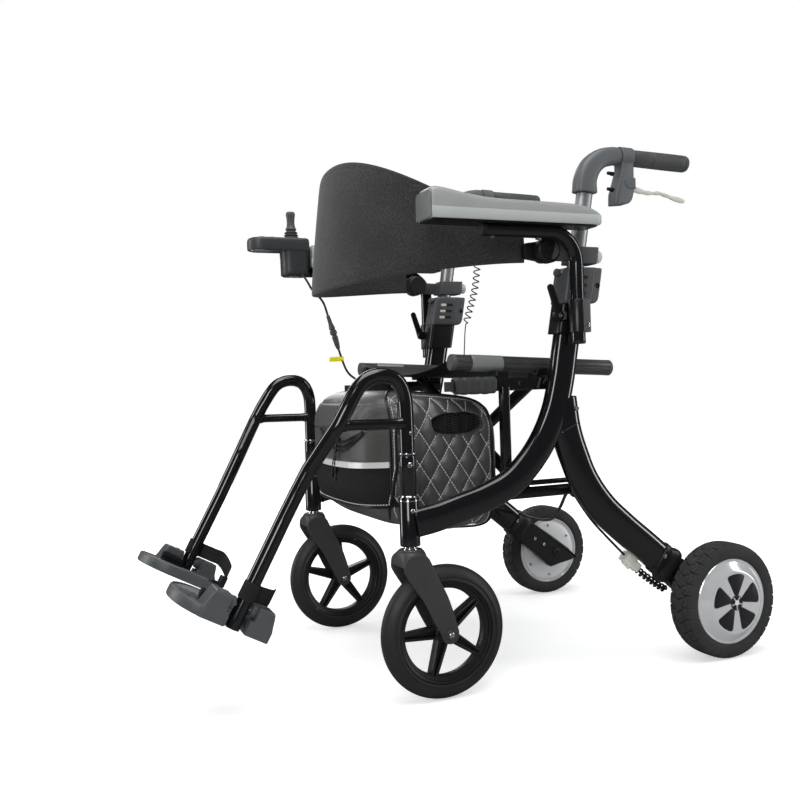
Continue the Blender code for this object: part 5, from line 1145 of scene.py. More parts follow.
pair("clamp_shell", housing(), nylon_dark, "frame", ["clamp_housing"], sharp=38)
# The black of these plugs is painted shade inside the slots.
inner_slots = [slot_shape(z, -0.016, 0.012, -0.0226, -0.0216) for z in SLOT_HEIGHTS]
outer_slots = [slot_shape(z, -0.016, 0.012, 0.0216, 0.0226) for z in SLOT_HEIGHTS]
pair("clamp_slots", together(*inner_slots, *outer_slots), black_and_hole_shade, "frame")
# Pale pieces in each slot's front half: painted light seen through the slot.
seen_through_light = [slot_shape(z, -0.0155, -0.003, side * 0.0221 - 0.0006, side * 0.0221 + 0.0006) for z in SLOT_HEIGHTS
          for side in (-1, 1)]
pair("slot_painted_light", together(*seen_through_light), lever_ivory, "frame")

knob_place = np.array([FRAME_X - 0.004, on_lean(0.637) - 0.0265, 0.637])
knob = facing(turned([(AXIS, -0.004), (0.0062, -0.004), (0.0066, 0.0), (0.0066, 0.005), (0.0054, 0.007),
                      (0.003, 0.008), (AXIS, 0.0082)], 32), knob_place, (0, -1, 0.15))
pair("release_knob", knob, nylon_dark, "frame")
clamp_screws = [facing(button(0.0046, 0.0012, 0.5), (FRAME_X + side * 0.0168, on_lean(0.616) + 0.0355, 0.616),
                       (side, 0, 0)) for side in (-1, 1)]
rivet = facing(button(0.003, 0.0012, 0.3), (FRAME_X + 0.0035, on_lean(0.6385) - 0.0262, 0.6385), (0, -1, 0))
pair("clamp_screws", together(*clamp_screws), black_and_hole_shade, "frame")
pair("clamp_rivet", rivet, chrome, "frame")
print("handles and clamps:", len(made), "pieces")

# %% [markdown]
# ## Armrests
# A bracket clamps round the upright, and a square sleeve beside it holds the armrest's tube by a cam lever.
# The tube rises, bends forward and runs under a long pad. The pad is one loft: its outline in the side view
# is cut into stations along y, and each station is a rounded section whose top, bottom and width follow
# smooth curves.

# %% Brackets
BRACKET_LOW, BRACKET_HIGH = 0.541, 0.5872
SLEEVE_X, SLEEVE_Y = ARMREST_X, 0.2265


def ring_plan(half_width, half_depth, corner):
    """A rectangle with rounded corners round the tube's middle."""
    return rectangle((-half_width, half_width), (-half_depth, half_depth), corner, parts=6)


bracket = lean_block(ring_plan(0.0187, 0.0262, 0.008), BRACKET_LOW, BRACKET_HIGH, 0.0012)
sleeve_plan = rectangle((0.249, 0.2838), (SLEEVE_Y + 0.0015, SLEEVE_Y + 0.015), 0.0022)
sleeve = moulded(sleeve_plan, 0.5405, 0.5915, 0.0012)
shell_profile = [(0.0118, 0.5415), (0.0126, 0.5405), (0.0134, 0.5413), (0.0134, 0.5905), (0.0126, 0.5915),
                 (0.0118, 0.5905)]
shell = moved(turned(shell_profile, 56, loop=True), (SLEEVE_X, SLEEVE_Y - 0.0004, 0))
eye = facing(solid([(0.0075, 0.0), (0.008, 0.0006), (0.008, 0.0062), (0.0074, 0.0068)], 32),
             (0.2465, 0.2035, 0.568), (1, 0, 0))
pair("armrest_socket", together(bracket, eye, shell), satin_black, "frame", ["armrest_bracket"],
     sharp=40)
pair("armrest_sleeve", sleeve, nylon_grey, "frame", sharp=40)
bolt = facing(button(0.0042, 0.0014, 0.42), (0.2838, SLEEVE_Y + 0.008, 0.551), (1, 0, 0))
pair("sleeve_bolt", bolt, chrome, "frame")
wedge = across_block(rounded([(0.2075, 0.562), (0.215, 0.5615), (0.217, 0.571), (0.212, 0.5765),
                              (0.207, 0.5765)], 0.002), 0.25, 0.256, 0.0008)
pair("cam_wedge", wedge, nylon_grey, "frame")
print("height of the bracket:", round(BRACKET_HIGH - BRACKET_LOW, 4))

# %% [markdown]
# The cam lever is a flat bar that is wide at its eye and ends in a rounded thumb, bent a little outwards.

# %% Cam levers
LEVER_LEAN = math.radians(-19.3)
lean_way = np.array([math.sin(LEVER_LEAN), math.cos(LEVER_LEAN)])
side_way = np.array([lean_way[1], -lean_way[0]])
eye_place = np.array([0.2035, 0.568])
thumb = arc((0, 0), 0.0052, 0, 180, 8)
outline = [eye_place - side_way * 0.0072, eye_place + lean_way * 0.014 - side_way * 0.0062,
           *[eye_place + lean_way * 0.046 + side_way * -x + lean_way * y for x, y in thumb],
           eye_place + lean_way * 0.014 + side_way * 0.0056, eye_place + side_way * 0.0072]
outline += [eye_place + 0.0076 * (math.cos(a) * side_way - math.sin(a) * lean_way)
            for a in np.linspace(0.3, math.pi - 0.3, 8)]
cam = across_block(np.array(outline), 0.25225, 0.2569, 0.0012)
pair("cam_lever", cam, satin_black, "armrest_clamp", ["armrest_lever"])
cam_bolt = facing(button(0.0036, 0.0012, 0.45), (0.2571, 0.2035, 0.568), (1, 0, 0))
pair("cam_bolt", cam_bolt, zinc, "armrest_clamp")
print("points of the lever's outline:", len(outline))

# %% [markdown]
# The armrest's tube is straight in its sleeve, bends through a quarter circle and runs level under the pad.
# The bend is an arc, as a bending machine makes it, and both open ends get a plastic cap.

# %% Armrest tubes
ARM_TUBE_Z, BEND = 0.694, 0.047
bend_arc = arc((SLEEVE_Y - BEND, ARM_TUBE_Z - BEND), BEND, 0, 90, 16)
tube_line = [(SLEEVE_Y, 0.525), (SLEEVE_Y, 0.58), *bend_arc, (0.12, ARM_TUBE_Z), (0.063, ARM_TUBE_Z)]
arm_tube = rod(in_plane(tube_line, ARMREST_X), 0.011, 0.001, 40)
pair("armrest_tube_skin", arm_tube, enamel, "armrest", ["armrest_tube"], sharp=50)
end_cap = facing(solid([(0.0098, -0.003), (0.0112, -0.0018), (0.0114, 0.0), (0.0114, 0.003)], 40),
                 (ARMREST_X, 0.063, ARM_TUBE_Z), (0, 1, 0))
foot_cap = facing(solid([(0.0096, -0.0018), (0.011, -0.0006), (0.0112, 0.003)], 40),
                  (ARMREST_X, SLEEVE_Y, 0.525), (0, 0, 1), (0, 1, 0))
pair("armrest_caps", together(end_cap, foot_cap), nylon_black, "armrest")
print("points on the armrest tube:", len(tube_line))

# %% [markdown]
# The cushion's skin is fine-grained vinyl, pale grey and slightly glossy. Its flat nose gets a darker copy of
# the vinyl as painted shade. The band below it gets a paler, smoother copy as a painted highlight: a near-white
# strip.

# %% Vinyl for the pads
VINYL_GRAIN = (0.36, 1500.0, 0.00014, 0.12)
pad_vinyl = grained("pad_vinyl", (0.3, 0.306, 0.302), *VINYL_GRAIN, Coat_Weight=0.25, Coat_Roughness=0.3)
nose_shade_vinyl = grained("pad_nose_painted_shade_vinyl", (0.115, 0.12, 0.12), *VINYL_GRAIN, Coat_Weight=0.2, Coat_Roughness=0.3)
lit_band_vinyl = grained("pad_band_painted_highlight_vinyl", (0.42, 0.44, 0.43), 0.3, 900.0, 0.00006, 0.08, Coat_Weight=0.3,
                     Coat_Roughness=0.15)
print("vinyls:", pad_vinyl.name, nose_shade_vinyl.name, lit_band_vinyl.name)

# %% [markdown]
# The pad is moulded foam with a skin: a crowned top, straight sides and a band along its lower edge, painted
# paler as a highlight. A black plate below it carries the screws. The band and the nose are separate strips,
# because their painted highlight and painted shade change at sharp lines.

# %% Pads
PAD_TOP = np.array([(-0.03, 0.735), (-0.029, 0.743), (-0.0255, 0.7472), (-0.018, 0.7488), (0.0, 0.7464),
                    (0.026, 0.7418), (0.065, 0.7372), (0.104, 0.736), (0.15, 0.7358), (0.203, 0.735),
                    (0.225, 0.7335), (0.24, 0.73), (0.25, 0.7255), (0.257, 0.7195), (0.26, 0.713)])


def pad_section(y, top, low, half):
    """One closed section of the pad: flat below, upright at the sides and crowned above."""
    across = np.sin(np.linspace(-1, 1, 25) * np.pi / 2)
    tall = top - low
    up = low + tall * (1 - np.clip(np.abs(across), 0, 1) ** 7) ** 0.32
    upper = np.column_stack([half * across, up])
    under = np.column_stack([half * np.linspace(1, -1, 9)[1:-1] * 0.985, np.full(7, low)])
    shape = np.vstack([upper, under])
    return np.column_stack([ARMREST_X + shape[:, 0], np.full(len(shape), y), shape[:, 1]])


def pad():
    """Stations along y: the ends are drawn in by a quarter circle, so that both ends are rounded in plan."""
    y = np.concatenate([-0.03 + 0.006 * (1 - np.cos(np.linspace(0.15, np.pi / 2, 6))),
                        np.linspace(-0.018, 0.245, 30),
                        0.2605 - 0.01 * (1 - np.cos(np.linspace(np.pi / 2, 0.15, 7)))])
    top = np.interp(y, *evenly(smooth(PAD_TOP, 6), 160).T)
    low = np.interp(y, [-0.03, 0.26], [0.718, 0.7175])
    end = np.minimum((y + 0.0302) / 0.006, (0.2607 - y) / 0.01)
    half = 0.025 - 0.0055 * (1 - np.sqrt(1 - (1 - np.clip(end, 0, 1)) ** 2))
    return skin(np.array([pad_section(*values) for values in zip(y, top, low, half)]))


def pad_base(low_front, low_rear, high_front, high_rear, grow, start, end):
    """The band or the plate below the pad: a rounded plan between two sloping levels."""
    plan = rectangle((-0.025 - grow, 0.025 + grow), (start, end), [0.004, 0.004, 0.01, 0.01], parts=6)
    levels = []
    for share, inset in ((0.0, 0.0022), (0.08, 0.001), (0.2, 0.0), (0.9, 0.0), (1.0, 0.0008)):
        shape = inset_outline(plan, inset)
        run = (shape[:, 1] - start) / (end - start)
        low = low_front + (low_rear - low_front) * run
        high = high_front + (high_rear - high_front) * run
        levels.append(np.column_stack([ARMREST_X + shape[:, 0], shape[:, 1], low + (high - low) * share]))
    return skin(np.array(levels))


pads = pair("pad_cushion", pad(), pad_vinyl, "armrest", ["armrest_pad"], sharp=60)
band = pad_base(0.703, 0.704, 0.719, 0.7185, 0.0006, -0.0306, 0.261)
# The band's paler vinyl is a painted highlight along the pad's side.
pair("pad_band", band, lit_band_vinyl, "armrest", sharp=45)
plate = pad_base(0.7, 0.7012, 0.7036, 0.7044, -0.004, -0.029, 0.256)
tongue = moulded(rectangle((ARMREST_X - 0.015, ARMREST_X + 0.015), (-0.028, 0.248), 0.006), 0.703, 0.7046,
                 0.0005)
pair("pad_plate", together(plate, tongue), satin_black, "armrest", sharp=45)
pad_screws = [facing(button(0.0034, 0.0022, 0.4), (ARMREST_X, y, ARM_TUBE_Z - 0.0112), (0, 0, -1), (0, 1, 0))
              for y in (0.08, 0.158)]
pair("pad_screws", together(*pad_screws), nylon_dark, "armrest")
# The nose's darker vinyl is painted shade on the pad's front face.
nose_plan = rounded([(ARMREST_X - 0.0254, 0.7034), (ARMREST_X + 0.0254, 0.7034), (ARMREST_X + 0.0248, 0.742),
                     (ARMREST_X - 0.0248, 0.742)], [0.002, 0.002, 0.009, 0.009])
pair("pad_nose", side_block(nose_plan, -0.0316, -0.0296, 0.0007), nose_shade_vinyl, "armrest",
     sharp=45)
print("armrests:", len(made), "pieces")

# %% [markdown]
# ## Backrest pivots
# A collar clamps above the height clamp, with a knurled knob behind it, and its front arm ends in a round
# disc. The backrest's own arm turns inside that disc on a hex bolt.

# %% Collars and knobs
COLLAR_LOW, COLLAR_HIGH = 0.65, 0.677
BACK_Y, BACK_Z = 0.189, 0.669
collar_block = lean_block(rectangle((-0.016, 0.016), (-0.0185, 0.032), [0.005, 0.005, 0.006, 0.006], parts=6),
                          COLLAR_LOW, COLLAR_HIGH, 0.0018)
DISC_LOW, DISC_HIGH = 0.2405, 0.2565
arm_outline = np.array([(BACK_Y, 0.6535), (0.245, 0.653), (0.245, 0.674), (0.215, 0.6755),
                        (BACK_Y + 0.01, 0.686)])
link = across_block(rounded(arm_outline, 0.003), DISC_LOW + 0.0006, DISC_HIGH - 0.0006, 0.002)
disc = facing(solid([(0.0188, DISC_LOW), (0.02, DISC_LOW + 0.0012), (0.02, DISC_HIGH - 0.0022),
                     (0.0188, DISC_HIGH - 0.0006), (0.0165, DISC_HIGH), (0.0158, DISC_HIGH - 0.0007),
                     (0.01, DISC_HIGH - 0.0007)], 64), (0, BACK_Y, BACK_Z), (1, 0, 0))
pair("backrest_collar_block", together(collar_block, link), nylon_dark, "frame",
     ["backrest_collar"], sharp=40)
pair("pivot_disc", disc, nylon_black, "frame", sharp=40)
hex_head = facing(solid([(0.0022, 0.0004), (0.0024, 0.0022), (0.0048, 0.0026), (0.0058, 0.0018),
                         (0.006, -0.001)], 6), (DISC_HIGH, BACK_Y, BACK_Z), (1, 0, 0))
pair("pivot_bolt", hex_head, satin_black, "frame", sharp=25)

knob_angle = np.linspace(0, 2 * np.pi, 96, endpoint=False)
knob_profile = np.array([(0.006, -0.004), (0.006, 0.001), (0.0088, 0.0014), (0.0098, 0.0024), (0.0098, 0.0098),
                         (0.0088, 0.0112), (0.007, 0.0116), (0.0062, 0.0108), (0.0052, 0.0112), (0.003, 0.0118),
                         (1e-4, 0.0119)])
knurl = np.where(knob_profile[:, 0] > 0.0085, 1.0, 0.0)[:,
                                                        None] * 0.00035 * np.sign(np.cos(knob_angle * 16))[None]
radius = knob_profile[:, :1] + knurl
knob = skin(np.stack([radius * np.cos(knob_angle), radius * np.sin(knob_angle), knob_profile[:, 1:]
                      + 0 * knob_angle], axis=-1))
knob_place = (FRAME_X, on_lean(0.6635) + 0.0322, 0.6635)
pale_knob = grained("pale_knob", (0.6, 0.61, 0.6), 0.36, 700.0, 0.00006, 0.06)
pair("collar_knob", facing(knob, knob_place, (0, 1, 0)), pale_knob, "frame")
print("rings of the knob:", len(knob_profile))

# %% [markdown]
# The backrest's arm is an eye on the pivot's disc, with a tongue that reaches into the band's end. It rides
# on the band's own body, so that both flip together.

# %% Backrest arms
ARM_LOW, ARM_HIGH = 0.227, 0.24
eye = facing(solid([(0.0168, ARM_LOW), (0.018, ARM_LOW + 0.001), (0.018, ARM_HIGH - 0.001), (0.017, ARM_HIGH)],
                   56), (0, BACK_Y, BACK_Z), (1, 0, 0))
tongue_outline = rounded([(BACK_Y - 0.035, BACK_Z - 0.0115), (BACK_Y, BACK_Z - 0.0165),
                          (BACK_Y, BACK_Z + 0.0165), (BACK_Y - 0.035, BACK_Z + 0.0115)], 0.004)
pair("backrest_eye", together(eye, across_block(tongue_outline, ARM_LOW + 0.001, ARM_HIGH - 0.001, 0.0015)),
     nylon_black, "backrest", ["backrest_arm"])
print("pivots:", len(made), "pieces")

# %% [markdown]
# ## Footrests
# A hanger is one bent tube: a peg in the post, a loop over the top and a long straight leg, braced by a
# crossbar. The leg bends a little inwards, so its line is a spatial curve through the bend points, thinned to
# even steps. Each weld is a small collar that swells from the crossbar onto the tube.

# %% Hangers
HANGER_RADIUS, CROSSBAR_Z = 0.011, 0.4125
KNEE = np.array([0.229, -0.1558, 0.4141])
BENDS = np.array([(0.206, -0.194, 0.352), (0.1986, -0.232, 0.283)])
FOOT = np.array([0.1986, -0.311, 0.14])
over = [(POST_X, POST_Y + y, z) for y, z in ((0.0, 0.425), (-0.002, 0.455), (-0.014, 0.477), (-0.0395, 0.4845),
                                             (-0.064, 0.476), (-0.082, 0.455))]
loop_line = np.vstack([[(POST_X, POST_Y, 0.33), (POST_X, POST_Y, 0.39)],
                       smooth(np.vstack([over, [KNEE], BENDS]), 2), [FOOT]])
hanger_path, hanger_inset = round_ends(smooth(evenly(loop_line, 60)[:-1], 2), 0.0008)
hanger_path[-5:] += FOOT - hanger_path[-1]
hanger = skin(carried(hanger_path, oval(1, 1, sides=40), (1, 0, 0), HANGER_RADIUS - hanger_inset))
ferrule = moved(solid([(0.0118, 0.3052), (0.0125, 0.306), (0.0125, 0.3625), (0.0121, 0.3652), (0.0112, 0.366)],
                      48), (POST_X, POST_Y, 0))
peg = moved(solid([(0.0085, 0.233), (0.0095, 0.2345), (0.0095, 0.306)], 32), (POST_X, POST_Y, 0))


def weld_bar(start, end, radius, flare, reach):
    """A bar whose radius grows towards both ends: radius + flare * exp(-distance / reach)."""
    start, end = np.asarray(start, float), np.asarray(end, float)
    length = np.linalg.norm(end - start)
    run = length * (0.5 - 0.5 * np.cos(np.linspace(0, np.pi, 41)))
    path = start + (end - start) * (run / length)[:, None]
    swell = np.exp(-np.maximum(run - 0.011, 0) / reach) + np.exp(-np.maximum(length - run - 0.011, 0) / reach)
    return skin(carried(path, oval(1, 1, sides=28), (1, 0, 0), radius + flare * swell))


crossbar = weld_bar((POST_X, POST_Y, CROSSBAR_Z), KNEE, 0.0078, 0.0018, 0.0022)
pair("hanger_loop", together(hanger, ferrule, peg, crossbar), enamel, "hanger",
     ["footrest_hanger"], sharp=50)
print("stations of the hanger:", len(hanger_path))

# %% [markdown]
# Two bright things mark the joint with the post: a polished sleeve edge where the peg goes in, and a latch
# bolt.

# %% Latch and marks
ring_bright = moved(turned([(0.0118, 0.3668), (0.0129, 0.3672), (0.0131, 0.3682), (0.0129, 0.369),
                            (0.0118, 0.3694)], 48, loop=True), (POST_X, POST_Y, 0))
latch = facing(button(0.0042, 0.0022, 0.45), (POST_X + 0.0124, POST_Y - 0.002, 0.352), (1, -0.15, 0))
clip = facing(button(0.0026, 0.0016, 0.3), (POST_X + 0.0108, POST_Y + 0.001, 0.398), (1, 0, 0))
pair("hanger_marks", together(ring_bright, latch, clip), chrome, "hanger")
print("hangers:", len(made), "pieces")

# %% [markdown]
# ## Footplates
# A footplate is drawn in its own axes: x inwards from the tube, y towards the toe and z up the tube. Its edge
# is a rolled moulding, so its rings go round the outline: the side wall, the rounded rim, and the top, which
# lies a little below the rim. The outline has a notch at the outer heel corner, where the tube passes. A
# second, paler piece is a grid over the top's middle, whose height carries the tread of nested chevrons.

# %% The footplate's own axes
along = (BENDS[-1] - FOOT) / np.linalg.norm(BENDS[-1] - FOOT)
toe = np.array([0.0, -along[2], along[1]])
toe /= np.linalg.norm(toe)
tilt = np.array(Matrix.Rotation(math.radians(-2.5), 3, Vector(toe)))
inward = tilt @ np.cross(toe, along)
PLATE_AXES = np.array([inward, toe, tilt @ along])
HINGE_Z = 0.033


def on_plate(shape):
    """A shape drawn in the footplate's axes, put in its place: points times rows of axes."""
    points, faces = shape
    return outward(points @ PLATE_AXES + FOOT, faces)


PLATE_OUTER, PLATE_INNER = -0.014, 0.115
half_toe = (PLATE_INNER - PLATE_OUTER) / 2
toe_curve = arc((0, 0), 1.0, 0, 180, 28) * (half_toe, 0.05) + (PLATE_INNER - half_toe, 0.042)
SLOT_X, SLOT_Y = 0.0205, 0.015
heel_curve = [(SLOT_X, -0.053), (0.093, -0.053), (0.101, -0.0515), (0.108, -0.0465), (0.113, -0.04),
              (PLATE_INNER, -0.032)]
slot = [(PLATE_OUTER, SLOT_Y + 0.001), (-0.0135, SLOT_Y), (SLOT_X - 0.001, SLOT_Y), (SLOT_X, SLOT_Y - 0.001)]
sides = [np.vstack([np.linspace((PLATE_OUTER, 0.042), slot[0], 6)[1:-1], slot]),
         np.linspace((PLATE_INNER, -0.032), (PLATE_INNER, 0.042), 9)[1:-1]]
plate_line = np.vstack([toe_curve, sides[0], heel_curve, sides[1]])


def plate_dish():
    """Rings from the middle of the underside out, up the wall, over the rim and in to the edge of the tread."""
    steps = [(0.6, 0.0), (0.1, 0.0), (0.045, 0.0002), (0.012, 0.0012), (0.0, 0.004), (0.0, 0.0125),
             (0.006, 0.0148), (0.018, 0.0161), (0.035, 0.0164), (0.052, 0.0161), (0.064, 0.015),
             (0.072, 0.0147), (0.09, 0.0147), (0.6, 0.0147)]
    return drawn_in(plate_line, np.array([0.06, 0.035]), steps)


def tread():
    """A grid over the top, raised by 0.9 mm times a chevron wave: |x - middle| - y makes nested arrows."""
    x, y = np.meshgrid(np.linspace(0.0285, 0.104, 96), np.linspace(-0.04, 0.078, 150), indexing="ij")
    run = (np.abs(x - 0.066) * 1.25 - y) / 0.0105
    wave = np.clip(np.cos(2 * np.pi * run) * 2.2, -1, 1)
    inner = np.clip((0.99 - ((x - 0.0505) / 0.0595) ** 2 - (np.maximum(y - 0.034, 0) / 0.05) ** 2) * 9, 0, 1)
    z = 0.015 + 0.0009 * wave * inner - 0.0016 * (1 - inner)
    top = np.stack([x, y, z], axis=-1)
    base = np.stack([x, y, np.full_like(x, 0.0105)], axis=-1)
    return panel(top, base)


plate_look = grained("footplate_nylon", (0.068, 0.074, 0.078), 0.42, 700.0, 0.00012, 0.12)
tread_look = grained("footplate_tread", (0.115, 0.121, 0.124), 0.46, 700.0, 0.0001, 0.1)
pair("footplate_tread", on_plate(tread()), tread_look, "plate", sharp=30)
pair("footplate_dish", on_plate(plate_dish()), plate_look, "plate", ["footplate"], sharp=40)
print("footplate axes:", PLATE_AXES.round(3).tolist())

# %% [markdown]
# The two hinge blocks rise from the outer edge with a fillet, and each ends in a knuckle round the hinge pin.
# A block is a loft along y: at every station its profile is a bell that grows out of the plate.

# %% Hinge blocks
def hinge_block(start, end, low_end):
    """Rings along y from the tube outwards: a shelf below the knuckle, the full height, then an S down."""
    shelf = [0, 0.049 / abs(end - start) * 0.1, 0.0502 / abs(end - start) * 0.1]
    share = np.concatenate([shelf, np.linspace(0.17, 1, 28)])
    y = start + (end - start) * share
    fall = np.clip((share - 0.76) / 0.24, 0, 1)
    height = 0.0425 - (0.0425 - low_end) * fall**2 * (3 - 2 * fall)
    height = np.where(np.abs(y - start) < 0.005, 0.0215, height)
    tuck = 0.005 * (1 - np.sqrt(1 - np.clip((share - 0.88) / 0.13, 0, 1) ** 2))
    rings = []
    for place, top, inset in zip(y, height, tuck):
        profile = rounded([(inset - 0.0142, 0.0004), (0.03, 0.0004), (0.0262, min(0.02, top - 0.002)),
                           (0.0255, top), (inset - 0.0142, top)], [0.0008, 0.002, 0.004, 0.004, 0.004], 6)
        rings.append(np.column_stack([profile[:, 0], np.full(len(profile), place), profile[:, 1]]))
    return skin(rings)


knuckle_profile = [(AXIS, 0.0), (0.0088, 0.0), (0.0098, 0.001), (0.0098, 0.0092), (0.0108, 0.0102),
                   (0.0108, 0.015), (AXIS, 0.015)]
toe_knuckle = facing(turned(knuckle_profile, 40), (0.0, 0.0132, HINGE_Z), (0, 1, 0))
heel_knuckle = facing(turned(knuckle_profile[:4] + [(0.0092, 0.01), (AXIS, 0.01)], 40), (0.0, -0.0132, HINGE_Z),
                      (0, -1, 0))
pin = facing(solid([(0.0034, 0.0), (0.0034, 0.0425)], 24), (0.0, -0.0212, HINGE_Z), (0, 1, 0))
blocks = together(hinge_block(0.0165, 0.056, 0.015), hinge_block(-0.0165, -0.0532, 0.0185), toe_knuckle,
                  heel_knuckle)
pair("plate_hinge", on_plate(blocks), plate_look, "plate", sharp=42)
pair("plate_pin", on_plate(pin), zinc, "plate")
print("faces of the hinge blocks:", len(blocks[1]))

# %% [markdown]
# On the inner side a round bar carries the strap's buckle end. It is black, so it stands out against the grey
# plate.

# %% Hinge bars
bar = facing(solid([(0.0062, 0.0), (0.0072, 0.001), (0.0072, 0.033), (0.0062, 0.034)], 32),
             (0.0345, 0.02, 0.0245), (0, 1, 0))
foot_bar = moulded(rectangle((0.029, 0.04), (0.021, 0.052), 0.003), 0.015, 0.025, 0.001)
lug = moulded(rectangle((0.027, 0.04), (0.014, 0.0225), 0.003), 0.015, 0.03, 0.002)
pair("plate_bar", on_plate(together(bar, foot_bar, lug)), satin_black, "plate", sharp=40)
print("footplates:", len(made), "pieces so far")

# %% [markdown]
# The heel strap is flat webbing, so it is modelled directly: a ribbon along the strap's line, with fine ribs
# across. A sleeve of the same webbing goes round the tube, and the strap ends in a moulded buckle on the
# plate.

# %% Heel straps
strap_line = np.array([(0.0, -0.0125, 0.056), (0.012, -0.034, 0.0565), (0.037, -0.046, 0.056),
                       (0.075, -0.055, 0.042), (0.105, -0.046, 0.03)])


def ribbon():
    """A thin ribbon on edge: rings of a flat oval whose half thickness ripples along the strap by the ribs."""
    line = evenly(smooth(strap_line, 12), 150)
    run = np.gradient(line, axis=0)
    face = np.stack([-run[:, 1], run[:, 0], 0 * run[:, 0]], axis=1)
    face /= np.linalg.norm(face, axis=1)[:, None]
    shape = oval(0.0009, 0.0122, 8, 28)
    thick = 1 + 0.16 * np.cos(np.arange(150) * 2 * np.pi / 3)
    tall = np.array([0.0, 0.0, 1.0])
    return skin(line[:, None] + face[:, None] * (thick[:, None] * shape[:, 0])[..., None]
                + tall * shape[:, 1][None, :, None])


sleeve_profile = [(0.0115, 0.0), (0.0128, 0.0004)]
sleeve_profile += [(0.01305 + 0.00022 * math.cos(step * math.pi), 0.0012 + 0.00075 * step)
                   for step in range(32)]
sleeve_profile += [(0.0128, 0.0252), (0.0115, 0.0256)]
sleeve_shape = moved(turned(sleeve_profile, 48, loop=True), (0.0, 0.0, 0.0432))
webbing = grained("black_webbing", (0.014, 0.014, 0.015), 0.78, 900.0, 0.0003, 0.35, Specular_IOR_Level=0.25)
pair("strap_webbing", on_plate(together(ribbon(), sleeve_shape)), webbing, "plate", ["heel_strap"],
     sharp=60)
buckle_block = together(moulded(rounded([(0.0925, -0.053), (0.112, -0.049), (0.112, -0.0375), (0.0925, -0.039)],
                                        0.0025), 0.015, 0.0335, 0.0016),
                        moulded(rounded([(0.096, -0.042), (0.11, -0.04), (0.11, -0.023), (0.096, -0.023)],
                                        0.003), 0.015, 0.0215, 0.0012))
pair("strap_buckle", on_plate(buckle_block), nylon_black, "plate", sharp=40)
print("footrests:", len(made), "pieces")

# %% [markdown]
# ## Seat rails and sling
# The seat hangs between two fluted rails. A rail is one skin whose radius has eight flat flutes round it,
# and a paler sleeve sits on it near the front, where the rail drops into its saddle.

# %% Seat rails
RAIL_FRONT, RAIL_REAR = np.array([RAIL_X, 0.043, 0.501]), np.array([RAIL_X, 0.339, 0.486])
RAIL_WAY = (RAIL_REAR - RAIL_FRONT) / np.linalg.norm(RAIL_REAR - RAIL_FRONT)


def fluted(start, end, radius, depth, flutes, sides=96):
    """A round bar whose radius is less in narrow grooves: cos(flutes * angle) raised to a high power."""
    angle = 2 * np.pi * np.arange(sides) / sides
    groove = 1 - depth * np.clip(np.cos(flutes * angle), 0, 1) ** 6
    outline = np.stack([np.cos(angle), np.sin(angle)], axis=1) * groove[:, None]
    path, inset = round_ends(np.linspace(start, end, 6), 0.001)
    return skin(carried(path, outline, (1, 0, 0), radius - inset))


def on_rail(distance):
    """The rail's middle at a distance behind its front end."""
    return RAIL_FRONT + RAIL_WAY * distance


rail_bar = fluted(on_rail(0.004), on_rail(0.292), 0.0128, 0.09, 8)
cap = facing(solid([(0.0098, -0.0002), (0.0104, 0.0002), (0.0106, 0.001), (0.0112, 0.0008), (0.0122, 0.0),
                    (0.0129, 0.001), (0.013, 0.006)], 56), on_rail(0.0), RAIL_WAY)
rear_cap = facing(solid([(0.012, 0.0), (0.0129, -0.001), (0.013, -0.006)], 56), on_rail(0.2963), RAIL_WAY)
rail_sleeve = tube([on_rail(0.033), on_rail(0.06), on_rail(0.088)], 0.0133, 56, 0.0005)
rail_look = grained("rail_black", (0.05, 0.05, 0.051), 0.3, 600.0, 0.00005, 0.2)
cap_look = grained("rail_cap_grey", (0.075, 0.077, 0.08), 0.45, 700.0, 0.0001, 0.12)
sleeve_look = grained("rail_sleeve_grey", (0.3, 0.31, 0.31), 0.32, 500.0, 0.00004, 0.06, 0.4, (1, 0.1, 1))
for side, body, mirror in (("left", "cross_b", lambda shape: shape), ("right", "cross_a", mirrored)):
    piece(side + "_rail_bar", mirror(rail_bar), rail_look, body, [side + "_seat_rail"], sharp=25)
    piece(side + "_rail_caps", mirror(together(cap, rear_cap)), cap_look, body, sharp=30)
    piece(side + "_rail_sleeve", mirror(rail_sleeve), sleeve_look, body, sharp=30)
print("length of a seat rail:", round(float(np.linalg.norm(RAIL_REAR - RAIL_FRONT)), 4))

# %% [markdown]
# The sling is one black sheet that hangs between both rails. Across, it dips as 1 - x^2, so the sheet looks
# stretched by its own hem. It is a panel between two grids of points, 2.6 mm apart. It is made on a rail's
# body and then set free of it, with its place baked into its mesh.

# %% Seat sling
def sling():
    """Stations along the rails. Across, the sheet sags 21.5 mm as 1 - x^2, with a faint ripple along y."""
    across = np.sin(np.linspace(-1, 1, 61) * np.pi / 2)
    run = np.linspace(0.007, 0.289, 60)
    x = 0.1788 * across
    base = RAIL_FRONT[2] + RAIL_WAY[2] * run
    y = RAIL_FRONT[1] + RAIL_WAY[1] * run
    sag = 0.0055 - 0.0215 * (1 - across**2)
    dip = sag[None] + (0.001 * np.sin(y * 60)[:, None] * (1 - across**2)[None])
    end = np.minimum(run - 0.007, 0.289 - run)
    half = 0.0013 * np.sqrt(np.clip(1 - (1 - np.clip(end / 0.002, 0, 1)) ** 2, 0.05, 1))
    middle = np.stack([x[None] + 0 * base[:, None], y[:, None] + 0 * x[None], base[:, None] + dip], axis=-1)
    step = np.array([0.0, 0.0, 1.0]) * half[:, None, None]
    return panel(middle + step, middle - step)


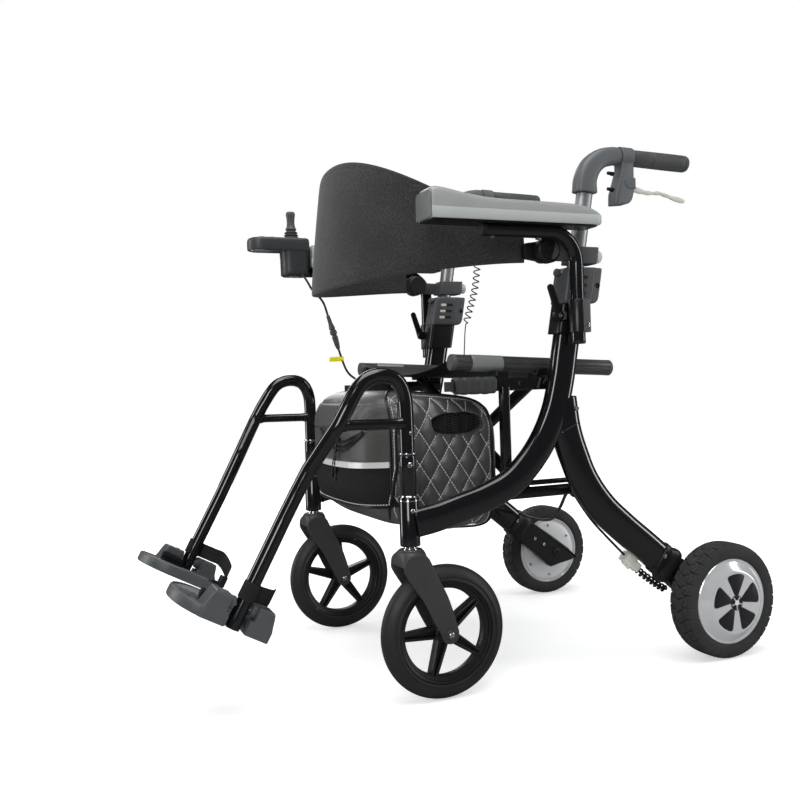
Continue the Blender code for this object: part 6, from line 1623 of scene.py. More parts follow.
sling_look = grained("sling_nylon", (0.014, 0.014, 0.015), 0.62, 1400.0, 0.00015, 0.3, Specular_IOR_Level=0.3)
seat_sheet = piece("seat_sheet", sling(), sling_look, "cross_b", ["seat_sling"], sharp=60)
seat_sheet.parent = None
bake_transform(seat_sheet)
print("seat:", len(made), "pieces")

# %% [markdown]
# ## Storage bag
# The bag is a lofted shell: sections along y, each a squarish superellipse, whose half width, foot and top
# follow smooth curves through a few measured stations. Its side panels are quilted in diamonds, so the height
# of the padding is a product of two sines that is zero along the diagonal seams. White thread follows those
# same lines.

# %% Bag shell
BAG = np.array([(-0.082, 0.085, 0.3, 0.405), (-0.078, 0.108, 0.287, 0.424), (-0.07, 0.128, 0.273, 0.441),
                (-0.05, 0.15, 0.258, 0.458), (-0.01, 0.169, 0.244, 0.46), (0.04, 0.17, 0.2335, 0.456),
                (0.09, 0.169, 0.2295, 0.45), (0.122, 0.166, 0.2285, 0.444), (0.132, 0.162, 0.231, 0.438),
                (0.138, 0.156, 0.242, 0.43)])
BAG_CURVE = smooth(BAG, 10)
BAG_POWER = 5.0
DIAMOND_Y, DIAMOND_Z = 0.0172, 0.0262
CROSSING = (0.0151, 0.4223)
HOLE = np.array([0.0665, 0.405, 0.045, 0.0165])


def bag_at(y):
    """Half width, middle height and half height of the bag's section at y."""
    half, low, top = (np.interp(y, BAG_CURVE[:, 0], column) for column in BAG_CURVE[:, 1:].T)
    return half, (low + top) / 2, (top - low) / 2


def puff(y, z):
    """The padding's height: |sin u sin v| to the power 0.6, where u and v are measured across the two seams."""
    u = (y - CROSSING[0]) / DIAMOND_Y + (z - CROSSING[1]) / DIAMOND_Z
    v = (y - CROSSING[0]) / DIAMOND_Y - (z - CROSSING[1]) / DIAMOND_Z
    return 0.0066 * np.abs(np.sin(np.pi * u / 2) * np.sin(np.pi * v / 2)) ** 0.6


def hole_depth(y, z):
    """How deep the hand hole is: nothing outside its oval, with a soft lip, and 9 mm inside."""
    reach = np.abs((y - HOLE[0]) / HOLE[2]) ** 2.6 + np.abs((z - HOLE[1]) / HOLE[3]) ** 2.6
    inside = np.clip((1.15 - reach) / 0.3, 0, 1)
    lip = 0.0016 * np.exp(-((reach - 1.35) / 0.35) ** 2)
    return 0.009 * inside**2 * (3 - 2 * inside) - lip


def side_x(y, z):
    """The outer face of the left side panel, quilting included, and none of it near the panel's own edges."""
    half, middle, tall = bag_at(y)
    up = np.clip(np.abs(z - middle) / tall, 0, 1)
    x = half * (1 - up**BAG_POWER) ** (1 / BAG_POWER)
    panel_share = np.clip((0.93 - up) / 0.05, 0, 1) * np.clip((y + 0.044) / 0.008, 0,
                                                              1) * np.clip((0.128 - y) / 0.008, 0, 1)
    depth = hole_depth(y, z)
    padding = puff(y, z) * np.clip(1 - depth / 0.004, 0, 1)
    return x + (padding - 0.004 - depth) * panel_share


print("half width, middle and half height at y = 0:", [round(float(v), 4) for v in bag_at(0.0)])

# %% [markdown]
# The shell needs more points on its sides than elsewhere, because only the sides are quilted. So its outline
# is read off at steps that count three times there, and x is taken from the quilted panel.

# %% Bag skin
def bag_shell():
    """A ring of 400 points at each station, three times denser on the sides, where x has the quilting."""
    stations = np.concatenate([BAG_CURVE[:30, 0], np.linspace(-0.048, 0.131, 150), BAG_CURVE[-12:, 0]])
    stations = np.unique(np.round(stations, 5))
    outline = oval(1, 1, BAG_POWER, 1200)
    outline = np.vstack([outline, outline[:1]])
    step = np.linalg.norm(np.diff(outline, axis=0), axis=1) * np.where(np.abs(outline[1:, 0]) > 0.9, 3.0, 1.0)
    run = np.concatenate([[0], np.cumsum(step)])
    outline = np.column_stack([np.interp(np.linspace(0, run[-1], 401)[:-1], run, column)
                               for column in outline.T])
    rings = []
    for y in stations:
        half, middle, tall = bag_at(y)
        x, z = outline[:, 0] * half, middle + outline[:, 1] * tall
        on_side = np.abs(outline[:, 0]) > 0.8
        x = np.where(on_side, np.sign(x) * side_x(np.full_like(z, y), z), x)
        sag = 0.003 * np.sin(y * 70) * (outline[:, 1] < -0.9)
        rings.append(np.column_stack([x, np.full_like(x, y), z + sag]))
    return skin(rings)


leather = grained("quilted_leatherette", (0.076, 0.076, 0.077), 0.36, 900.0, 0.00018, 0.2, Coat_Weight=0.3,
                  Coat_Roughness=0.35)
bag_leather = grained("bag_leatherette", (0.072, 0.07, 0.067), 0.42, 900.0, 0.00022, 0.2)
shell = piece("bag_shell", bag_shell(), leather, "left_frame", ["storage_bag"], sharp=70)
print("faces of the bag's shell:", len(shell.data.polygons))

# %% [markdown]
# The front carries four things: a flap of paler leatherette with fan-like folds, a curved zip, a silver strip
# and a mesh pocket below it. Each is a patch laid on the shell, so one function finds the shell's y under any
# (x, z).

# %% Patches on the front
FRONT_STATIONS = np.linspace(-0.082, -0.03, 80)


def front_y(x, z):
    """The first station whose section reaches (x, z), read between two stations: the shell's front surface."""
    half, middle, tall = bag_at(FRONT_STATIONS)
    reach = np.abs(x[..., None] / half) ** BAG_POWER + np.abs((z[..., None] - middle) / tall) ** BAG_POWER
    outside = reach > 1
    last = np.clip(outside.sum(axis=-1) - 1, 0, len(FRONT_STATIONS) - 2)
    before, after = (np.take_along_axis(reach, (last + i)[..., None], -1)[..., 0] for i in (0, 1))
    share = np.clip((before - 1) / np.maximum(before - after, 1e-9), 0, 1)
    y = FRONT_STATIONS[last] + share * (FRONT_STATIONS[1] - FRONT_STATIONS[0])
    return np.where(outside.any(axis=-1), y, FRONT_STATIONS[0])


def front_patch(x, z, rise, thickness=0.003):
    """A closed patch over a grid of (x, z) that stands off the shell by rise."""
    y = front_y(x, z)
    outer = np.stack([x, y - rise, z], axis=-1)
    inner = np.stack([x * 0.985, y + thickness, z], axis=-1)
    return panel(outer, inner)


def grid(x_low, x_high, z_low, z_high, columns, rows):
    """Evenly spaced x and z over a rectangle, as two arrays."""
    return np.meshgrid(np.linspace(x_low, x_high, columns), np.linspace(z_low, z_high, rows), indexing="ij")


def soft_edge(columns, rows, width=0.08):
    """One in the middle of a grid, falling to nothing at its edges, so that a patch grows out of the shell."""
    across, down = np.meshgrid(np.linspace(0, 1, columns), np.linspace(0, 1, rows), indexing="ij")
    edge = np.minimum(np.minimum(across, 1 - across), np.minimum(down, 1 - down))
    return np.sqrt(np.clip(edge / width, 0, 1))


x, z = grid(-0.131, 0.152, 0.3995, 0.44, 160, 60)
fan = np.sin(26 * np.log(np.hypot(x - 0.165, z - 0.36) / 0.05 + 0.6)) ** 3
flap = front_patch(x, z, 0.001 + 0.0022 * soft_edge(160, 60) + 0.0009 * fan * np.exp(-((x - 0.1) / 0.07) ** 2))
x, z = grid(-0.13, 0.155, 0.348, 0.399, 120, 40)
yoke = front_patch(x, z, 0.0008 + 0.0012 * soft_edge(120, 40))
piece("bag_flap", together(flap, yoke), bag_leather, "left_frame", sharp=60)
x, z = grid(-0.127, 0.154, 0.279, 0.344, 160, 60)
droop = 0.007 * np.sin(np.pi * np.clip((x + 0.127) / 0.283, 0, 1)) * soft_edge(160, 60, 0.5)
wrinkle = 0.0007 * np.sin(x * 190 + z * 260) * np.exp(-((x - 0.03) / 0.06) ** 2)
pocket = front_patch(x, z, 0.0012 + droop + wrinkle * soft_edge(160, 60, 0.3))
mesh_look = finish("pocket_mesh", (0.012, 0.012, 0.012), 0.8, Specular_IOR_Level=0.2)
piece("bag_pocket", pocket, mesh_look, "left_frame", sharp=60)
x, z = grid(-0.129, 0.1535, 0.3415, 0.3505, 120, 8)
z = z - 0.0035 * np.sin(np.pi * (x + 0.129) / 0.2825)
strip_rise = 0.0034 + 0.006 * np.sin(np.pi * (x + 0.129) / 0.2825)
strip_look = grained("reflective_strip", (0.8, 0.81, 0.8), 0.35, 1800.0, 0.0001, 0.05, 0.3)
piece("bag_strip", front_patch(x, z, strip_rise, 0.001), strip_look, "left_frame", sharp=50)
print("faces of the flap:", len(flap[1]))

# %% [markdown]
# The pocket's mesh has small diamond openings. Two crossed waves of the surface's own coordinates give a net
# of pale threads over black, and the same waves raise the threads.

# %% Net material
tree = mesh_look.node_tree
where = wired(tree, "ShaderNodeTexCoord", name="where")
axes = wired(tree, "ShaderNodeSeparateXYZ", {"Vector": where.outputs["Object"]})


def net_threads(tree, axes, pitch):
    """Two families of diagonal threads: 1 on a thread and 0 between, the greater of two cosines."""
    families = []
    for sign in (1.0, -1.0):
        slant = maths(tree, "MULTIPLY_ADD", axes.outputs["X"], sign * 1.6, axes.outputs["Z"])
        wave = maths(tree, "COSINE", maths(tree, "MULTIPLY", slant, 2 * math.pi / pitch))
        families.append(maths(tree, "GREATER_THAN", wave, 0.55))
    return maths(tree, "MAXIMUM", *families)


threads = net_threads(tree, axes, 0.0042)
tree.links.new(mixed(tree, threads, (0.003, 0.003, 0.003), (0.026, 0.026, 0.025)),
               shader_of(tree).inputs["Base Color"])
bumped(tree, threads, 0.0003)
print("bag front:", len(made), "pieces")

# %% [markdown]
# ## Seams, thread and zip
# A stitch is a tiny capsule of 20 faces, and a seam is a row of them along a line on the shell. All stitches
# of a seam are made in one go: their rings are one array, and the face numbers repeat with an offset.

# %% Stitches
def stitches(line, pitch=0.005, length=0.0039, radius=0.00074, sides=6):
    """Capsules along a line: rings at 0, 12, 88 and 100 percent of each stitch, the end rings nearly closed."""
    line = np.asarray(line, float)
    run = np.concatenate([[0], np.cumsum(np.linalg.norm(np.diff(line, axis=0), axis=1))])
    starts = np.arange(0, run[-1] - length, pitch)
    at = starts[:, None] + length * np.array([0.0, 0.12, 0.88, 1.0])
    middle = np.stack([np.interp(at, run, column) for column in line.T], axis=-1)
    way = middle[:, 3] - middle[:, 0]
    way /= np.linalg.norm(way, axis=1)[:, None]
    across = np.cross(way, (0.31, 0.22, 0.93))
    across /= np.linalg.norm(across, axis=1)[:, None]
    up = np.cross(way, across)
    angle = 2 * np.pi * np.arange(sides) / sides
    spoke = across[:, None] * np.cos(angle)[None, :, None] + up[:, None] * np.sin(angle)[None, :, None]
    size = radius * np.array([0.35, 1.0, 1.0, 0.35])
    points = middle[:, :, None] + spoke[:, None] * size[None, :, None, None]
    faces = quads(4, sides, False).tolist() + [list(range(sides))[::-1], list(range(3 * sides, 4 * sides))]
    shapes = (points.reshape(len(points), -1, 3)[i] for i in range(len(points)))
    return together(*[outward(shape, faces) for shape in shapes])


def on_side(y, z, lift=0.0014):
    """A line on the left side panel, just above the leather."""
    return np.stack([side_x(y, z) + lift, y, z], axis=1)


def quilt_lines():
    """Both families of seams, kept inside the panel and out of the hand hole."""
    lines = []
    for slope in (1, -1):
        for number in range(-12, 16):
            z = np.linspace(0.242, 0.456, 240)
            y = CROSSING[0] + DIAMOND_Y * (2 * number - slope * (z - CROSSING[1]) / DIAMOND_Z)
            half, middle, tall = bag_at(y)
            hole = np.abs((y - HOLE[0]) / (HOLE[2] + 0.003)) ** 2.6 + np.abs((z - HOLE[1])
                                                                             / (HOLE[3] + 0.003)) ** 2.6
            keep = (y > -0.04) & (y < 0.123) & (np.abs(z - middle) < 0.92 * tall) & (hole > 1)
            cuts = np.flatnonzero(np.diff(keep.astype(int))) + 1
            for part_y, part_z, part_keep in zip(np.split(y, cuts), np.split(z, cuts), np.split(keep, cuts)):
                if part_keep.all() and len(part_y) > 8:
                    lines.append(on_side(part_y, part_z))
    return lines


def side_edge(inset, count=400):
    """The closed line round the side panel, a little inside its edge: along its top, then back below."""
    y = np.linspace(-0.041 + inset, 0.124 - inset, count)
    half, middle, tall = bag_at(y)
    reach = 0.945 * tall - inset
    turn = np.clip(np.minimum(y + 0.041 - inset, 0.124 - inset - y) / 0.022, 0, 1)
    reach = reach - 0.02 * (1 - np.sqrt(1 - (1 - turn) ** 2))
    top, low = on_side(y, middle + reach, 0.0006), on_side(y[::-1], (middle - reach)[::-1], 0.0006)
    sides = [np.linspace(top[-1], low[0], 60)[1:-1], np.linspace(low[-1], top[0], 60)[1:-1]]
    line = np.vstack([top, sides[0], low, sides[1], top[:1]])
    line[:, 0] = side_x(line[:, 1], line[:, 2]) + 0.0006
    return line


print("seams on a side panel:", len(quilt_lines()))

# %% [markdown]
# Two stitched families cross on the side panel, one seam runs round it, and three run down and across the
# front. A cord of bias tape covers each edge, as on any sewn bag.

# %% Seams and piping
near_seams = [stitches(line) for line in quilt_lines()] + [stitches(side_edge(0.0015), 0.0048, 0.0036, 0.00066)]
thread_look = grained("white_thread", (0.72, 0.72, 0.7), 0.6, 900.0, 0.0001, 0.1)
near_thread = together(*near_seams)
piece("bag_side_thread", together(near_thread, mirrored(near_thread)), thread_look, "left_frame",
      sharp=60)


def on_front(x, z, lift):
    """A line on the bag's front, standing off the shell by lift."""
    return np.stack([x, front_y(x, z) - lift, z], axis=1)


z = np.linspace(0.283, 0.44, 200)
corner_x = np.interp(z, [0.28, 0.3, 0.34, 0.42, 0.44], [0.146, 0.153, 0.158, 0.158, 0.153])
t = np.linspace(0, 1, 200)
low_x = 0.146 - 0.276 * t
low_z = 0.2835 - 0.0045 * np.sin(np.pi * t)
front_lines = [on_front(corner_x, z, 0.003), on_front(-corner_x + 0.02, z, 0.003),
               on_front(low_x, low_z, 0.0035)]
front_thread = together(*[stitches(line, 0.005, 0.0038, 0.00072) for line in front_lines])
piece("bag_front_thread", front_thread, thread_look, "left_frame", sharp=60)


def piping(line, radius):
    """A closed cord of bias tape along a line."""
    return rod(evenly(line, 120), radius, radius * 0.8, 12, (0.3, 0.2, 0.9))


edge_line = side_edge(-0.0035)
edge_cord = skin(carried(evenly(edge_line, 200)[:-1], oval(0.0022, 0.0022, 2, 12), (1, 0, 0)), loop=True)
front_cords = together(*[piping(line + (0.0035 * np.sign(line[0, 0]), 0.002, 0), 0.0026)
                         for line in front_lines[:2]], piping(front_lines[2] - (0, -0.0015, 0.0035), 0.0024))
piece("bag_piping", together(edge_cord, mirrored(edge_cord), front_cords), satin_black, "left_frame",
      sharp=60)
print("faces of one side's thread:", len(near_thread[1]))

# %% [markdown]
# The zip is three cords, two tapes and the teeth, which bow down like a smile below the flap. Its puller
# hangs with two braided tails.

# %% Zip and puller
t = np.linspace(0, 1, 90)
arcs = []
for drop, lift in ((0.0, 0.0052), (0.007, 0.0047), (0.013, 0.0042)):
    line = on_front(-0.055 + 0.178 * t, 0.399 - (0.02 + drop) * np.sin(np.pi * t) ** 0.8 - drop * 0.2, lift)
    arcs.append(piping(line, 0.0018))
piece("bag_zip", together(*arcs), satin_black, "left_frame", sharp=60)
slider = facing(turned([(AXIS, 0.0), (0.0042, 0.0), (0.0052, 0.0012), (0.0052, 0.004), (0.0036, 0.0054),
                        (AXIS, 0.0056)], 24), (0.033, -0.0835, 0.385), (0, -1, 0))
tails = []
for x_end, z_end in ((0.006, 0.318), (0.023, 0.314)):
    line = smooth([(0.03, -0.089, 0.383), (0.029, -0.09, 0.37), ((0.029 + x_end) / 2, -0.0905, 0.345),
                   (x_end, -0.09, z_end)], 12)
    path, inset = round_ends(line, 0.001)
    width = 0.0028 + 0.0007 * np.sin(np.linspace(0, 60, len(path)))
    tails.append(skin(carried(path, oval(1.0, 0.55, 2.4, 16), (1, 0, 0), width - inset)))
piece("zip_puller", together(slider, *tails), nylon_black, "left_frame", sharp=50)
print("zip cords:", len(arcs), "tails:", len(tails))

# %% [markdown]
# Through the hand hole one sees the bag's dark lining: a thin wavy patch just inside the shell. After it each
# of the bag's pieces gets a mesh of its own.

# %% Hand-hole lining
y, z = np.meshgrid(np.linspace(-1, 1, 60), np.linspace(-1, 1, 30), indexing="ij")
y, z = y * np.sqrt(1 - z**2 / 2), z * np.sqrt(1 - y**2 / 2)
y, z = HOLE[0] + y * HOLE[2] * 0.97, HOLE[1] + z * HOLE[3] * 0.97
half = bag_at(y)[0]
front = np.stack([half - 0.01 + 0.001 * np.sin(y * 300), y, z], axis=-1)
lining = panel(front, front - (0.002, 0, 0))
piece("bag_lining", together(lining, mirrored(lining)), mesh_look, "left_frame", sharp=60)
for soft in [obj for obj in made if obj.name.startswith(("bag_", "zip_"))]:
    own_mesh(soft)
print("bag:", len(made), "pieces")

# %% [markdown]
# ## Backrest band
# The band is a padded strip that bows forward between the two arms, and it is tallest in the middle. At each
# angle of the bow its section is a flat pad with rolled edges, so the thickness follows a high power of the
# height, with a seam line pressed in near each edge. Fine two-tone yarn gives the speckle of the fabric.

# %% Band
BAND_START, BAND_REACH, BAND_HALF = 0.1647, 0.2647, 0.2275


def band():
    """Rings along the bow: the outer face from foot to top, and then the inner face back down."""
    angle = np.linspace(0.012, np.pi - 0.012, 141)
    swell = np.sin(angle)
    across = np.sign(np.cos(angle)) * np.abs(np.cos(angle)) ** (2 / 2.2)
    forward = swell ** (2 / 2.2)
    tall = swell**1.1
    low = 0.652 - 0.025 * swell**1.3
    high = 0.7 + 0.135 * tall
    back = 0.025 * (high - low) / 0.208 * tall
    line = np.stack([BAND_HALF * across, BAND_START - BAND_REACH * forward], axis=1)
    run = np.gradient(line, axis=0)
    out = np.stack([run[:, 1], -run[:, 0]], axis=1) / np.linalg.norm(run, axis=1)[:, None]
    out *= np.sign(np.einsum("ij,ij->i", out, line - (0, 0.1)))[:, None]
    share = np.sin(np.linspace(-1, 1, 45) * np.pi / 2) / 2 + 0.5
    roll = np.sqrt(np.clip(1 - np.abs(2 * share - 1) ** 22, 0, 1))
    seam = 0.0007 * (np.exp(-((share - 0.955) / 0.008) ** 2) + np.exp(-((share - 0.05) / 0.008) ** 2))
    outer = -0.003 + (0.0028 + 0.001 * np.sin(np.pi * share)) * roll - seam
    inner = -0.003 - 0.0028 * roll
    rings = []
    for place, way, foot, top, lean in zip(line, out, low, high, back):
        height = foot + (top - foot) * share
        shift = np.array([0.0, 1.0])[None] * (lean * share)[:, None]
        faces = [np.column_stack([place + way * depth[:, None] + shift, height]) for depth in (outer, inner)]
        rings.append(np.vstack([faces[0], faces[1][::-1][1:-1]]))
    return skin(rings)


def speckled(name, dark, light, scale, sheen):
    """Woven fabric of two yarns: noise picks the yarn, finer noise raises it, and sheen lifts the edges."""
    look = finish(name, dark, 0.85, Sheen_Weight=sheen, Sheen_Roughness=0.5, Specular_IOR_Level=0.2)
    tree = look.node_tree
    yarn = between(tree, spots(tree, scale, 2.0), -1.2, 2.2)
    cloud = spots(tree, 14.0, 4.0)
    tint = mixed(tree, maths(tree, "MULTIPLY", yarn, cloud), dark, light)
    tree.links.new(tint, shader_of(tree).inputs["Base Color"])
    bumped(tree, spots(tree, scale * 1.6, 1.0), 0.0004)
    return look


band_look = speckled("band_fabric", (0.018, 0.018, 0.02), (0.075, 0.068, 0.066), 520.0, 0.15)
band_pad = piece("band_pad", band(), band_look, "left_backrest", ["backrest_band"], sharp=60)
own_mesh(band_pad)
print("band:", len(made), "pieces")

# %% [markdown]
# ## Joystick
# The control box is one moulded shell: a paddle that is round in front, on a rounded body that drops at the
# rear. The paddle is an outline with big soft edges, and the body is a loft whose rings shrink towards its
# foot. A rubber bellows and a mushroom-shaped stick stand on it, both turned, in their own tilting bodies.

# %% Control box
STICK_Y, BOX_TOP = -0.062, 0.76
nose = arc((0.0, -0.1245), 0.0252, 0, -180, 24)
paddle_line = np.vstack([nose, np.linspace((-0.0252, -0.1245), (-0.024, -0.033), 8)[1:],
                         np.linspace((0.024, -0.033), (0.0252, -0.1245), 8)[:-1]])


def control_box():
    """Rings of the paddle: its hollow underside, the wall, a soft shoulder and a faintly crowned top."""
    steps = [(0.55, 0.7368), (0.16, 0.7368), (0.13, 0.7358), (0.06, 0.7352), (0.015, 0.736), (0.0, 0.7385),
             (0.0, 0.75), (0.008, 0.7545), (0.035, 0.758), (0.09, 0.7597), (0.2, 0.76), (0.7, 0.7602)]
    return drawn_in(paddle_line, np.array([0.0, -0.0905]), steps)


body_plan = rectangle((-0.0215, 0.0215), (-0.083, -0.0325), [0.017, 0.017, 0.009, 0.009], parts=8)
body_steps = [(0.004, 0.6895), (0.0014, 0.6883), (0.0, 0.69), (0.0, 0.696), (-0.0004, 0.72), (-0.0012, 0.733),
              (-0.0022, 0.74)]
foot_plate = moulded(inset_outline(body_plan, 0.0035), 0.6868, 0.689, 0.0008)
rod_line = fluted((0, -0.04, 0.694), (0, 0.0626, 0.694), 0.0079, 0.0, 4, 32)
BOX_X = (-ARMREST_X, 0, 0)
box_look = grained("joystick_shell", (0.038, 0.043, 0.046), 0.4, 800.0, 0.00008, 0.12)
box_shell = moved(together(control_box(), stacked(body_plan, body_steps)), BOX_X)
piece("joystick_shell", box_shell, box_look, "right_armrest", ["joystick_box"], sharp=45)
saddle_plate = side_block(rectangle((-0.024, 0.024), (0.7, 0.742), 0.006, True), -0.0385, -0.0314, 0.0012)
piece("joystick_mount", moved(together(rod_line, foot_plate, saddle_plate), BOX_X), nylon_black,
      "right_armrest", sharp=40)
under = moulded(arc((0.0, -0.124), 0.0205, 0, 355, 40), 0.7345, 0.7372, 0.0008)
ring_socket = moved(turned([(0.006, 0.6862), (0.01, 0.6862), (0.0104, 0.6868), (0.0104, 0.688), (0.006, 0.688)],
                           32, loop=True), (0, -0.058, 0))
piece("joystick_underside", moved(together(under, ring_socket), BOX_X), chrome, "right_armrest",
      sharp=40)
keys = [facing(solid([(0.0046, 0.0014), (0.0054, 0.0006), (0.0056, -0.0012)], 24), (x, y, 0.7601), (0, 0, 1))
        for x, y in ((-0.011, -0.104), (0.011, -0.104), (-0.011, -0.124), (0.011, -0.124))]
piece("joystick_keys", moved(together(*keys), BOX_X), nylon_grey, "right_armrest", sharp=40)
lamps = [moulded(rectangle((x - 0.0014, x + 0.0014), (-0.142, -0.138), 0.0008), 0.7588, 0.7604, 0.0003)
         for x in (-0.008, -0.004, 0.0, 0.004, 0.008)]
lamp_look = grained("lamp_green", (0.12, 0.42, 0.12), 0.3, 300.0, 0.00003, 0.08)
piece("joystick_lamps", moved(together(*lamps), BOX_X), lamp_look, "right_armrest", sharp=40)
print("keys:", len(keys), "lamps:", len(lamps))

# %% [markdown]
# The bellows is a turned profile of three ridges, and the knob is a mushroom with a narrow waist. They ride
# on two bodies, because the bellows leans with the stick fore and aft but not to the side.

# %% Bellows and stick
bellows = [(AXIS, 0.0006), (0.0125, 0.0006), (0.0146, 0.0012), (0.0149, 0.003), (0.012, 0.0046),
           (0.0116, 0.0054), (0.0138, 0.0066), (0.0139, 0.0078), (0.011, 0.0094), (0.0106, 0.0102),
           (0.0128, 0.0114), (0.0129, 0.0126), (0.01, 0.0142), (0.0092, 0.0158), (0.0084, 0.0169),
           (AXIS, 0.0169)]
STICK_PLACE = (-ARMREST_X, STICK_Y, BOX_TOP)
piece("joystick_bellows", moved(turned(bellows, 56), STICK_PLACE), grip_rubber, "joystick_boot",
      ["joystick_boot"], sharp=60)
stick = [(AXIS, 0.0176), (0.0104, 0.0176), (0.0108, 0.0186), (0.01, 0.0205), (0.0088, 0.0225), (0.0078, 0.0265),
         (0.0075, 0.032), (0.0078, 0.04), (0.0086, 0.044), (0.009, 0.0465), (0.0089, 0.0495), (0.008, 0.0518),
         (0.0062, 0.0531), (0.003, 0.0535), (AXIS, 0.0535)]
piece("joystick_knob", moved(turned(stick, 56), STICK_PLACE), nylon_dark, "joystick_stick",
      ["joystick_stick"], sharp=50)
print("joystick:", len(made), "pieces")

# %% [markdown]
# ## Cables
# Every cable here runs between two fixed places on the object, so each is one skin carried along its route.
# The joystick's cable carries an inline connector, which is turned along the cable, and a yellow marker flag.
# It crosses from the armrest to the frame, and is left free of any body, with its place baked into its mesh.

# %% Joystick cable
JOYSTICK_ROUTE = np.array([(-0.252, -0.05, 0.6925), (-0.245, -0.042, 0.678), (-0.24, -0.032, 0.658),
                           (-0.238, -0.019, 0.644), (-0.237, -0.01, 0.63), (-0.236, -0.001, 0.6),
                           (-0.235, 0.008, 0.57), (-0.233, 0.016, 0.54), (-0.231, 0.03, 0.5),
                           (-0.228, 0.048, 0.482), (-0.22, 0.06, 0.4745)])
cable_line = evenly(smooth(JOYSTICK_ROUTE, 10), 127)


def length_of(line):
    """The sum of the distances between neighbouring points."""
    return round(float(np.linalg.norm(np.diff(line, axis=0), axis=1).sum()), 3)


def cable_skin_of(line, radius):
    """A round cable along a line, with rounded ends."""
    return rod(line, radius, radius * 0.7, 14)


def swollen(line, bulges):
    """A cable with bulges: pairs of (share of the length, radius) read as one profile along the line."""
    path = evenly(line, 160)
    share = np.linspace(0, 1, 160)
    return skin(carried(path, oval(1, 1, sides=24), (1, 0, 0), np.interp(share, *np.array(bulges).T)))


plain_cable = cable_skin_of(cable_line, 0.0021)
joystick_wire = piece("joystick_wire", plain_cable, cable_skin, "right_frame", ["joystick_cable"],
                      sharp=60)
connector = swollen(cable_line[49:84], [(0.0, 0.0022), (0.02, 0.0036), (0.22, 0.004), (0.4, 0.0062),
                                        (0.42, 0.005), (0.44, 0.005), (0.46, 0.0068), (0.56, 0.0068),
                                        (0.58, 0.0046), (0.61, 0.0046), (0.63, 0.006), (0.68, 0.0058),
                                        (0.86, 0.005), (0.98, 0.0036), (1.0, 0.0022)])
connector_piece = piece("cable_connector", connector, nylon_dark, "right_frame", sharp=40)
flag_x, flag_y, flag_z = cable_line[93]
flag = together(across_block(rounded([(flag_y - 0.026, flag_z - 0.005), (flag_y + 0.0035, flag_z - 0.0042),
                                      (flag_y + 0.0035, flag_z + 0.0052), (flag_y - 0.026, flag_z + 0.004)],
                                     0.001), flag_x - 0.0011, flag_x + 0.0011, 0.0004),
                cable_skin_of(cable_line[91:96], 0.0034))
flag_piece = piece("cable_flag", flag, flag_yellow, "right_frame", sharp=40)
for part in (joystick_wire, connector_piece, flag_piece):
    part.parent = None
    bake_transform(part)
print("points of the joystick cable:", len(cable_line))

# %% [markdown]
# The curly cable is a helix whose middle runs down the route: its radius is carried by the route's own frame.
# A thin straight tail leaves the coil and goes down to the rail.

# %% Curly cable
CURLY_ROUTE = np.array([(-0.214, 0.326, 0.776), (-0.214, 0.324, 0.74), (-0.215, 0.319, 0.705),
                        (-0.217, 0.313, 0.66), (-0.22, 0.299, 0.612), (-0.2215, 0.292, 0.59)])


def helix(route, radius, turns, points):
    """Points round a route: its middle plus across * cos + up * sin of the running angle."""
    middle = evenly(smooth(route, 12), points)
    _, across, up = frames(middle, (1, 0, 0))
    angle = 2 * np.pi * turns * np.linspace(0, 1, points)[:, None]
    grow = np.clip(np.minimum(np.linspace(0, 1, points), np.linspace(1, 0, points)) / 0.03, 0, 1)[:, None]
    return middle + grow * radius * (across * np.cos(angle) + up * np.sin(angle))


coil = helix(CURLY_ROUTE, 0.0062, 15, 620)
curly = rod(coil, 0.00125, 0.0008, 10, (0.05, 0.2, 1.0))
tail = cable_skin_of(evenly(smooth([CURLY_ROUTE[-1], (-0.221, 0.289, 0.57), (-0.217, 0.285, 0.545),
                                    (-0.205, 0.276, 0.505)], 10), 40), 0.0011)
curly_wire = piece("curly_wire", curly, cable_skin, "right_frame", ["curly_cable"], sharp=60)
curly_wire.parent = None
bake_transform(curly_wire)
piece("curly_tail", tail, cable_skin, "right_frame", sharp=60)
print("points of the coil:", len(coil))

# %% [markdown]
# The motors' cables leave the frame's tubes and run to the boots. The near one passes a milky two-part
# connector and is then wrapped in a black spiral, which is a helix round the cable.

# %% Motor cables
LEFT_ROUTE = np.array([(0.2115, 0.244, 0.3), (0.212, 0.2505, 0.282), (0.2135, 0.2782, 0.2423),
                       (0.2135, 0.3068, 0.2118), (0.2135, 0.33, 0.189), (0.2135, 0.3567, 0.1627),
                       (0.2135, 0.3754, 0.143), (0.213, 0.3916, 0.1311), (0.212, 0.4121, 0.1168),
                       (0.2115, 0.43, 0.107)])
SPARE_ROUTE = np.array([(0.2115, 0.247, 0.293), (0.2125, 0.262, 0.27), (0.2135, 0.29, 0.2405),
                        (0.2135, 0.322, 0.213), (0.2135, 0.352, 0.19), (0.214, 0.373, 0.172),
                        (0.214, 0.39, 0.159)])
RIGHT_ROUTE = np.array([(-0.2085, 0.398, 0.19), (-0.16, 0.394, 0.188), (-0.06, 0.36, 0.198),
                        (0.03, 0.325, 0.215), (0.1, 0.296, 0.245), (0.15, 0.275, 0.274),
                        (0.1765, 0.266, 0.286)])
left_line = evenly(smooth(LEFT_ROUTE, 10), 90)
wires = together(cable_skin_of(left_line, 0.002), cable_skin_of(evenly(smooth(SPARE_ROUTE, 10), 60), 0.0017))
piece("left_motor_wire", wires, cable_skin, "left_frame", ["left_motor_cable"], sharp=60)
wrap_path = helix(left_line[62:], 0.005, 9, 260)
wrap = skin(carried(wrap_path, oval(0.002, 0.0016, 2, 10), (1, 0, 0.2)))
piece("cable_wrap", wrap, satin_black, "left_frame", sharp=60)


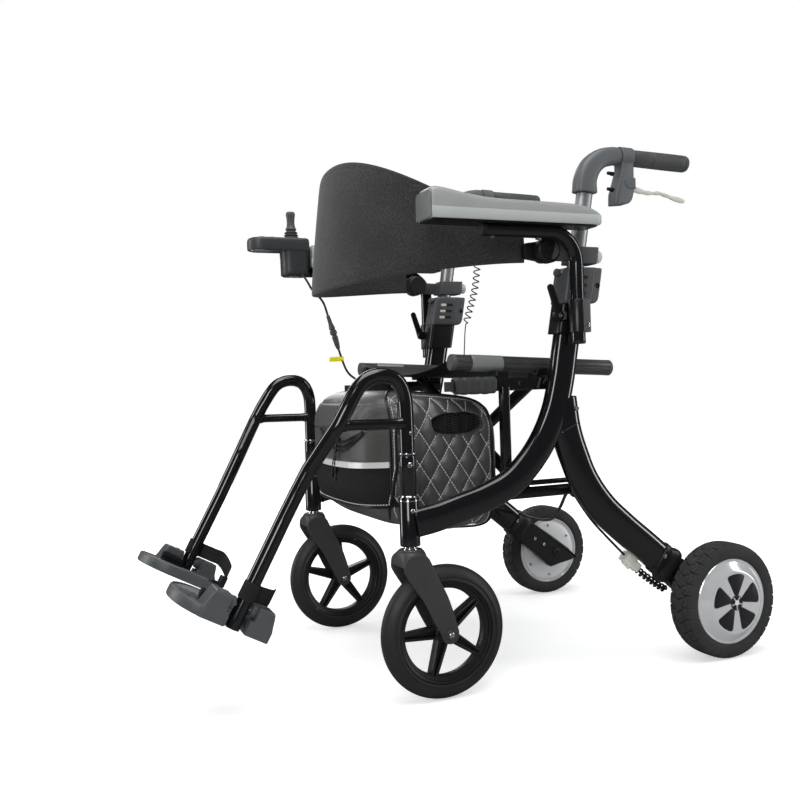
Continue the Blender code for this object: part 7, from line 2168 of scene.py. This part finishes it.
def aligned_block(place, way, half_width, half_depth, length, edge):
    """A moulded block of a rounded plan, standing along a direction."""
    plan = rectangle((-half_width, half_width), (-half_depth, half_depth), 0.0018)
    return facing(moulded(plan, -length / 2, length / 2, edge), place, way, (1, 0, 0))


way = left_line[58] - left_line[48]
way /= np.linalg.norm(way)
centre = LEFT_ROUTE[5]
halves = together(aligned_block(centre - way * 0.007, way, 0.0088, 0.0092, 0.022, 0.001),
                  aligned_block(centre + way * 0.0105, way, 0.0074, 0.0078, 0.015, 0.001),
                  aligned_block(centre - way * 0.004 + np.cross(way, (1, 0, 0)) * 0.0098, way, 0.0034, 0.0016,
                                0.018, 0.0005))
piece("motor_connector", halves, connector_nylon, "left_frame", sharp=40)
right_line = evenly(smooth(RIGHT_ROUTE, 10), 120)
right_wire = piece("right_motor_wire", cable_skin_of(right_line, 0.0028), cable_skin, "left_frame",
                   ["right_motor_cable"], sharp=60)
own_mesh(right_wire)
spare_line = smooth(SPARE_ROUTE, 10)
print("cable lengths in metres: joystick", length_of(cable_line), "curly as it hangs",
      length_of(smooth(CURLY_ROUTE, 10)), "and uncoiled", length_of(coil), "left motor", length_of(left_line),
      "spare", length_of(spare_line), "right motor", length_of(right_line))
print("cables:", len(made), "pieces")

# %% [markdown]
# ## Floor, light and camera
# The photograph has a white ground, soft light from above and in front, and a strong white panel that shows
# as bright lines along the glossy tubes. A pale floor keeps the object's faint shadow.
# The backdrop is white to the camera only, so that it can be bright without washing out the black enamel.
# The floor glows a little, and more with its distance, so it meets the backdrop without a horizon line.

# %% Floor and backdrop
FLOOR_HALF = 3.0
floor_corners = [(-FLOOR_HALF, -FLOOR_HALF, 0.0), (FLOOR_HALF, -FLOOR_HALF, 0.0), (FLOOR_HALF, FLOOR_HALF, 0.0),
                 (-FLOOR_HALF, FLOOR_HALF, 0.0)]
floor_mesh = bpy.data.meshes.new("floor")
floor_mesh.from_pydata(floor_corners, [], [[0, 1, 2, 3]])
floor = bpy.data.objects.new("floor", floor_mesh)
floor_look = grained("pale_floor", (0.8, 0.8, 0.8), 0.7, 80.0, 0.0, 0.01)
tree = floor_look.node_tree
where = tree.nodes["where"]
distance = wired(tree, "ShaderNodeVectorMath", {0: where.outputs["Object"]},
                 operation="LENGTH").outputs["Value"]
glow = wired(tree, "ShaderNodeMapRange", {"Value": distance, "From Min": 0.7, "From Max": 2.3, "To Min": 0.5,
                                          "To Max": 1.0})
rays = wired(tree, "ShaderNodeLightPath")
shader_of(tree).inputs["Emission Color"].default_value = (1.0, 1.0, 1.0, 1.0)
tree.links.new(maths(tree, "MULTIPLY", glow.outputs["Result"], rays.outputs["Is Camera Ray"]),
               shader_of(tree).inputs["Emission Strength"])
tree.links.new(mixed(tree, rays.outputs["Is Glossy Ray"], (0.8, 0.8, 0.8), (0.16, 0.16, 0.16)),
               shader_of(tree).inputs["Base Color"])
floor_mesh.materials.append(floor_look)
bpy.context.scene.collection.objects.link(floor)

world = bpy.data.worlds.new("studio")
bpy.context.scene.world = world
world.use_nodes = True
tree = world.node_tree
tree.nodes.clear()
rays = wired(tree, "ShaderNodeLightPath")
seen = maths(tree, "MAXIMUM", rays.outputs["Is Camera Ray"], rays.outputs["Is Transmission Ray"])
level = between(tree, rays.outputs["Is Glossy Ray"], 0.34, 0.09)
lit = wired(tree, "ShaderNodeBackground", {"Color": (0.8, 0.82, 0.85, 1.0), "Strength": level})
white = wired(tree, "ShaderNodeBackground", {"Color": (1.0, 1.0, 1.0, 1.0), "Strength": 1.0})
shown = wired(tree, "ShaderNodeMixShader", {0: seen, 1: lit.outputs[0], 2: white.outputs[0]})
wired(tree, "ShaderNodeOutputWorld", {"Surface": shown.outputs[0]})
print("floor:", 2 * FLOOR_HALF, "m square")

# %% [markdown]
# Area lights stand for the studio's soft boxes: a large one overhead, one in front on the near side, and tall
# strips at the left and the right, whose reflections draw the thin white lines along the tubes.

# %% Lights
def soft_box(name, place, aim, size, power):
    """An area light at a place, turned to aim at a point."""
    data = bpy.data.lights.new(name, "AREA")
    data.shape = "RECTANGLE"
    data.size, data.size_y = size
    data.energy = power
    light = bpy.data.objects.new(name, data)
    bpy.context.scene.collection.objects.link(light)
    light.location = place
    light.rotation_euler = (Vector(aim) - Vector(place)).to_track_quat("-Z", "Y").to_euler()


CENTRE = (0.0, 0.0, 0.45)
soft_box("overhead", (0.6, -0.3, 2.9), CENTRE, (2.4, 2.4), 62.0)
soft_box("near_front", (2.6, -2.0, 1.7), CENTRE, (1.0, 1.6), 30.0)
soft_box("left_strip", (-1.5, -2.5, 1.2), CENTRE, (0.8, 2.6), 30.0)
soft_box("right_strip", (1.5, 2.7, 1.2), CENTRE, (0.45, 2.6), 22.0)
soft_box("far_side", (-2.7, 0.3, 1.7), CENTRE, (1.0, 1.8), 16.0)
print("lights:", len(bpy.data.lights))

# %% [markdown]
# The camera was fitted to the photograph from the wheels, posts and pads, whose places are known in both.
# Its azimuth is measured round z from the front, and a small roll levels the picture as it was taken.

# %% Camera
AZIMUTH, PITCH, ROLL = math.radians(66.39), math.radians(-1.027), math.radians(-1.862)
look = np.array([-math.sin(AZIMUTH) * math.cos(PITCH), math.cos(AZIMUTH) * math.cos(PITCH), math.sin(PITCH)])
right = np.array([math.cos(AZIMUTH), math.sin(AZIMUTH), 0.0])
up = np.cross(right, look)
rolled_right = math.cos(ROLL) * right + math.sin(ROLL) * up
rolled_up = math.cos(ROLL) * up - math.sin(ROLL) * right
camera_data = bpy.data.cameras.new("camera")
camera_data.lens = 40.55
camera_data.sensor_width = 36.0
camera_data.clip_start = 0.01
camera = bpy.data.objects.new("camera", camera_data)
bpy.context.scene.collection.objects.link(camera)
place = np.array([1.4321, -0.5848 + AXLE_Y, 0.4705])
camera.matrix_world = Matrix([(*row, at) for row, at in zip(np.array([rolled_right, rolled_up, -look]).T,
                                                            place)] + [(0, 0, 0, 1)])
bpy.context.scene.camera = camera
bpy.context.scene.view_settings.view_transform = "Standard"
print("camera at", place.round(3).tolist())
